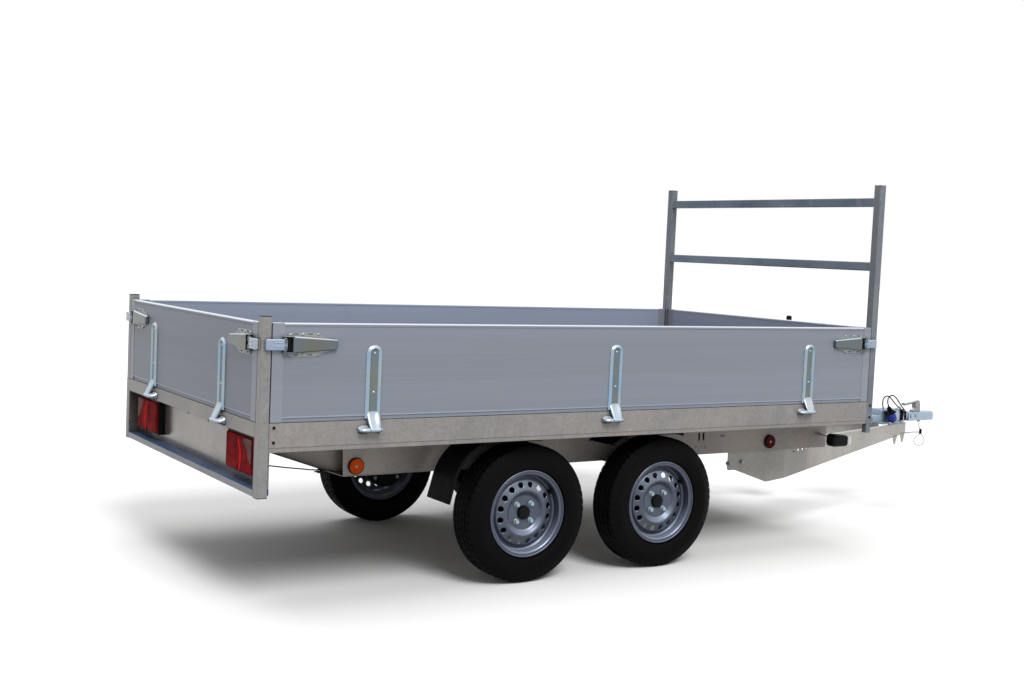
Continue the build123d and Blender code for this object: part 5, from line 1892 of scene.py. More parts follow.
    def build_bolts(self) -> None:
        """Make the small bolts at the rails' ends and on the posts."""
        p = self.p
        shell = Shell()
        out = p.half_width
        spots = [(p.rear_face + 0.057, 0.699), (p.rear_face + 0.057, 0.645),
                 (p.bed_front - 0.019, 0.697), (p.bed_front - 0.019, 0.640)]
        for side in Side:
            shell.base = mirrored(side)
            for x, z in spots:
                shell.bolt(facing((x, out, z), (0, 1, 0)), 0.0080, 0.0032, 0.0058)
        shell.base = Matrix.Identity(4)
        shell.piece("rail_end_bolts", CHASSIS, HUB_BLACK)

    def build(self) -> None:
        """Make the whole frame."""
        for side in Side:
            self.build_side_rail(side)
        self.build_end_rails()
        self.build_posts()
        self.build_rack()
        self.build_welds()
        self.build_bolts()
        coat("deck_floor", DECK)
        coat("cross_members", FRAME_STEEL)


@dataclass
class RearFrame:
    """The recessed lamp panel, the channel under it and the two rear lamps."""

    p: Layout = PLACES
    wall: float = 0.003
    channel: float = 0.025
    panel_top: float = 0.660
    lamp_middle: float = 0.552
    lamp_half: float = 0.131
    lamp_low: float = 0.508
    lamp_height: float = 0.134
    lamp_edge: float = 0.006
    lens_back: float = -2.22575
    lens_face: float = -2.24775

    def build_panel(self) -> None:
        """Make the folded panel and the bottom channel."""
        p, w = self.p, self.wall
        rear, back, i = p.rear_face, p.panel_back, p.inner
        low = p.rear_frame_bottom + self.channel
        tray = [(rear, i), (back, i), (back, -i), (rear, -i), (rear, -i + w), (back - w, -i + w),
                (back - w, i - w), (rear, i - w)]
        panel = Shell()
        panel.prism(softened(tray, 0.003), self.panel_top - low, shift(0, 0, low))
        for side in Side:
            for y in (0.12, 0.345):
                panel.bolt(facing((back - w, side.value * y, self.panel_top - 0.018), (-1, 0, 0)),
                           0.010, 0.004, 0.009)
        panel.piece("rear_panel", CHASSIS, PANEL_STEEL, ("rear_lamp_panel",))
        base = p.rear_frame_bottom
        section = [(rear, base), (back, base), (back, low), (rear, low), (rear, low - w),
                   (back - w, low - w), (back - w, base + w), (rear, base + w)]
        bottom = Shell()
        bottom.prism(softened(section, 0.0026), 2 * i, across(i))
        # the channel's blue is painted sky reflection
        bottom.piece("rear_channel", CHASSIS, CHANNEL_SKY_REFLECTION_STEEL, ("rear_bottom_channel",))
        lip = Shell()
        lip.box((rear, rear + w), (-i, i), (base + 0.0006, low - 0.0006), 0.0010, 3)
        lip.tube([(rear + 0.0006, -i, base + 0.011), (rear + 0.0006, i, base + 0.011)], 0.0016, 8)
        lip.piece("rear_channel_lip", CHASSIS, POST_STEEL)

    def lamp_frame(self, side: Side) -> Matrix:
        """Give a lamp's frame on its back: x outward, y up, z to the rear."""
        middle = (self.lens_back, side.value * self.lamp_middle,
                  self.lamp_low + self.lamp_height / 2)
        turn = frame_at(middle, (0, -1, 0), (0, 0, 1))
        return turn @ Matrix.Scale(-side.value, 4, Vector((1, 0, 0)))

    def dished(self, width: float, height: float, corner: float,
               rows: Sequence[Point2]) -> list[list[Point3]]:
        """Give loops of a rounded block.

        Args:
            width: Its width.
            height: Its height.
            corner: Its corner radius.
            rows: For each loop, how far it is inset and how high it stands.

        Returns:
            The loops.
        """
        loops = []
        for inset, rise in rows:
            outline = rounded_outline(width - 2 * inset, height - 2 * inset,
                                      max(corner - inset * 0.5, 0.001), 6)
            loops.append([(x, y, rise) for x, y in outline])
        return loops

    def build_lamps(self) -> None:
        """Make both lamps: a black tray with a zoned lens on it."""
        half, tall = self.lamp_half, self.lamp_height / 2
        edge = self.lamp_edge
        depth = self.lens_back - self.lens_face
        sunk = self.p.panel_back - self.wall - self.lens_back
        trays = Shell()
        lenses, bright, orange, clear = Shell(), Shell(), Shell(), Shell()
        for side in Side:
            place = self.lamp_frame(side)
            for shell in (trays, lenses, bright, orange, clear):
                shell.base = place
            wide, high = 2 * (half + edge), 2 * (tall + edge)
            trays.loft(self.dished(wide, high, 0.007, (
                (0.001, -sunk), (0, -sunk + 0.001), (0, 0.0108), (0.0012, 0.0120), (0.0050, 0.0122),
                (0.0057, 0.0100))))
            lenses.loft(self.dished(2 * half, 2 * tall, 0.008, (
                (0.0, 0.0), (0.0, depth - 0.006), (0.0008, depth - 0.003), (0.0030, depth - 0.0012),
                (0.0080, depth - 0.0004), (0.030, depth - 0.0001))))
            face = shift(0, 0, depth - 0.0009)
            corner = softened([(half - 0.004, tall - 0.004), (half - 0.092, tall - 0.004),
                               (half - 0.060, tall * 0.42), (half - 0.024, -tall * 0.28),
                               (half - 0.004, -tall * 0.42)], 0.006)
            clear.prism(corner, 0.0016, face, 0.0005)
            stripe = arc((half - 0.200, -tall * 0.2), 0.098, -34, 46, 14)
            stripe += arc((half - 0.200, -tall * 0.2), 0.082, 46, -34, 14)
            bright.prism(stripe, 0.0018, face, 0.0005)
            zone = [(-half + 0.006, -tall + 0.006), (half - 0.122, -tall + 0.006)]
            zone += arc((half - 0.200, -tall * 0.2), 0.078, -46, -8, 8)
            zone += [(-half + 0.006, -tall * 0.34)]
            orange.prism(softened(zone, 0.003), 0.0014, face, 0.0004)
            for x in (-half * 0.62, half * 0.74):
                spot = shift(x, -tall + 0.012, depth - 0.0004)
                trays.lathe([(0, 0), (0.0036, 0), (0.0030, 0.0012), (0, 0.0014)], spot, 16)
            for inset in (0.046, 0.158):
                bar = [(half - inset, -tall + 0.010, depth), (half - inset, tall - 0.010, depth)]
                lenses.tube(bar, 0.0011, 8)
        trays.piece("rear_lamp_trays", CHASSIS, BLACK, ("rear_lamp_housings",))
        lenses.piece("rear_lamp_red_lenses", CHASSIS, RED_LENS, ("rear_lamp_lenses",))
        bright.piece("rear_lamp_stop_zones", CHASSIS, RED_BRIGHT)
        orange.piece("rear_lamp_indicator_zones", CHASSIS, ORANGE_ZONE)
        clear.piece("rear_lamp_clear_zones", CHASSIS, CLEAR_LENS)

    def build_lamp_lead(self) -> None:
        """Make the clip that holds the right lamp's lead."""
        coat("rear_lamp_lead", JACKET)
        shell = Shell(facing((-1.899, -0.506, 0.478), (0, -1, 0)))
        shell.box((-0.0175, 0.0175), (-0.002, 0.002), (-0.004, 0.006), 0.0008)
        ring = [(x, y, 0.001) for x, y in circle((0, 0.002), 0.0075, 16)]
        shell.tube(ring, 0.0022, 8, None, True)
        shell.piece("lamp_lead_clip", CHASSIS, SOFT_RUBBER)

    def build(self) -> None:
        """Make the rear frame."""
        self.build_panel()
        self.build_lamps()
        self.build_lamp_lead()


# ================================================================ chassis
@dataclass
class Chassis:
    """The two beams with their reflectors and front marker lamps."""

    p: Layout = PLACES
    wall: float = 0.003
    closed_from: float = -1.79075
    tail: float = 0.012
    reflector: float = 0.033
    reflector_depth: float = 0.012
    reflectors: tuple[Point2, Point2] = ((-1.73675, 0.490), (0.50525, 0.494))
    marker_y: float = 0.635
    marker_rear: float = 0.78225
    marker_length: float = 0.128
    marker_width: float = 0.058
    marker_height: float = 0.066
    marker_low: float = 0.476
    marker_taper: float = 0.20

    def beam_section(self, bottom: float) -> list[Point2]:
        """Give the beam's channel at a place as points (outward, up)."""
        p, w = self.p, self.wall
        top, near, far = p.rail_bottom, p.beam_inner, p.beam_outer
        corners = [(far, top), (near, top), (near, bottom), (far, bottom), (far, bottom + w),
                   (near + w, bottom + w), (near + w, top - w), (far, top - w)]
        return softened(corners, 0.004)

    def build_beam(self, side: Side) -> None:
        """Make one beam: a channel that tapers at the rear, closed by a slotted plate."""
        p, w = self.p, self.wall
        shell = Shell(mirrored(side))
        stations = ((p.panel_back, p.rail_bottom - self.tail), (self.closed_from, p.beam_bottom),
                    (p.bed_front, p.beam_bottom))
        shell.loft([[(x, y, z) for y, z in self.beam_section(low)] for x, low in stations])
        slots = [[(x + dx, 0.536 + dz) for dx, dz in rounded_outline(0.011, 0.038, 0.0054)]
                 for x in (0.052, 0.079)]
        slots += [[(x + dx, z + dz) for dx, dz in rounded_outline(0.016, 0.016, 0.0079)]
                  for x, z in ((-1.62, 0.575), (-0.02, 0.575), (0.72, 0.575))]
        low, high = p.beam_bottom + 0.002, p.rail_bottom - 0.002
        plate = softened([(self.closed_from, low), (p.bed_front, low), (p.bed_front, high),
                          (self.closed_from - 0.006, high)], 0.004)
        shell.prism(plate, w, across(p.beam_outer), 0.0, 2, slots)
        shell.box((p.bed_front - w, p.bed_front), (p.beam_inner, p.beam_outer),
                  (p.beam_bottom, p.rail_bottom), 0.001)
        gusset = [(p.panel_back + along, p.rail_bottom - down) for along, down in (
            (0, 0.001), (0.075, 0.001), (0.060, 0.018), (0.004, 0.015))]
        shell.prism(gusset, w, across(p.beam_outer), 0.0006)
        eye = arc((0.199, p.beam_outer), 0.010, 0, 180, 12)
        shell.tube([(x, y, 0.533) for x, y in eye], 0.0024, 8)
        for x in (0.036, 0.095):
            for z in (0.486, 0.586):
                shell.rivet(facing((x, p.beam_outer, z), (0, 1, 0)), 0.006, 0.003)
        low = p.beam_outer - 0.0005
        shell.weld((self.closed_from + 0.01, low, p.beam_bottom + 0.001),
                   (self.closed_from + 0.26, low, p.beam_bottom + 0.001), 0.002, 2)
        shell.piece(f"{side.word}_beam", CHASSIS, FRAME_STEEL, (f"{side.word}_chassis_beam",))

    def build_reflectors(self) -> None:
        """Make the round reflectors: a black rim, a lens and a centre screw."""
        rims, screws = Shell(), Shell()
        amber, dark = Shell(), Shell()
        r, depth = self.reflector, self.reflector_depth
        for side in Side:
            for lens, (x, z) in zip((amber, dark), self.reflectors):
                place = facing((x, side.value * self.p.beam_outer, z), (0, side.value, 0))
                rims.lathe([(0, 0), (r - 0.001, 0), (r, 0.001), (r, depth - 0.003),
                            (r - 0.0010, depth - 0.0008), (r - 0.0022, depth),
                            (r - 0.0028, depth - 0.0026), (0, depth - 0.0028)], place, 48)
                lens.lathe([(0.005, depth - 0.004), (r - 0.0028, depth - 0.004),
                            (r - 0.0030, depth - 0.0016), (r - 0.0050, depth - 0.0008),
                            (0.012, depth - 0.0002), (0.005, depth - 0.0002)], place, 48, ring=True)
                screws.lathe([(0, depth - 0.004), (0.0062, depth - 0.004), (0.0062, depth + 0.0002),
                              (0.0050, depth + 0.0014), (0.0026, depth + 0.0018),
                              (0.0022, depth + 0.0008), (0, depth + 0.0008)], place, 24)
        rims.piece("reflector_rims", CHASSIS, BLACK, ("side_reflectors",))
        amber.piece("rear_reflector_lenses", CHASSIS, AMBER_LENS)
        # the front reflectors' lenses are painted in shade
        dark.piece("front_reflector_lenses", CHASSIS, SHADED_AMBER)
        screws.piece("reflector_screws", CHASSIS, DULL_ZINC)

    def build_marker_lamps(self) -> None:
        """Make the front marker lamps on their arms."""
        housings, lenses, arms = Shell(), Shell(), Shell()
        length, width, height = self.marker_length, self.marker_width, self.marker_height
        split = length * 0.78
        rows = ((0.0, 0.70), (0.003, 0.84), (0.010, 0.94), (0.022, 1.0), (split - 0.010, 1.0),
                (split - 0.004, 0.985), (split, 0.93))
        ends = ((split - 0.001, 0.93), (split + 0.001, 0.97), (split + 0.003, 0.955),
                (split + 0.005, 0.97), (length - 0.008, 0.95), (length - 0.003, 0.88),
                (length - 0.0008, 0.74), (length, 0.50))
        for side in Side:
            middle = (self.marker_rear, side.value * self.marker_y, self.marker_low + height / 2)
            place = frame_at(middle, (0, 1, 0), (0, 0, 1))
            for shell, stations in ((housings, rows), (lenses, ends)):
                shell.base = place
                shell.loft([[(x * size, (y * size + height / 2) *
                              (1 - self.marker_taper * along / length) - height / 2, along)
                             for x, y in rounded_outline(width, height, 0.018, 8)]
                            for along, size in stations])
            arms.base = mirrored(side)
            low, high = self.marker_low + 0.041, self.marker_low + 0.046
            arms.box((0.82225, 0.85225), (self.p.beam_outer, self.marker_y), (low, high), 0.0012)
            arms.bolt(facing((0.83725, self.p.beam_outer + 0.020, high), (0, 0, 1)), 0.010, 0.005,
                      0.009)
        housings.piece("marker_lamp_housings", CHASSIS, BLACK, ("front_marker_lamps",))
        lenses.piece("marker_lamp_lenses", CHASSIS, WHITE_LENS)
        arms.piece("marker_lamp_arms", CHASSIS, DULL_ZINC)

    def build(self) -> None:
        """Make the beams and what is on them."""
        for side in Side:
            self.build_beam(side)
        self.build_reflectors()
        self.build_marker_lamps()


@dataclass
class Mudguards:
    """Two mudguards a side, each with a raised outer band and turned-down lips."""

    p: Layout = PLACES
    inner: float = 0.560
    outer: float = 0.735
    gap: float = 0.032
    wall: float = 0.003
    band: float = 0.045
    band_rise: float = 0.0026
    lip: float = 0.007
    crown_angle: float = 81.5
    front_end: float = 73.0
    flap: Point2 = (-0.397, 0.071)
    knee: Point2 = (-0.373, 0.161)
    shoulder: float = -0.209
    crown: float = 0.6077
    stay_low: float = 0.560

    @staticmethod
    def about(centre: Vector, start: Vector, stop: Vector, steps: int) -> list[Vector]:
        """Give points on the shorter arc about a centre, without the last one."""
        first = math.atan2(start.y - centre.y, start.x - centre.x)
        turn = math.atan2(stop.y - centre.y, stop.x - centre.x) - first
        turn = (turn + math.pi) % (2 * math.pi) - math.pi
        radius = (start - centre).length
        angles = [first + turn * step / steps for step in range(steps)]
        return [centre + Vector((math.cos(a), math.sin(a))) * radius for a in angles]

    def path(self, axle: Axle) -> list[Vector]:
        """Give the line of one guard's top in (X, Z), from its rear end forward."""
        rear = axle is Axle.REAR
        wheel = Vector((self.p.rear_wheel if rear else self.p.front_wheel, self.p.tyre_radius))
        radius = self.p.tyre_radius + self.gap

        def on(degrees: float) -> Vector:
            """Give the point of the wheel's arch at an angle."""
            a = math.radians(degrees)
            return wheel + Vector((math.cos(a), math.sin(a))) * radius

        end, knee = wheel + Vector(self.flap), wheel + Vector(self.knee)
        shoulder = Vector((wheel.x + self.shoulder, self.crown))
        way = (knee - end).normalized()
        side = Vector((way.y, -way.x))
        reach = shoulder - knee
        centre = knee + side * (reach.length_squared / (2 * reach.dot(side)))
        crown_end = Vector((on(self.crown_angle).x, self.crown))
        points = [end.lerp(knee, k / 4) for k in range(4)] if rear else []
        skirt = self.about(centre, knee, shoulder, 16)
        points += skirt if rear else skirt[9:]
        points += [shoulder.lerp(crown_end, k / 4) for k in range(4)]
        if rear:
            return [*points, crown_end]
        points += self.about(wheel, on(self.crown_angle), on(self.front_end), 10)
        return [*points, on(self.front_end)]

    def section(self) -> list[Point2]:
        """Give the section as (across, above the crown line)."""
        a, b, w, rise, lip = self.inner, self.outer, self.wall, self.band_rise, self.lip
        step = b - self.band
        return [(a, -lip), (a + w, -lip), (a + w, 0), (step + 0.004, 0), (step + 0.006, rise),
                (b - w, rise), (b - w, -lip), (b, -lip), (b, w + rise - 0.003),
                (b - 0.0012, w + rise - 0.0008), (b - 0.004, w + rise), (step + 0.003, w + rise),
                (step, w + rise * 0.7), (step - 0.002, w), (a + 0.003, w), (a, w - 0.002)]

    def build(self) -> None:
        """Make the mudguards with their stays."""
        thick = self.wall + self.band_rise
        section = [(y, n - thick) for y, n in self.section()]
        for side in Side:
            shell = Shell(mirrored(side))
            for axle in Axle:
                path = self.path(axle)
                loops = []
                for before, here, after in zip(path[:1] + path, path, path[1:] + path[-1:]):
                    way = (after - before).normalized()
                    up = Vector((-way.y, way.x))
                    loops.append([(here.x + up.x * n, y, here.y + up.y * n) for y, n in section])
                shell.loft(loops)
            name = f"{side.word}_mudguard"
            shell.piece(f"{name}_mouldings", CHASSIS, GUARD, (name,))
            stays = Shell(mirrored(side))
            beam = self.p.beam_outer
            low = self.crown - thick - 0.0035
            high = low + 0.0036
            for wheel in (self.p.rear_wheel, self.p.front_wheel):
                for x in (wheel - 0.165, wheel - 0.005):
                    wide = (x - 0.015, x + 0.015)
                    stays.box(wide, (beam, self.inner + 0.03), (low, high), 0.0008)
                    stays.box(wide, (beam, beam + 0.003), (self.stay_low, high), 0.0008)
                    stays.bolt(facing((x, beam + 0.003, self.stay_low + 0.020), (0, 1, 0)), 0.010,
                               0.005, 0.009)
            stays.piece(f"{name}_stays", CHASSIS, DULL_ZINC)


@dataclass
class Axles:
    """Square axle tubes with trailing arms, brake drums and hubs."""

    p: Layout = PLACES
    lead: float = 0.120
    tube: float = 0.070
    tube_low: float = 0.380
    arm_in: float = 0.514
    arm_out: float = 0.544
    drum_radius: float = 0.105
    drum_out: float = 0.606
    bolt_ring: float = 0.086
    face: float = 0.6816

    def arm_outline(self, centre_x: float) -> list[Point2]:
        """Give the trailing arm's outline in (X, Z)."""
        lead_x, high = centre_x + self.lead, self.tube_low + self.tube / 2
        slope = math.degrees(math.atan2(high - self.p.tyre_radius, self.lead))
        front = arc((lead_x, high), 0.036, slope - 84, slope + 84, 14)
        rear = arc((centre_x, self.p.tyre_radius), 0.030, slope + 92, slope + 268, 14)
        return front + rear

    def build(self) -> None:
        """Make both axles."""
        p = self.p
        for axle, centre_x in ((Axle.REAR, p.rear_wheel), (Axle.FRONT, p.front_wheel)):
            shell = Shell(across(self.arm_in))
            middle = shift(centre_x + self.lead, self.tube_low + self.tube / 2, 0)
            shell.hollow_bar(self.tube, self.tube, 0.004, 0.010, 2 * self.arm_in, middle)
            drums, bolts = Shell(), Shell()
            for side in Side:
                for part in (shell, drums, bolts):
                    part.base = mirrored(side)
                out = self.arm_out
                shell.prism(self.arm_outline(centre_x), self.arm_out - self.arm_in, across(out),
                            0.003, 3)
                shell.box((centre_x + self.lead - 0.045, centre_x + self.lead + 0.045),
                          (p.beam_inner, p.beam_outer), (0.4440, 0.4500), 0.001)
                head = facing((centre_x + self.lead, out, self.tube_low + self.tube / 2), (0, 1, 0))
                shell.bolt(head, 0.022, 0.010, 0.019)
                r = self.drum_radius
                hub = frame_at((centre_x, 0, p.tyre_radius), (0, 0, 1), (1, 0, 0))
                drums.lathe([(0.024, out), (r - 0.008, out), (r + 0.004, out + 0.002),
                             (r + 0.004, out + 0.008), (r, out + 0.010), (r, out + 0.026),
                             (r - 0.003, out + 0.028), (r - 0.003, out + 0.032),
                             (r, out + 0.034), (r, out + 0.050), (r - 0.004, self.drum_out),
                             (0.060, self.drum_out), (0.052, self.drum_out + 0.004),
                             (0.040, self.drum_out + 0.010), (0.040, 0.662), (0.046, 0.668),
                             (0.068, 0.6700), (0.068, self.face), (0.024, self.face)],
                            hub, 64, ring=True)
                drums.lathe([(0, out), (0.026, out), (0.026, 0.684), (0.022, 0.686), (0, 0.686)],
                            hub, 32)
                for turn in range(4):
                    a = math.radians(45 + 90 * turn)
                    spot = (centre_x + self.bolt_ring * math.cos(a), out + 0.0001,
                            p.tyre_radius + self.bolt_ring * math.sin(a))
                    bolts.bolt(facing(spot, (0, -1, 0)), 0.012, 0.006, 0.010)
            shell.piece(f"{axle.value}_axle_tube", CHASSIS, FRAME_STEEL, (f"{axle.value}_axle",))
            drums.piece(f"{axle.value}_brake_drums", CHASSIS, HUB_BLACK)
            bolts.piece(f"{axle.value}_brake_bolts", CHASSIS, DULL_ZINC)


# ================================================================ wheels
@dataclass
class Wheel:
    """One wheel: a pressed steel rim with round vents, and its tyre."""

    axle: Axle
    side: Side
    p: Layout = PLACES
    vents: int = 16
    vent_radius: float = 0.012
    vent_ring: float = 0.119
    patch: Span = (0.1062, 0.1318)
    metal: float = 0.0036
    bolt_ring: float = 0.050
    cap_radius: float = 0.028
    pitches: int = 56
    groove_depth: float = 0.0062
    sipe_depth: float = 0.0042

    DISC = ((0.030, 0.030), (0.072, 0.030), (0.078, 0.034), (0.087, 0.0445), (0.095, 0.048),
            (0.1035, 0.045), (0.1345, 0.033), (0.143, 0.024), (0.1595, 0.018))

    @property
    def name(self) -> str:
        """Give the wheel's name."""
        return f"{self.axle.value}_{self.side.word}"

    @property
    def body(self) -> str:
        """Give the body that the wheel turns with."""
        return f"{self.name}_wheel"

    @property
    def hub(self) -> Matrix:
        """Give the wheel's frame: z points outward and y up."""
        x = self.p.rear_wheel if self.axle is Axle.REAR else self.p.front_wheel
        return facing((x, self.side.value * self.p.wheel_line, self.p.tyre_radius),
                      (0, self.side.value, 0))

    def add_barrel(self, shell: Shell) -> None:
        """Add the barrel with its well and rolled flanges."""
        half = [(0.0, 0.146), (0.014, 0.146), (0.024, 0.162), (0.057, 0.165), (0.057, 0.1785)]
        lip = [(0.0615 + 0.0045 * math.cos(a), 0.1785 + 0.0040 * math.sin(a))
               for a in (math.radians(150 - 30 * k) for k in range(6))]
        under = [(0.0652, 0.1762), (0.0632, 0.1778), (0.0612, 0.1774), (0.0602, 0.175),
                 (0.0602, 0.1665), (0.0570, 0.1618), (0.0255, 0.1588), (0.0158, 0.1425),
                 (0.0, 0.1425)]
        outer = softened(half, 0.003, 3, False) + lip + softened(under, 0.0026, 3, False)
        mirror = [(-t, r) for t, r in outer[::-1]]
        outside = [(r, t) for t, r in outer[:-1]]
        inside = [(r, t) for t, r in mirror[1:]]
        shell.lathe(outside + inside, None, 96, ring=True)

    def level(self, line: Sequence[Point2], reach: float) -> float:
        """Give the disc's height at a distance from the axle."""
        for (r0, t0), (r1, t1) in zip(line, line[1:]):
            if r0 <= reach <= r1:
                return t0 + (t1 - t0) * (reach - r0) / (r1 - r0)
        return line[-1][1]

    def add_disc(self, shell: Shell) -> None:
        """Add the disc with a ring of vents through it."""
        line = softened(self.DISC, 0.006, 4, False)
        part = bmesh.new()
        sector = 2 * math.pi / self.vents
        around = self.vents * 6

        def row(reach: float) -> list[bmesh.types.BMVert]:
            """Make a ring of points at a distance from the axle."""
            high = self.level(line, reach)
            return [part.verts.new((x, y, high)) for x, y in circle((0, 0), reach, around)]

        near, far = self.patch
        for reaches in ([r for r, _ in line if r < near] + [near],
                        [far] + [r for r, _ in line if r > far]):
            rows = [row(reach) for reach in reaches]
            for low, high in zip(rows, rows[1:]):
                skin(part, low, high)
        for index in range(self.vents):
            turn = sector * (index + 0.5)
            middle = Vector((math.cos(turn), math.sin(turn))) * self.vent_ring
            rings: list[list[bmesh.types.BMVert]] = []
            for share in (0.0, 0.12, 0.45, 1.0):
                ring = []
                for k in range(24):
                    a = turn + math.radians(-45 + 15 * k)
                    hole = middle + Vector((math.cos(a), math.sin(a))) * self.vent_radius
                    edge, step = divmod(k, 6)
                    t = step / 6
                    reach = (far, far + (near - far) * t, near, near + (far - near) * t)[edge]
                    swing = (-0.5 + t, 0.5, 0.5 - t, -0.5)[edge] * sector
                    rim = Vector((math.cos(turn + swing), math.sin(turn + swing))) * reach
                    spot = hole.lerp(rim, share)
                    dip = 0.0012 if share == 0.0 else 0.0
                    ring.append(part.verts.new((*spot, self.level(line, spot.length) - dip)))
                rings.append(ring)
            for low, high in zip(rings, rings[1:]):
                skin(part, low, high)
        bmesh.ops.remove_doubles(part, verts=part.verts, dist=2e-5)
        bmesh.ops.recalc_face_normals(part, faces=part.faces)
        if sum(face.normal.z for face in part.faces) < 0:
            bmesh.ops.reverse_faces(part, faces=part.faces)
        bmesh.ops.solidify(part, geom=part.faces[:], thickness=self.metal)
        shell.merge(part)

    def add_bolts(self, bolts: Shell, cap: Shell) -> None:
        """Add the wheel bolts, the blank centre cap and the valve."""
        face = 0.030
        for index in range(4):
            a = math.radians(45 + 90 * index)
            spot = shift(self.bolt_ring * math.cos(a), self.bolt_ring * math.sin(a), face)
            bolts.lathe([(0, 0), (0.0125, 0), (0.0118, 0.0030), (0.0100, 0.0042), (0, 0.0042)],
                        spot, 28)
            bolts.bolt(spot @ shift(0, 0, 0.004), 0.0170, 0.0120, 0.0)
        r = self.cap_radius
        cap.lathe([(0, face - 0.004), (r - 0.001, face - 0.004), (r, face), (r, face + 0.008),
                   (r - 0.0012, face + 0.0100), (r - 0.0040, face + 0.0106),
                   (r - 0.0052, face + 0.0094), (r - 0.0060, face + 0.0094),
                   (r * 0.62, face + 0.0112), (r * 0.30, face + 0.0120), (0, face + 0.0122)],
                  None, 48)
        out = Vector((math.cos(0.55), math.sin(0.55), 0))
        foot = out * 0.1525 + Vector((0, 0, 0.021))
        way = (Vector((0, 0, 1)) - out * 0.30).normalized()
        cap.lathe([(0, 0), (0.0078, 0), (0.0072, 0.004), (0.0048, 0.008), (0.0042, 0.022),
                   (0.0048, 0.0225), (0.0048, 0.030), (0.0040, 0.0318), (0, 0.0318)],
                  facing(foot, way), 20)

    def tread_rows(self) -> list[tuple[float, float, float]]:
        """Give half the tyre's outside, as (across, radius, which cuts reach it)."""
        r = self.p.tyre_radius
        deep = self.groove_depth
        rows = [(0.0, r, -1.0)]
        for start, width, kind in ((0.0105, 0.0065, -1.0), (0.0345, 0.0070, 1.0)):
            top = r - 0.0016 * (start / 0.056) ** 2
            stop = start + width
            rows += [(start - 0.0009, top, kind), (start, top - 0.0008, kind),
                     (start + 0.0012, top - deep, 0.0), (stop - 0.0012, top - deep, 0.0),
                     (stop, top - 0.0010, 1.0), (stop + 0.0009, top - 0.0002, 1.0)]
        rows += [(0.0500, r - 0.0013, 1.0), (0.0558, r - 0.0020, 1.0), (0.0605, r - 0.0044, 1.0),
                 (0.0636, r - 0.0085, 0.8), (0.0662, r - 0.0150, 0.5), (0.0684, r - 0.0200, 0.0)]
        return rows

    def side_rows(self) -> list[tuple[float, float, float]]:
        """Give the sidewall from the shoulder down to the bead."""
        rows = []
        widest, wide_at = 0.0785, 0.232
        top, low = self.p.tyre_radius - 0.022, 0.1885
        count = 30
        for step in range(count + 1):
            r = top + (low - top) * step / count
            if r > wide_at:
                t = widest - 0.0096 * (1 - math.cos(math.pi / 2 * (r - wide_at) / (top - wide_at)))
            else:
                t = 0.069 + (widest - 0.069) * math.sin(math.pi / 2 * (r - low) / (wide_at - low))
            ribs = ((0.2560, 0.0010, 0.0010), (0.2415, 0.0016, 0.0012), (0.2090, 0.0030, 0.0009),
                    (0.1975, 0.0036, 0.0019))
            lift = sum(high * max(0.0, 1 - ((r - at) / wide) ** 4)
                       for at, wide, high in ribs if abs(r - at) < wide)
            rows.append((t + lift, r, 0.0))
        return [*rows, (0.0660, 0.1868, 0.0), (0.0615, 0.1852, 0.0), (0.0567, 0.1845, 0.0),
                (0.0567, 0.1653, 0.0), (0.0440, 0.1660, 0.0), (0.0560, 0.2000, 0.0),
                (0.0660, 0.2320, 0.0), (0.0540, 0.2720, 0.0), (0.0, 0.2780, 0.0)]

    def add_tyre(self, shell: Shell) -> None:
        """Add the tyre with its grooves, cuts, shoulder blocks and sidewall rings."""
        half = self.tread_rows() + self.side_rows()
        rows = half + [(-t, r, cut) for t, r, cut in half[-2:0:-1]]
        slopes = ((0.05, 0), (0.07, 1), (0.15, 1), (0.17, 0), (0.55, 0), (0.57, -1), (0.65, -1),
                  (0.67, 0))
        pitch = 2 * math.pi / self.pitches
        loops = []
        for t, r, cut in rows:
            hand = 1 if t > 0 else -1
            skew = (0.9 if cut > 0 else 0.35) * (abs(t) / 0.056) * hand
            lean = 0.5 * (skew if r > 0.262 else hand)
            loop = []
            for index in range(self.pitches):
                for share, kind in slopes:
                    angle = pitch * (index + share + lean)
                    reach = r - (self.sipe_depth * abs(cut) if cut * kind > 0 else 0.0)
                    loop.append((reach * math.cos(angle), reach * math.sin(angle), t))
            loops.append(loop)
        shell.loft(loops, None, (False, False), ring=True)

    def build(self) -> None:
        """Make the rim, its bolts and cap, and the tyre."""
        rim = Shell(self.hub)
        self.add_barrel(rim)
        self.add_disc(rim)
        rim.piece(f"{self.name}_wheel_rim", self.body, ENAMEL, (f"{self.name}_rim",))
        bolts, cap = Shell(self.hub), Shell(self.hub)
        self.add_bolts(bolts, cap)
        bolts.piece(f"{self.name}_wheel_bolts", self.body, ZINC)
        cap.piece(f"{self.name}_centre_cap_and_valve", self.body, BLACK)
        tyre = Shell(self.hub)
        self.add_tyre(tyre)
        tyre.piece(f"{self.name}_road_tyre", self.body, RUBBER, (f"{self.name}_tyre",))


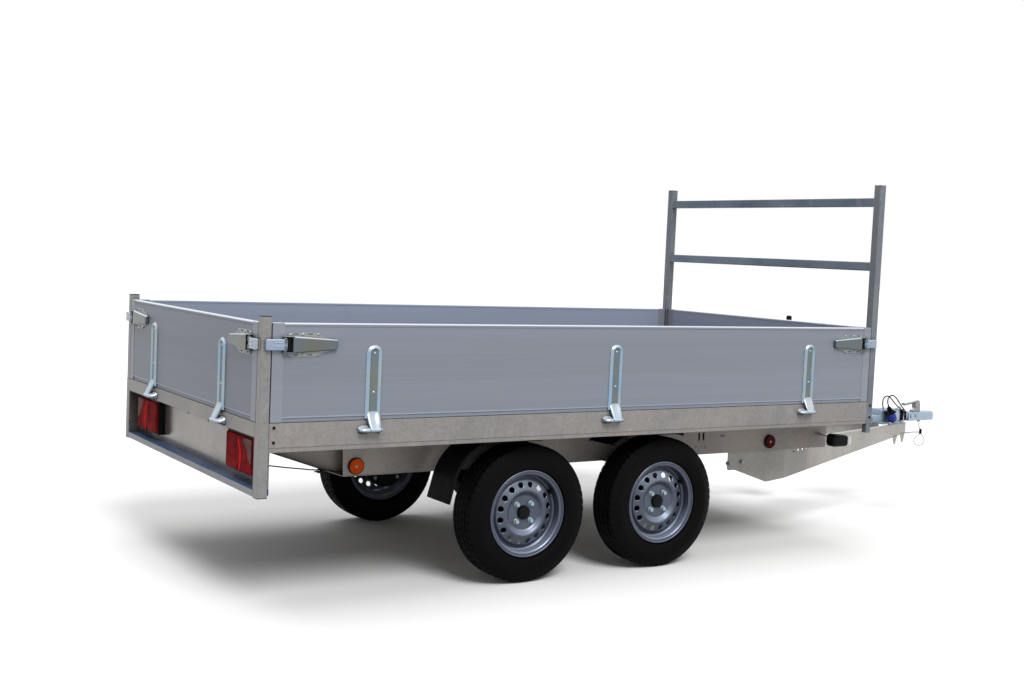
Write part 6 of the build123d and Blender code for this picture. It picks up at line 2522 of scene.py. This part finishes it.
# ================================================================ drawbar
@dataclass
class DrawbarArms:
    """Two folded arms that run from under the beams to the coupling."""

    p: Layout = PLACES
    outer: float = 0.450
    start: float = 0.28825
    fold: float = 0.66725
    front: float = 1.97225
    front_half: float = 0.100
    bottom: float = 0.283
    heel: float = 0.354
    heel_end: float = 0.33625
    toe: float = 0.54625
    nose_bottom: float = 0.423
    wall: float = 0.004
    flange: float = 0.035
    hooks: tuple[Point2, Point2] = ((1.85025, 0.367), (1.94225, 0.372))
    vents: tuple[Point2, ...] = ((0.755, 0.425), (0.798, 0.426), (0.840, 0.427), (0.879, 0.431),
                                 (0.931, 0.430))
    vent_radius: float = 0.0085

    @property
    def lean(self) -> float:
        """Give how far the front part closes in for each metre forward."""
        return (self.outer - self.front_half) / (self.front - self.fold)

    def under(self, x: float) -> float:
        """Give the height of the arm's lower edge ahead of the toe."""
        rise = (self.nose_bottom - self.bottom) / (self.front - self.toe)
        return self.bottom + rise * (x - self.toe)

    def web_frame(self) -> Matrix:
        """Give the front web's frame: x along it from the fold, y at true height."""
        return frame_at((self.fold, self.outer, 0), (1, -self.lean, 0), (0, 0, 1))

    def build(self) -> None:
        """Make both arms with their hooks, flanges and bolts."""
        p = self.p
        top = p.arm_top
        stretch = math.hypot(1.0, self.lean)
        for side in Side:
            shell = Shell(mirrored(side))
            rear = [(self.start, top), (self.start, self.heel), (self.heel_end, self.heel),
                    (self.toe, self.bottom), (self.fold, self.under(self.fold)), (self.fold, top)]
            shell.prism(softened(rear, 0.010), self.wall, across(self.outer), 0.0007)
            front = [(0.0, top), (0.0, self.under(self.fold)),
                     ((self.front - self.fold) * stretch, self.nose_bottom),
                     ((self.front - self.fold) * stretch, top)]
            holes = [circle(((x - self.fold) * stretch, z), self.vent_radius, 20)
                     for x, z in self.vents]
            shell.prism(front, self.wall, self.web_frame(), 0.0, 2, holes)
            for x, tip in self.hooks:
                at = (x - self.fold) * stretch
                hook = softened([(at - 0.030, self.under(x) + 0.008), (at - 0.006, tip),
                                 (at + 0.006, tip), (at + 0.030, self.under(x) + 0.008)], 0.006)
                shell.prism(hook, self.wall, self.web_frame(), 0.0008)
            deep = self.flange * stretch
            bend = self.fold - (deep - self.flange) / self.lean
            plan = [(self.start, self.outer), (self.fold, self.outer),
                    (self.front, self.front_half), (self.front, self.front_half - deep),
                    (bend, self.outer - self.flange), (self.start, self.outer - self.flange)]
            shell.prism(plan, self.wall, shift(0, 0, top - self.wall), 0.0012)
            shell.tube([(self.start + 0.004, self.outer - 0.002, top - 0.002),
                        (self.fold, self.outer - 0.002, top - 0.002),
                        (self.front - 0.002, self.front_half - 0.002, top - 0.002)], 0.0026, 10)
            shell.tube([(self.fold, self.outer - 0.002, self.under(self.fold) + 0.006),
                        (self.fold, self.outer - 0.002, top - 0.006)], 0.0022, 8)
            shell.piece(f"{side.word}_arm", CHASSIS, DRAWBAR_STEEL, (f"{side.word}_drawbar_arm",))
            bolts = Shell(mirrored(side))
            for x, z in ((0.298, 0.387), (0.378, 0.392)):
                bolts.bolt(facing((x, self.outer, z), (0, 1, 0)), 0.017, 0.0085, 0.015)
                bolts.bolt(facing((x, self.outer - self.wall, z), (0, -1, 0)), 0.017, 0.012, 0.015)
            for x in (1.812, 1.955):
                y = self.outer - self.lean * (x - self.fold) - 0.020
                bolts.bolt(facing((x, y, 0.484), (0, 0, 1)), 0.015, 0.008, 0.012)
                bolts.bolt(facing((x, y, top - self.wall), (0, 0, -1)), 0.015, 0.010, 0.012)
            bolts.piece(f"{side.word}_arm_bolts", CHASSIS, DULL_ZINC)


@dataclass
class Coupling:
    """The overrun housing, its bellows, the ball head, handle, lever and brake rod."""

    p: Layout = PLACES
    floor: float = 0.484
    top: float = 0.556
    rear: float = 1.72225
    front: float = 2.03225
    half: float = 0.042
    head_rear: float = 2.07725
    nose: float = 2.30325
    head_half: float = 0.031
    head_low: float = 0.481
    head_top: float = 0.531
    ball_x: float = 2.25125
    ball_radius: float = 0.0252
    ball_depth: float = 0.034
    rod_x: Span = (1.95825, 2.12225)
    rod_z: float = 0.406
    collar: float = 0.016
    axis_z: float = 0.508
    plate_x: Span = (1.78225, 1.98825)
    plate_half: float = 0.096
    bracket_x: float = 1.95825
    lever_pivot: Point2 = (1.91225, 0.512)
    lever_end: Point2 = (1.74725, 0.518)
    lever_y: float = 0.0475

    def build_housing(self) -> None:
        """Make the housing with its base plate, bolts, plug cup and rod bracket."""
        shell = Shell()
        seat = self.p.arm_top
        (back, ahead), wide = self.plate_x, self.plate_half
        plate = softened([(back, -wide), (ahead, -wide), (ahead, wide), (back, wide)], 0.010)
        shell.prism(plate, self.floor - seat, shift(0, 0, seat), 0.001)
        r, h = 0.009, self.half
        side = [(h, self.floor), (h, self.top - r)]
        over = arc((h - r, self.top - r), r, 0, 90, 6) + arc((-h + r, self.top - r), r, 90, 180, 6)
        section = [side[0], *over, (-h, self.floor)]
        span = self.front - self.rear
        stations = (
            # along, width, height
            (0.0, 0.93, 0.50), (0.006, 0.985, 0.54), (0.012, 1.0, 0.555), (0.050, 1.0, 0.555),
            (0.056, 0.955, 0.54), (0.090, 0.955, 0.54), (0.098, 1.0, 0.555),
            (0.104, 1.0, 0.94), (0.109, 1.0, 1.0), (0.190, 1.0, 1.0), (span - 0.060, 1.0, 1.0),
            (span - 0.052, 0.93, 0.96), (span - 0.012, 0.93, 0.96), (span - 0.004, 0.90, 0.94),
            (span, 0.84, 0.91),
        )
        shell.loft([[(self.rear + x, y * size, self.floor + (z - self.floor) * rise)
                     for y, z in section] for x, size, rise in stations])
        for x, foot in ((self.rear + 0.034, self.floor + 0.0387), (self.front - 0.084, self.top)):
            shell.lathe([(0, 0), (0.009, 0), (0.009, 0.0030), (0.005, 0.0040), (0.0035, 0.008),
                         (0.0042, 0.0095), (0.0024, 0.0115), (0, 0.0118)],
                        shift(x, 0.012, foot - 0.0012), 20)
            for way in (-1, 1):
                shell.bolt(facing((x, way * (h - 0.0005), self.floor + 0.022), (0, way, 0)),
                           0.014, 0.006, 0.011)
        cup = facing(DrawbarCables.plug_foot, DrawbarCables.plug_way)
        shell.lathe([(0, -0.0103), (0.011, -0.0103), (0.0125, -0.004), (0.0125, -0.0003),
                     (0, -0.0003)], cup, 28)
        low = self.rod_z - 0.012
        bracket = softened([(-0.020, seat), (-0.020, low + 0.008), (-0.010, low), (0.010, low),
                            (0.020, low + 0.008), (0.020, seat)], 0.004)
        shell.prism(bracket, 0.006, frame_at((self.bracket_x, 0, 0), (0, 1, 0), (0, 0, 1)), 0.0008)
        shell.piece("overrun_body", CHASSIS, HOUSING_STEEL, ("overrun_housing",))
        rod = Shell(facing((self.rod_x[0], 0, self.rod_z), (1, 0, 0)))
        length = self.rod_x[1] - self.rod_x[0]
        threads = [(0.0040 - 0.0006 * (k % 2), 0.010 + 0.0012 * k) for k in range(24)]
        rod.lathe([(0, -0.006), (0.004, -0.006), (0.004, 0.009), *threads, (0.004, 0.040),
                   (0.004, length - 0.004), (0.0030, length), (0, length)], None, 20)
        for at in (-0.0065, 0.0065, 0.014):
            rod.bolt(shift(0, 0, at), 0.013, 0.006, 0.0)
        rod.piece("brake_rod", CHASSIS, DULL_ZINC)

    def build_bellows(self) -> None:
        """Make the pleated rubber bellows."""
        shell = Shell(facing((self.front, 0, self.axis_z), (1, 0, 0)))
        length, pleats = self.head_rear - self.front - self.collar, 3
        rows = [(0.0240, 0.0), (0.0285, 0.0)]
        for step in range(pleats * 8 + 1):
            wave = 0.5 - 0.5 * math.cos(2 * math.pi * step / 8)
            along = 0.003 + (length - 0.006) * step / (pleats * 8)
            rows.append((0.0262 + 0.0080 * wave ** 0.7, along))
        rows += [(0.0285, length), (0.0240, length)]
        shell.lathe(rows, None, 48, ring=True)
        shell.piece("pleated_bellows", CHASSIS, SOFT_RUBBER, ("drawbar_bellows",))

    def head_outline(self, inset: float) -> list[Point2]:
        """Give the head's outline from above."""
        half = self.head_half - inset
        r = 0.0248 - inset * 0.6
        stop = self.nose - inset
        rear = self.head_rear + inset
        return [(rear, -half), *arc((stop - r, -half + r), r, -90, 0, 10),
                *arc((stop - r, half - r), r, 0, 90, 10), (rear, half)]

    def build_head(self) -> None:
        """Make the ball head with its socket, side bolts and dark nose."""
        shell = Shell()
        hole = circle((self.ball_x, 0), self.ball_radius, 40)
        shell.prism(self.head_outline(0.0), self.ball_depth, shift(0, 0, self.head_low),
                    0.0, 2, [hole])
        rows = [(0.0, self.head_low + self.ball_depth), (0.0, self.head_top - 0.008),
                (0.0008, self.head_top - 0.0050), (0.0026, self.head_top - 0.0024),
                (0.0054, self.head_top - 0.0006), (0.0085, self.head_top)]
        shell.loft([[(x, y, z) for x, y in self.head_outline(inset)] for inset, z in rows])
        neck = facing((self.front + 0.001, 0, self.axis_z), (1, 0, 0))
        shell.lathe([(0, 0), (0.0225, 0), (0.0225, 0.046), (0, 0.046)], neck, 36)
        start = self.head_rear - self.front - self.collar
        shell.lathe([(0.0220, start), (0.0262, start), (0.0270, start + 0.001),
                     (0.0270, start + 0.016), (0.0220, start + 0.016)], neck, 40, ring=True)
        for x in (self.head_rear + 0.022, self.head_rear + 0.064):
            for way in (-1, 1):
                place = facing((x, way * self.head_half, self.axis_z), (0, way, 0))
                shell.bolt(place, 0.0150, 0.006, 0.0112)
        shell.tube([(self.head_rear + 0.006, -self.head_half + 0.001, self.head_top - 0.006),
                    (self.nose - 0.045, -self.head_half + 0.001, self.head_top - 0.006)], 0.0020, 8)
        shell.piece("ball_head", CHASSIS, HOUSING_STEEL, ("coupling_head",))
        nose = Shell()
        r = 0.0262
        ends = arc((self.nose - 0.0248, -self.head_half + 0.0248), r, -58, 0, 8)
        ends += arc((self.nose - 0.0248, self.head_half - 0.0248), r, 0, 58, 8)
        inner = [(x - 0.003 * math.cos(math.atan2(y, x - self.nose + 0.05)), y * 0.94)
                 for x, y in ends[::-1]]
        nose.prism(ends + inner, 0.034, shift(0, 0, self.head_low + 0.004), 0.0008)
        nose.piece("coupling_nose_pad", CHASSIS, SOFT_RUBBER)
        under = Shell()
        under.bolt(facing((self.ball_x - 0.048, 0, self.head_low), (0, 0, -1)), 0.017, 0.010, 0.014)
        under.piece("coupling_under_bolt", CHASSIS, DULL_ZINC)

    def build_handle(self) -> None:
        """Make the pressed release handle with its round grip."""
        ahead, top = self.p.bed_front, self.head_top
        shell = Shell()
        cheek = softened([(ahead + x / 1000, top + z / 1000) for x, z in (
            (1238, 0), (1298, 0), (1294, 52), (1280, 68), (1262, 64), (1254, 48), (1260, 20),
            (1238, 8),
        )], 0.005)
        for y in (-0.0115, 0.0150):
            shell.prism(cheek, 0.0035, across(y), 0.0008)
        middle = Vector((ahead + 1.266, top + 0.034))
        web = [tuple(middle + (Vector(point) - middle) * 0.93) for point in cheek]
        shell.prism(web, 0.0232, across(0.0116), 0.0006)
        shell.box((ahead + 1.238, ahead + 1.296), (-0.014, 0.014), (top - 0.0005, top + 0.0035),
                  0.001)
        shell.box((ahead + 1.289, ahead + 1.294), (-0.0125, 0.0125), (top, top + 0.056), 0.0015)
        rows = []
        for x, z, width, height in ((1161, 45.5, 20, 9), (1163, 46, 26, 14), (1170, 47, 29, 17.5),
                                    (1200, 51, 30, 18), (1240, 57.5, 30, 18), (1266, 62, 30, 17),
                                    (1284, 63.5, 30, 13), (1290, 61, 28, 9)):
            loop = rounded_outline(width / 1000, height / 1000, min(width, height) / 2200, 5)
            rows.append([(ahead + x / 1000 - y * 0.16, across_it, top + z / 1000 + y)
                         for across_it, y in loop])
        shell.loft(rows)
        pin = facing((ahead + 1.279, -0.0162, top + 0.022), (0, 1, 0))
        shell.lathe([(0, 0), (0.0050, 0), (0.0055, 0.001), (0.0055, 0.0314), (0.0050, 0.0324),
                     (0, 0.0324)], pin, 20)
        shell.piece("release_handle", CHASSIS, DULL_ZINC, ("coupling_handle",))

    def build_lever(self) -> None:
        """Make the folded handbrake lever with its grip."""
        pivot, end, y = self.lever_pivot, self.lever_end, self.lever_y
        shell = Shell()
        slope = math.degrees(math.atan2(end[1] - pivot[1], end[0] - pivot[0]))
        blade = arc(pivot, 0.012, slope + 90, slope + 270, 12) + arc(end, 0.0105, slope - 90,
                                                                    slope + 90, 12)
        shell.prism(blade[::-1], 0.005, across(y), 0.0012)
        shell.bolt(facing((pivot[0], y - 0.0005, pivot[1]), (0, 1, 0)), 0.013, 0.005, 0.010)
        shell.piece("handbrake_blade", CHASSIS, DULL_ZINC, ("handbrake_lever",))
        grip = Shell(facing((end[0] - 0.006, y + 0.0015, end[1]), (1, 0, -0.036)))
        ribs = [(0.0108 - 0.0009 * (k % 2), 0.002 + 0.0042 * k) for k in range(22)]
        flat = Matrix.Scale(0.62, 4, Vector((1, 0, 0)))
        grip.lathe([(0, 0), (0.0085, 0), *ribs, (0.0085, 0.096), (0, 0.096)], flat, 24)
        grip.piece("handbrake_grip", CHASSIS, SOFT_RUBBER)

    def build_small_parts(self) -> None:
        """Make the wrap under the housing's front and the plug's tether."""
        shell = Shell()
        shell.box((1.992, 2.014), (-0.045, -0.038), (0.470, 0.552), 0.002)
        point = softened([(1.992, 0.471), (2.003, 0.450), (2.014, 0.471)], 0.003)
        shell.prism(point, 0.006, across(-0.0385), 0.0008)
        tether = [Vector((1.9445, -0.042, 0.552)).lerp(Vector((2.0125, -0.022, 0.5545)), k / 14)
                  + Vector((0, -0.010, 0.016)) * math.sin(math.pi * k / 14) for k in range(15)]
        shell.tube(tether, 0.0016, 8)
        shell.piece("housing_wrap_and_tether", CHASSIS, SOFT_RUBBER)

    def build(self) -> None:
        """Make the coupling and all that sits at the drawbar's front."""
        self.build_housing()
        self.build_bellows()
        self.build_head()
        self.build_handle()
        self.build_lever()
        self.build_small_parts()


@dataclass
class JockeyWheel:
    """The jockey wheel: clamp, outer tube with crank, sliding leg and roller."""

    x: float = 1.39225
    y: float = 0.31156
    tube_radius: float = 0.024
    tube_inner: float = 0.021
    low: float = 0.372
    high: float = 0.960
    leg_radius: float = 0.0206
    leg_top: float = 0.587
    fork_gap: float = 0.031
    fork_wall: float = 0.004
    fork_half: float = 0.020
    axle_z: float = 0.260
    radius: float = 0.100
    width: float = 0.050
    clamp_low: float = 0.414
    clamp_high: float = 0.474
    crank_low: float = 0.988
    crank_turn: float = 39.0
    knob_radius: float = 0.016
    knob_top: float = 1.068

    @property
    def axis(self) -> Matrix:
        """Give the frame of the tube's axis, at ground level."""
        return shift(self.x, self.y, 0)

    def build_tube(self) -> None:
        """Make the outer tube with its cap, spindle and crank."""
        r, low, high = self.tube_radius, self.low, self.high
        shell = Shell(self.axis)
        shell.lathe([(self.tube_inner, low), (r - 0.0006, low), (r, low + 0.0008),
                     (r, high - 0.0008), (r - 0.0006, high), (self.tube_inner, high)], None, 48,
                    ring=True)
        shell.lathe([(0, high - 0.006), (r - 0.0005, high - 0.006), (r + 0.0012, high - 0.004),
                     (r + 0.0012, high + 0.002), (r - 0.001, high + 0.0055), (0.012, high + 0.008),
                     (0.0070, high + 0.010), (0.0070, self.crank_low + 0.001),
                     (0, self.crank_low + 0.001)], None, 48)
        shell.weld((0.0, r, low + 0.002), (0.0, r, low + 0.060), 0.0018, 2)
        turn = spin(self.crank_turn / 360)
        arm = [(-0.008, -0.0075), (0.088, -0.0070), (0.094, 0.0), (0.088, 0.0070), (-0.008, 0.0075)]
        shell.prism(softened(arm, 0.006), 0.0075, turn @ shift(0, 0, self.crank_low),
                    0.0014)
        shell.bolt(shift(0, 0, self.crank_low + 0.0074), 0.012, 0.005, 0.009)
        shell.piece("jockey_tube_and_crank", CHASSIS, DULL_ZINC, ("jockey_outer_tube",))
        knob = Shell(self.axis @ turn @ shift(0.080, 0, 0))
        base, top = self.crank_low + 0.008, self.knob_top
        tall = top - base
        widest = self.knob_radius
        rows = [(0, base), (0.0080, base), (0.0105, base + 0.004), (0.0120, base + tall * 0.35),
                (widest * 0.96, base + tall * 0.58), (widest, base + tall * 0.78)]
        rows += [(r2, z) for r2, z in arc((widest - 0.0085, top - 0.0085), 0.0083, 10, 90, 6)]
        knob.lathe([*rows, (0, top)], None, 32)
        knob.piece("crank_knob", CHASSIS, BLACK, ("jockey_knob",))

    def build_clamp(self) -> None:
        """Make the clamp with its bolts and tommy bar."""
        arm = DrawbarArms()
        line = arm.outer - arm.lean * (self.x - arm.fold)
        shell = Shell()
        low, high = self.clamp_low, self.clamp_high
        ring = self.tube_radius + 0.006
        place = shift(0, 0, low)
        outside = [(self.x - 0.040, line + 0.0112), (self.x - 0.040, line + 0.019),
                   *arc((self.x, self.y), ring, 190, -10, 24),
                   (self.x + 0.040, line + 0.008), (self.x + 0.040, line - 0.0102)]
        bore = circle((self.x, self.y), self.tube_radius, 40)
        shell.prism(softened(outside, 0.0015), high - low, place, 0.0, 2, [bore])
        for z in (low + 0.016, high - 0.016):
            for x in (-0.030, 0.030):
                y = line + 0.0092 if x > 0 else line + 0.020
                shell.bolt(facing((self.x + x, y, z), (0, 1, 0)), 0.010, 0.006, 0.0)
        bar = facing((self.x, self.y + ring - 0.001, (low + high) / 2), (0, 1, 0))
        shell.lathe([(0, 0), (0.011, 0), (0.011, 0.005), (0.0065, 0.006), (0.0065, 0.030),
                     (0.0055, 0.032), (0, 0.032)], bar, 24)
        tommy = shift(0, 0, 0.022) @ spin(70 / 360)
        shell.tube([(-0.045, 0, 0), (0.045, 0, 0)], 0.0042, 14, bar @ tommy)
        shell.piece("clamp_casting", CHASSIS, DRAWBAR_STEEL, ("jockey_clamp",))

    def build_leg(self) -> None:
        """Make the sliding leg and its fork."""
        shell = Shell(self.axis)
        r, high = self.leg_radius, self.leg_top
        shell.lathe([(0, self.low), (r, self.low), (r, high - 0.001), (r - 0.001, high), (0, high)],
                    None, 40)
        gap, wall, top = self.fork_gap, self.fork_wall, self.low
        foot = self.axle_z - 0.014
        out = gap + wall
        fork = [(-out, foot), (-out, top), (out, top), (out, foot), (gap, foot), (gap, top - wall),
                (-gap, top - wall), (-gap, foot)]
        side = frame_at((-self.fork_half, 0, 0), (0, 1, 0), (0, 0, 1))
        shell.prism(softened(fork, 0.0034), 2 * self.fork_half, side, 0.0005)
        for way in (-1, 1):
            shell.bolt(facing((0, way * out, self.axle_z), (0, way, 0)), 0.013, 0.007, 0.011)
        shell.lathe([(0, -gap), (0.008, -gap), (0.008, gap), (0, gap)],
                    facing((0, 0, self.axle_z), (0, 1, 0)), 24)
        shell.piece("sliding_leg", "jockey_leg", DULL_ZINC, ("jockey_inner_tube",))

    def build_roller(self) -> None:
        """Make the roller: a solid tyre on a ribbed plastic centre."""
        place = self.axis @ facing((0, 0, self.axle_z), (0, 1, 0))
        half, r = self.width / 2, self.radius
        tyre = Shell(place)
        outer = arc((r - 0.013, half - 0.013), 0.013, 78, 0, 8)
        tread = [(r - 0.0016, half * 0.22), (r - 0.0016, half * 0.16)]
        line = [(0.064, half - 0.004), (0.070, half - 0.0006), (0.076, half - 0.002),
                (0.080, half - 0.0002), *[(x, t) for x, t in outer], *tread]
        tyre.lathe(line + [(x, -t) for x, t in line[::-1]], None, 72, ring=True)
        tyre.piece("jockey_tyre", "jockey_roller", RUBBER, ("jockey_wheel",))
        centre = Shell(place)
        upper = [(0.0645, half - 0.005), (0.058, half - 0.006), (0.058, 0.006), (0.018, 0.006),
                 (0.018, half - 0.002), (0.0085, half - 0.002)]
        centre.lathe([(x, -t) for x, t in upper[::-1]] + upper, None, 60, ring=True)
        for index in range(8):
            turn = spin(index / 8)
            for way in (-1, 1):
                z = sorted((way * 0.0055, way * (half - 0.008)))
                centre.box((0.016, 0.060), (-0.0022, 0.0022), tuple(z), 0.0006, 2, turn)
        centre.piece("jockey_wheel_centre", "jockey_roller", BLACK)

    def build(self) -> None:
        """Make the jockey wheel."""
        self.build_tube()
        self.build_clamp()
        self.build_leg()
        self.build_roller()


def main() -> None:
    """Build the trailer's looks, assembly by assembly."""
    logging.basicConfig(level=logging.INFO, format="%(message)s")
    Studio().build()
    DrawbarCables().build()
    lugs = Shell()
    for edge in bed_edges(PLACES):
        Board(edge).build()
        HingeStraps(edge).build(lugs)
        Latches(edge).build()
    lugs.piece("rail_hinge_lugs", CHASSIS, ZINC, ("rail_hinge_brackets",))
    BedFrame().build()
    RearFrame().build()
    Chassis().build()
    Mudguards().build()
    Axles().build()
    for axle in Axle:
        for side in Side:
            Wheel(axle, side).build()
    DrawbarArms().build()
    Coupling().build()
    JockeyWheel().build()


if __name__ == "__main__":
    main()
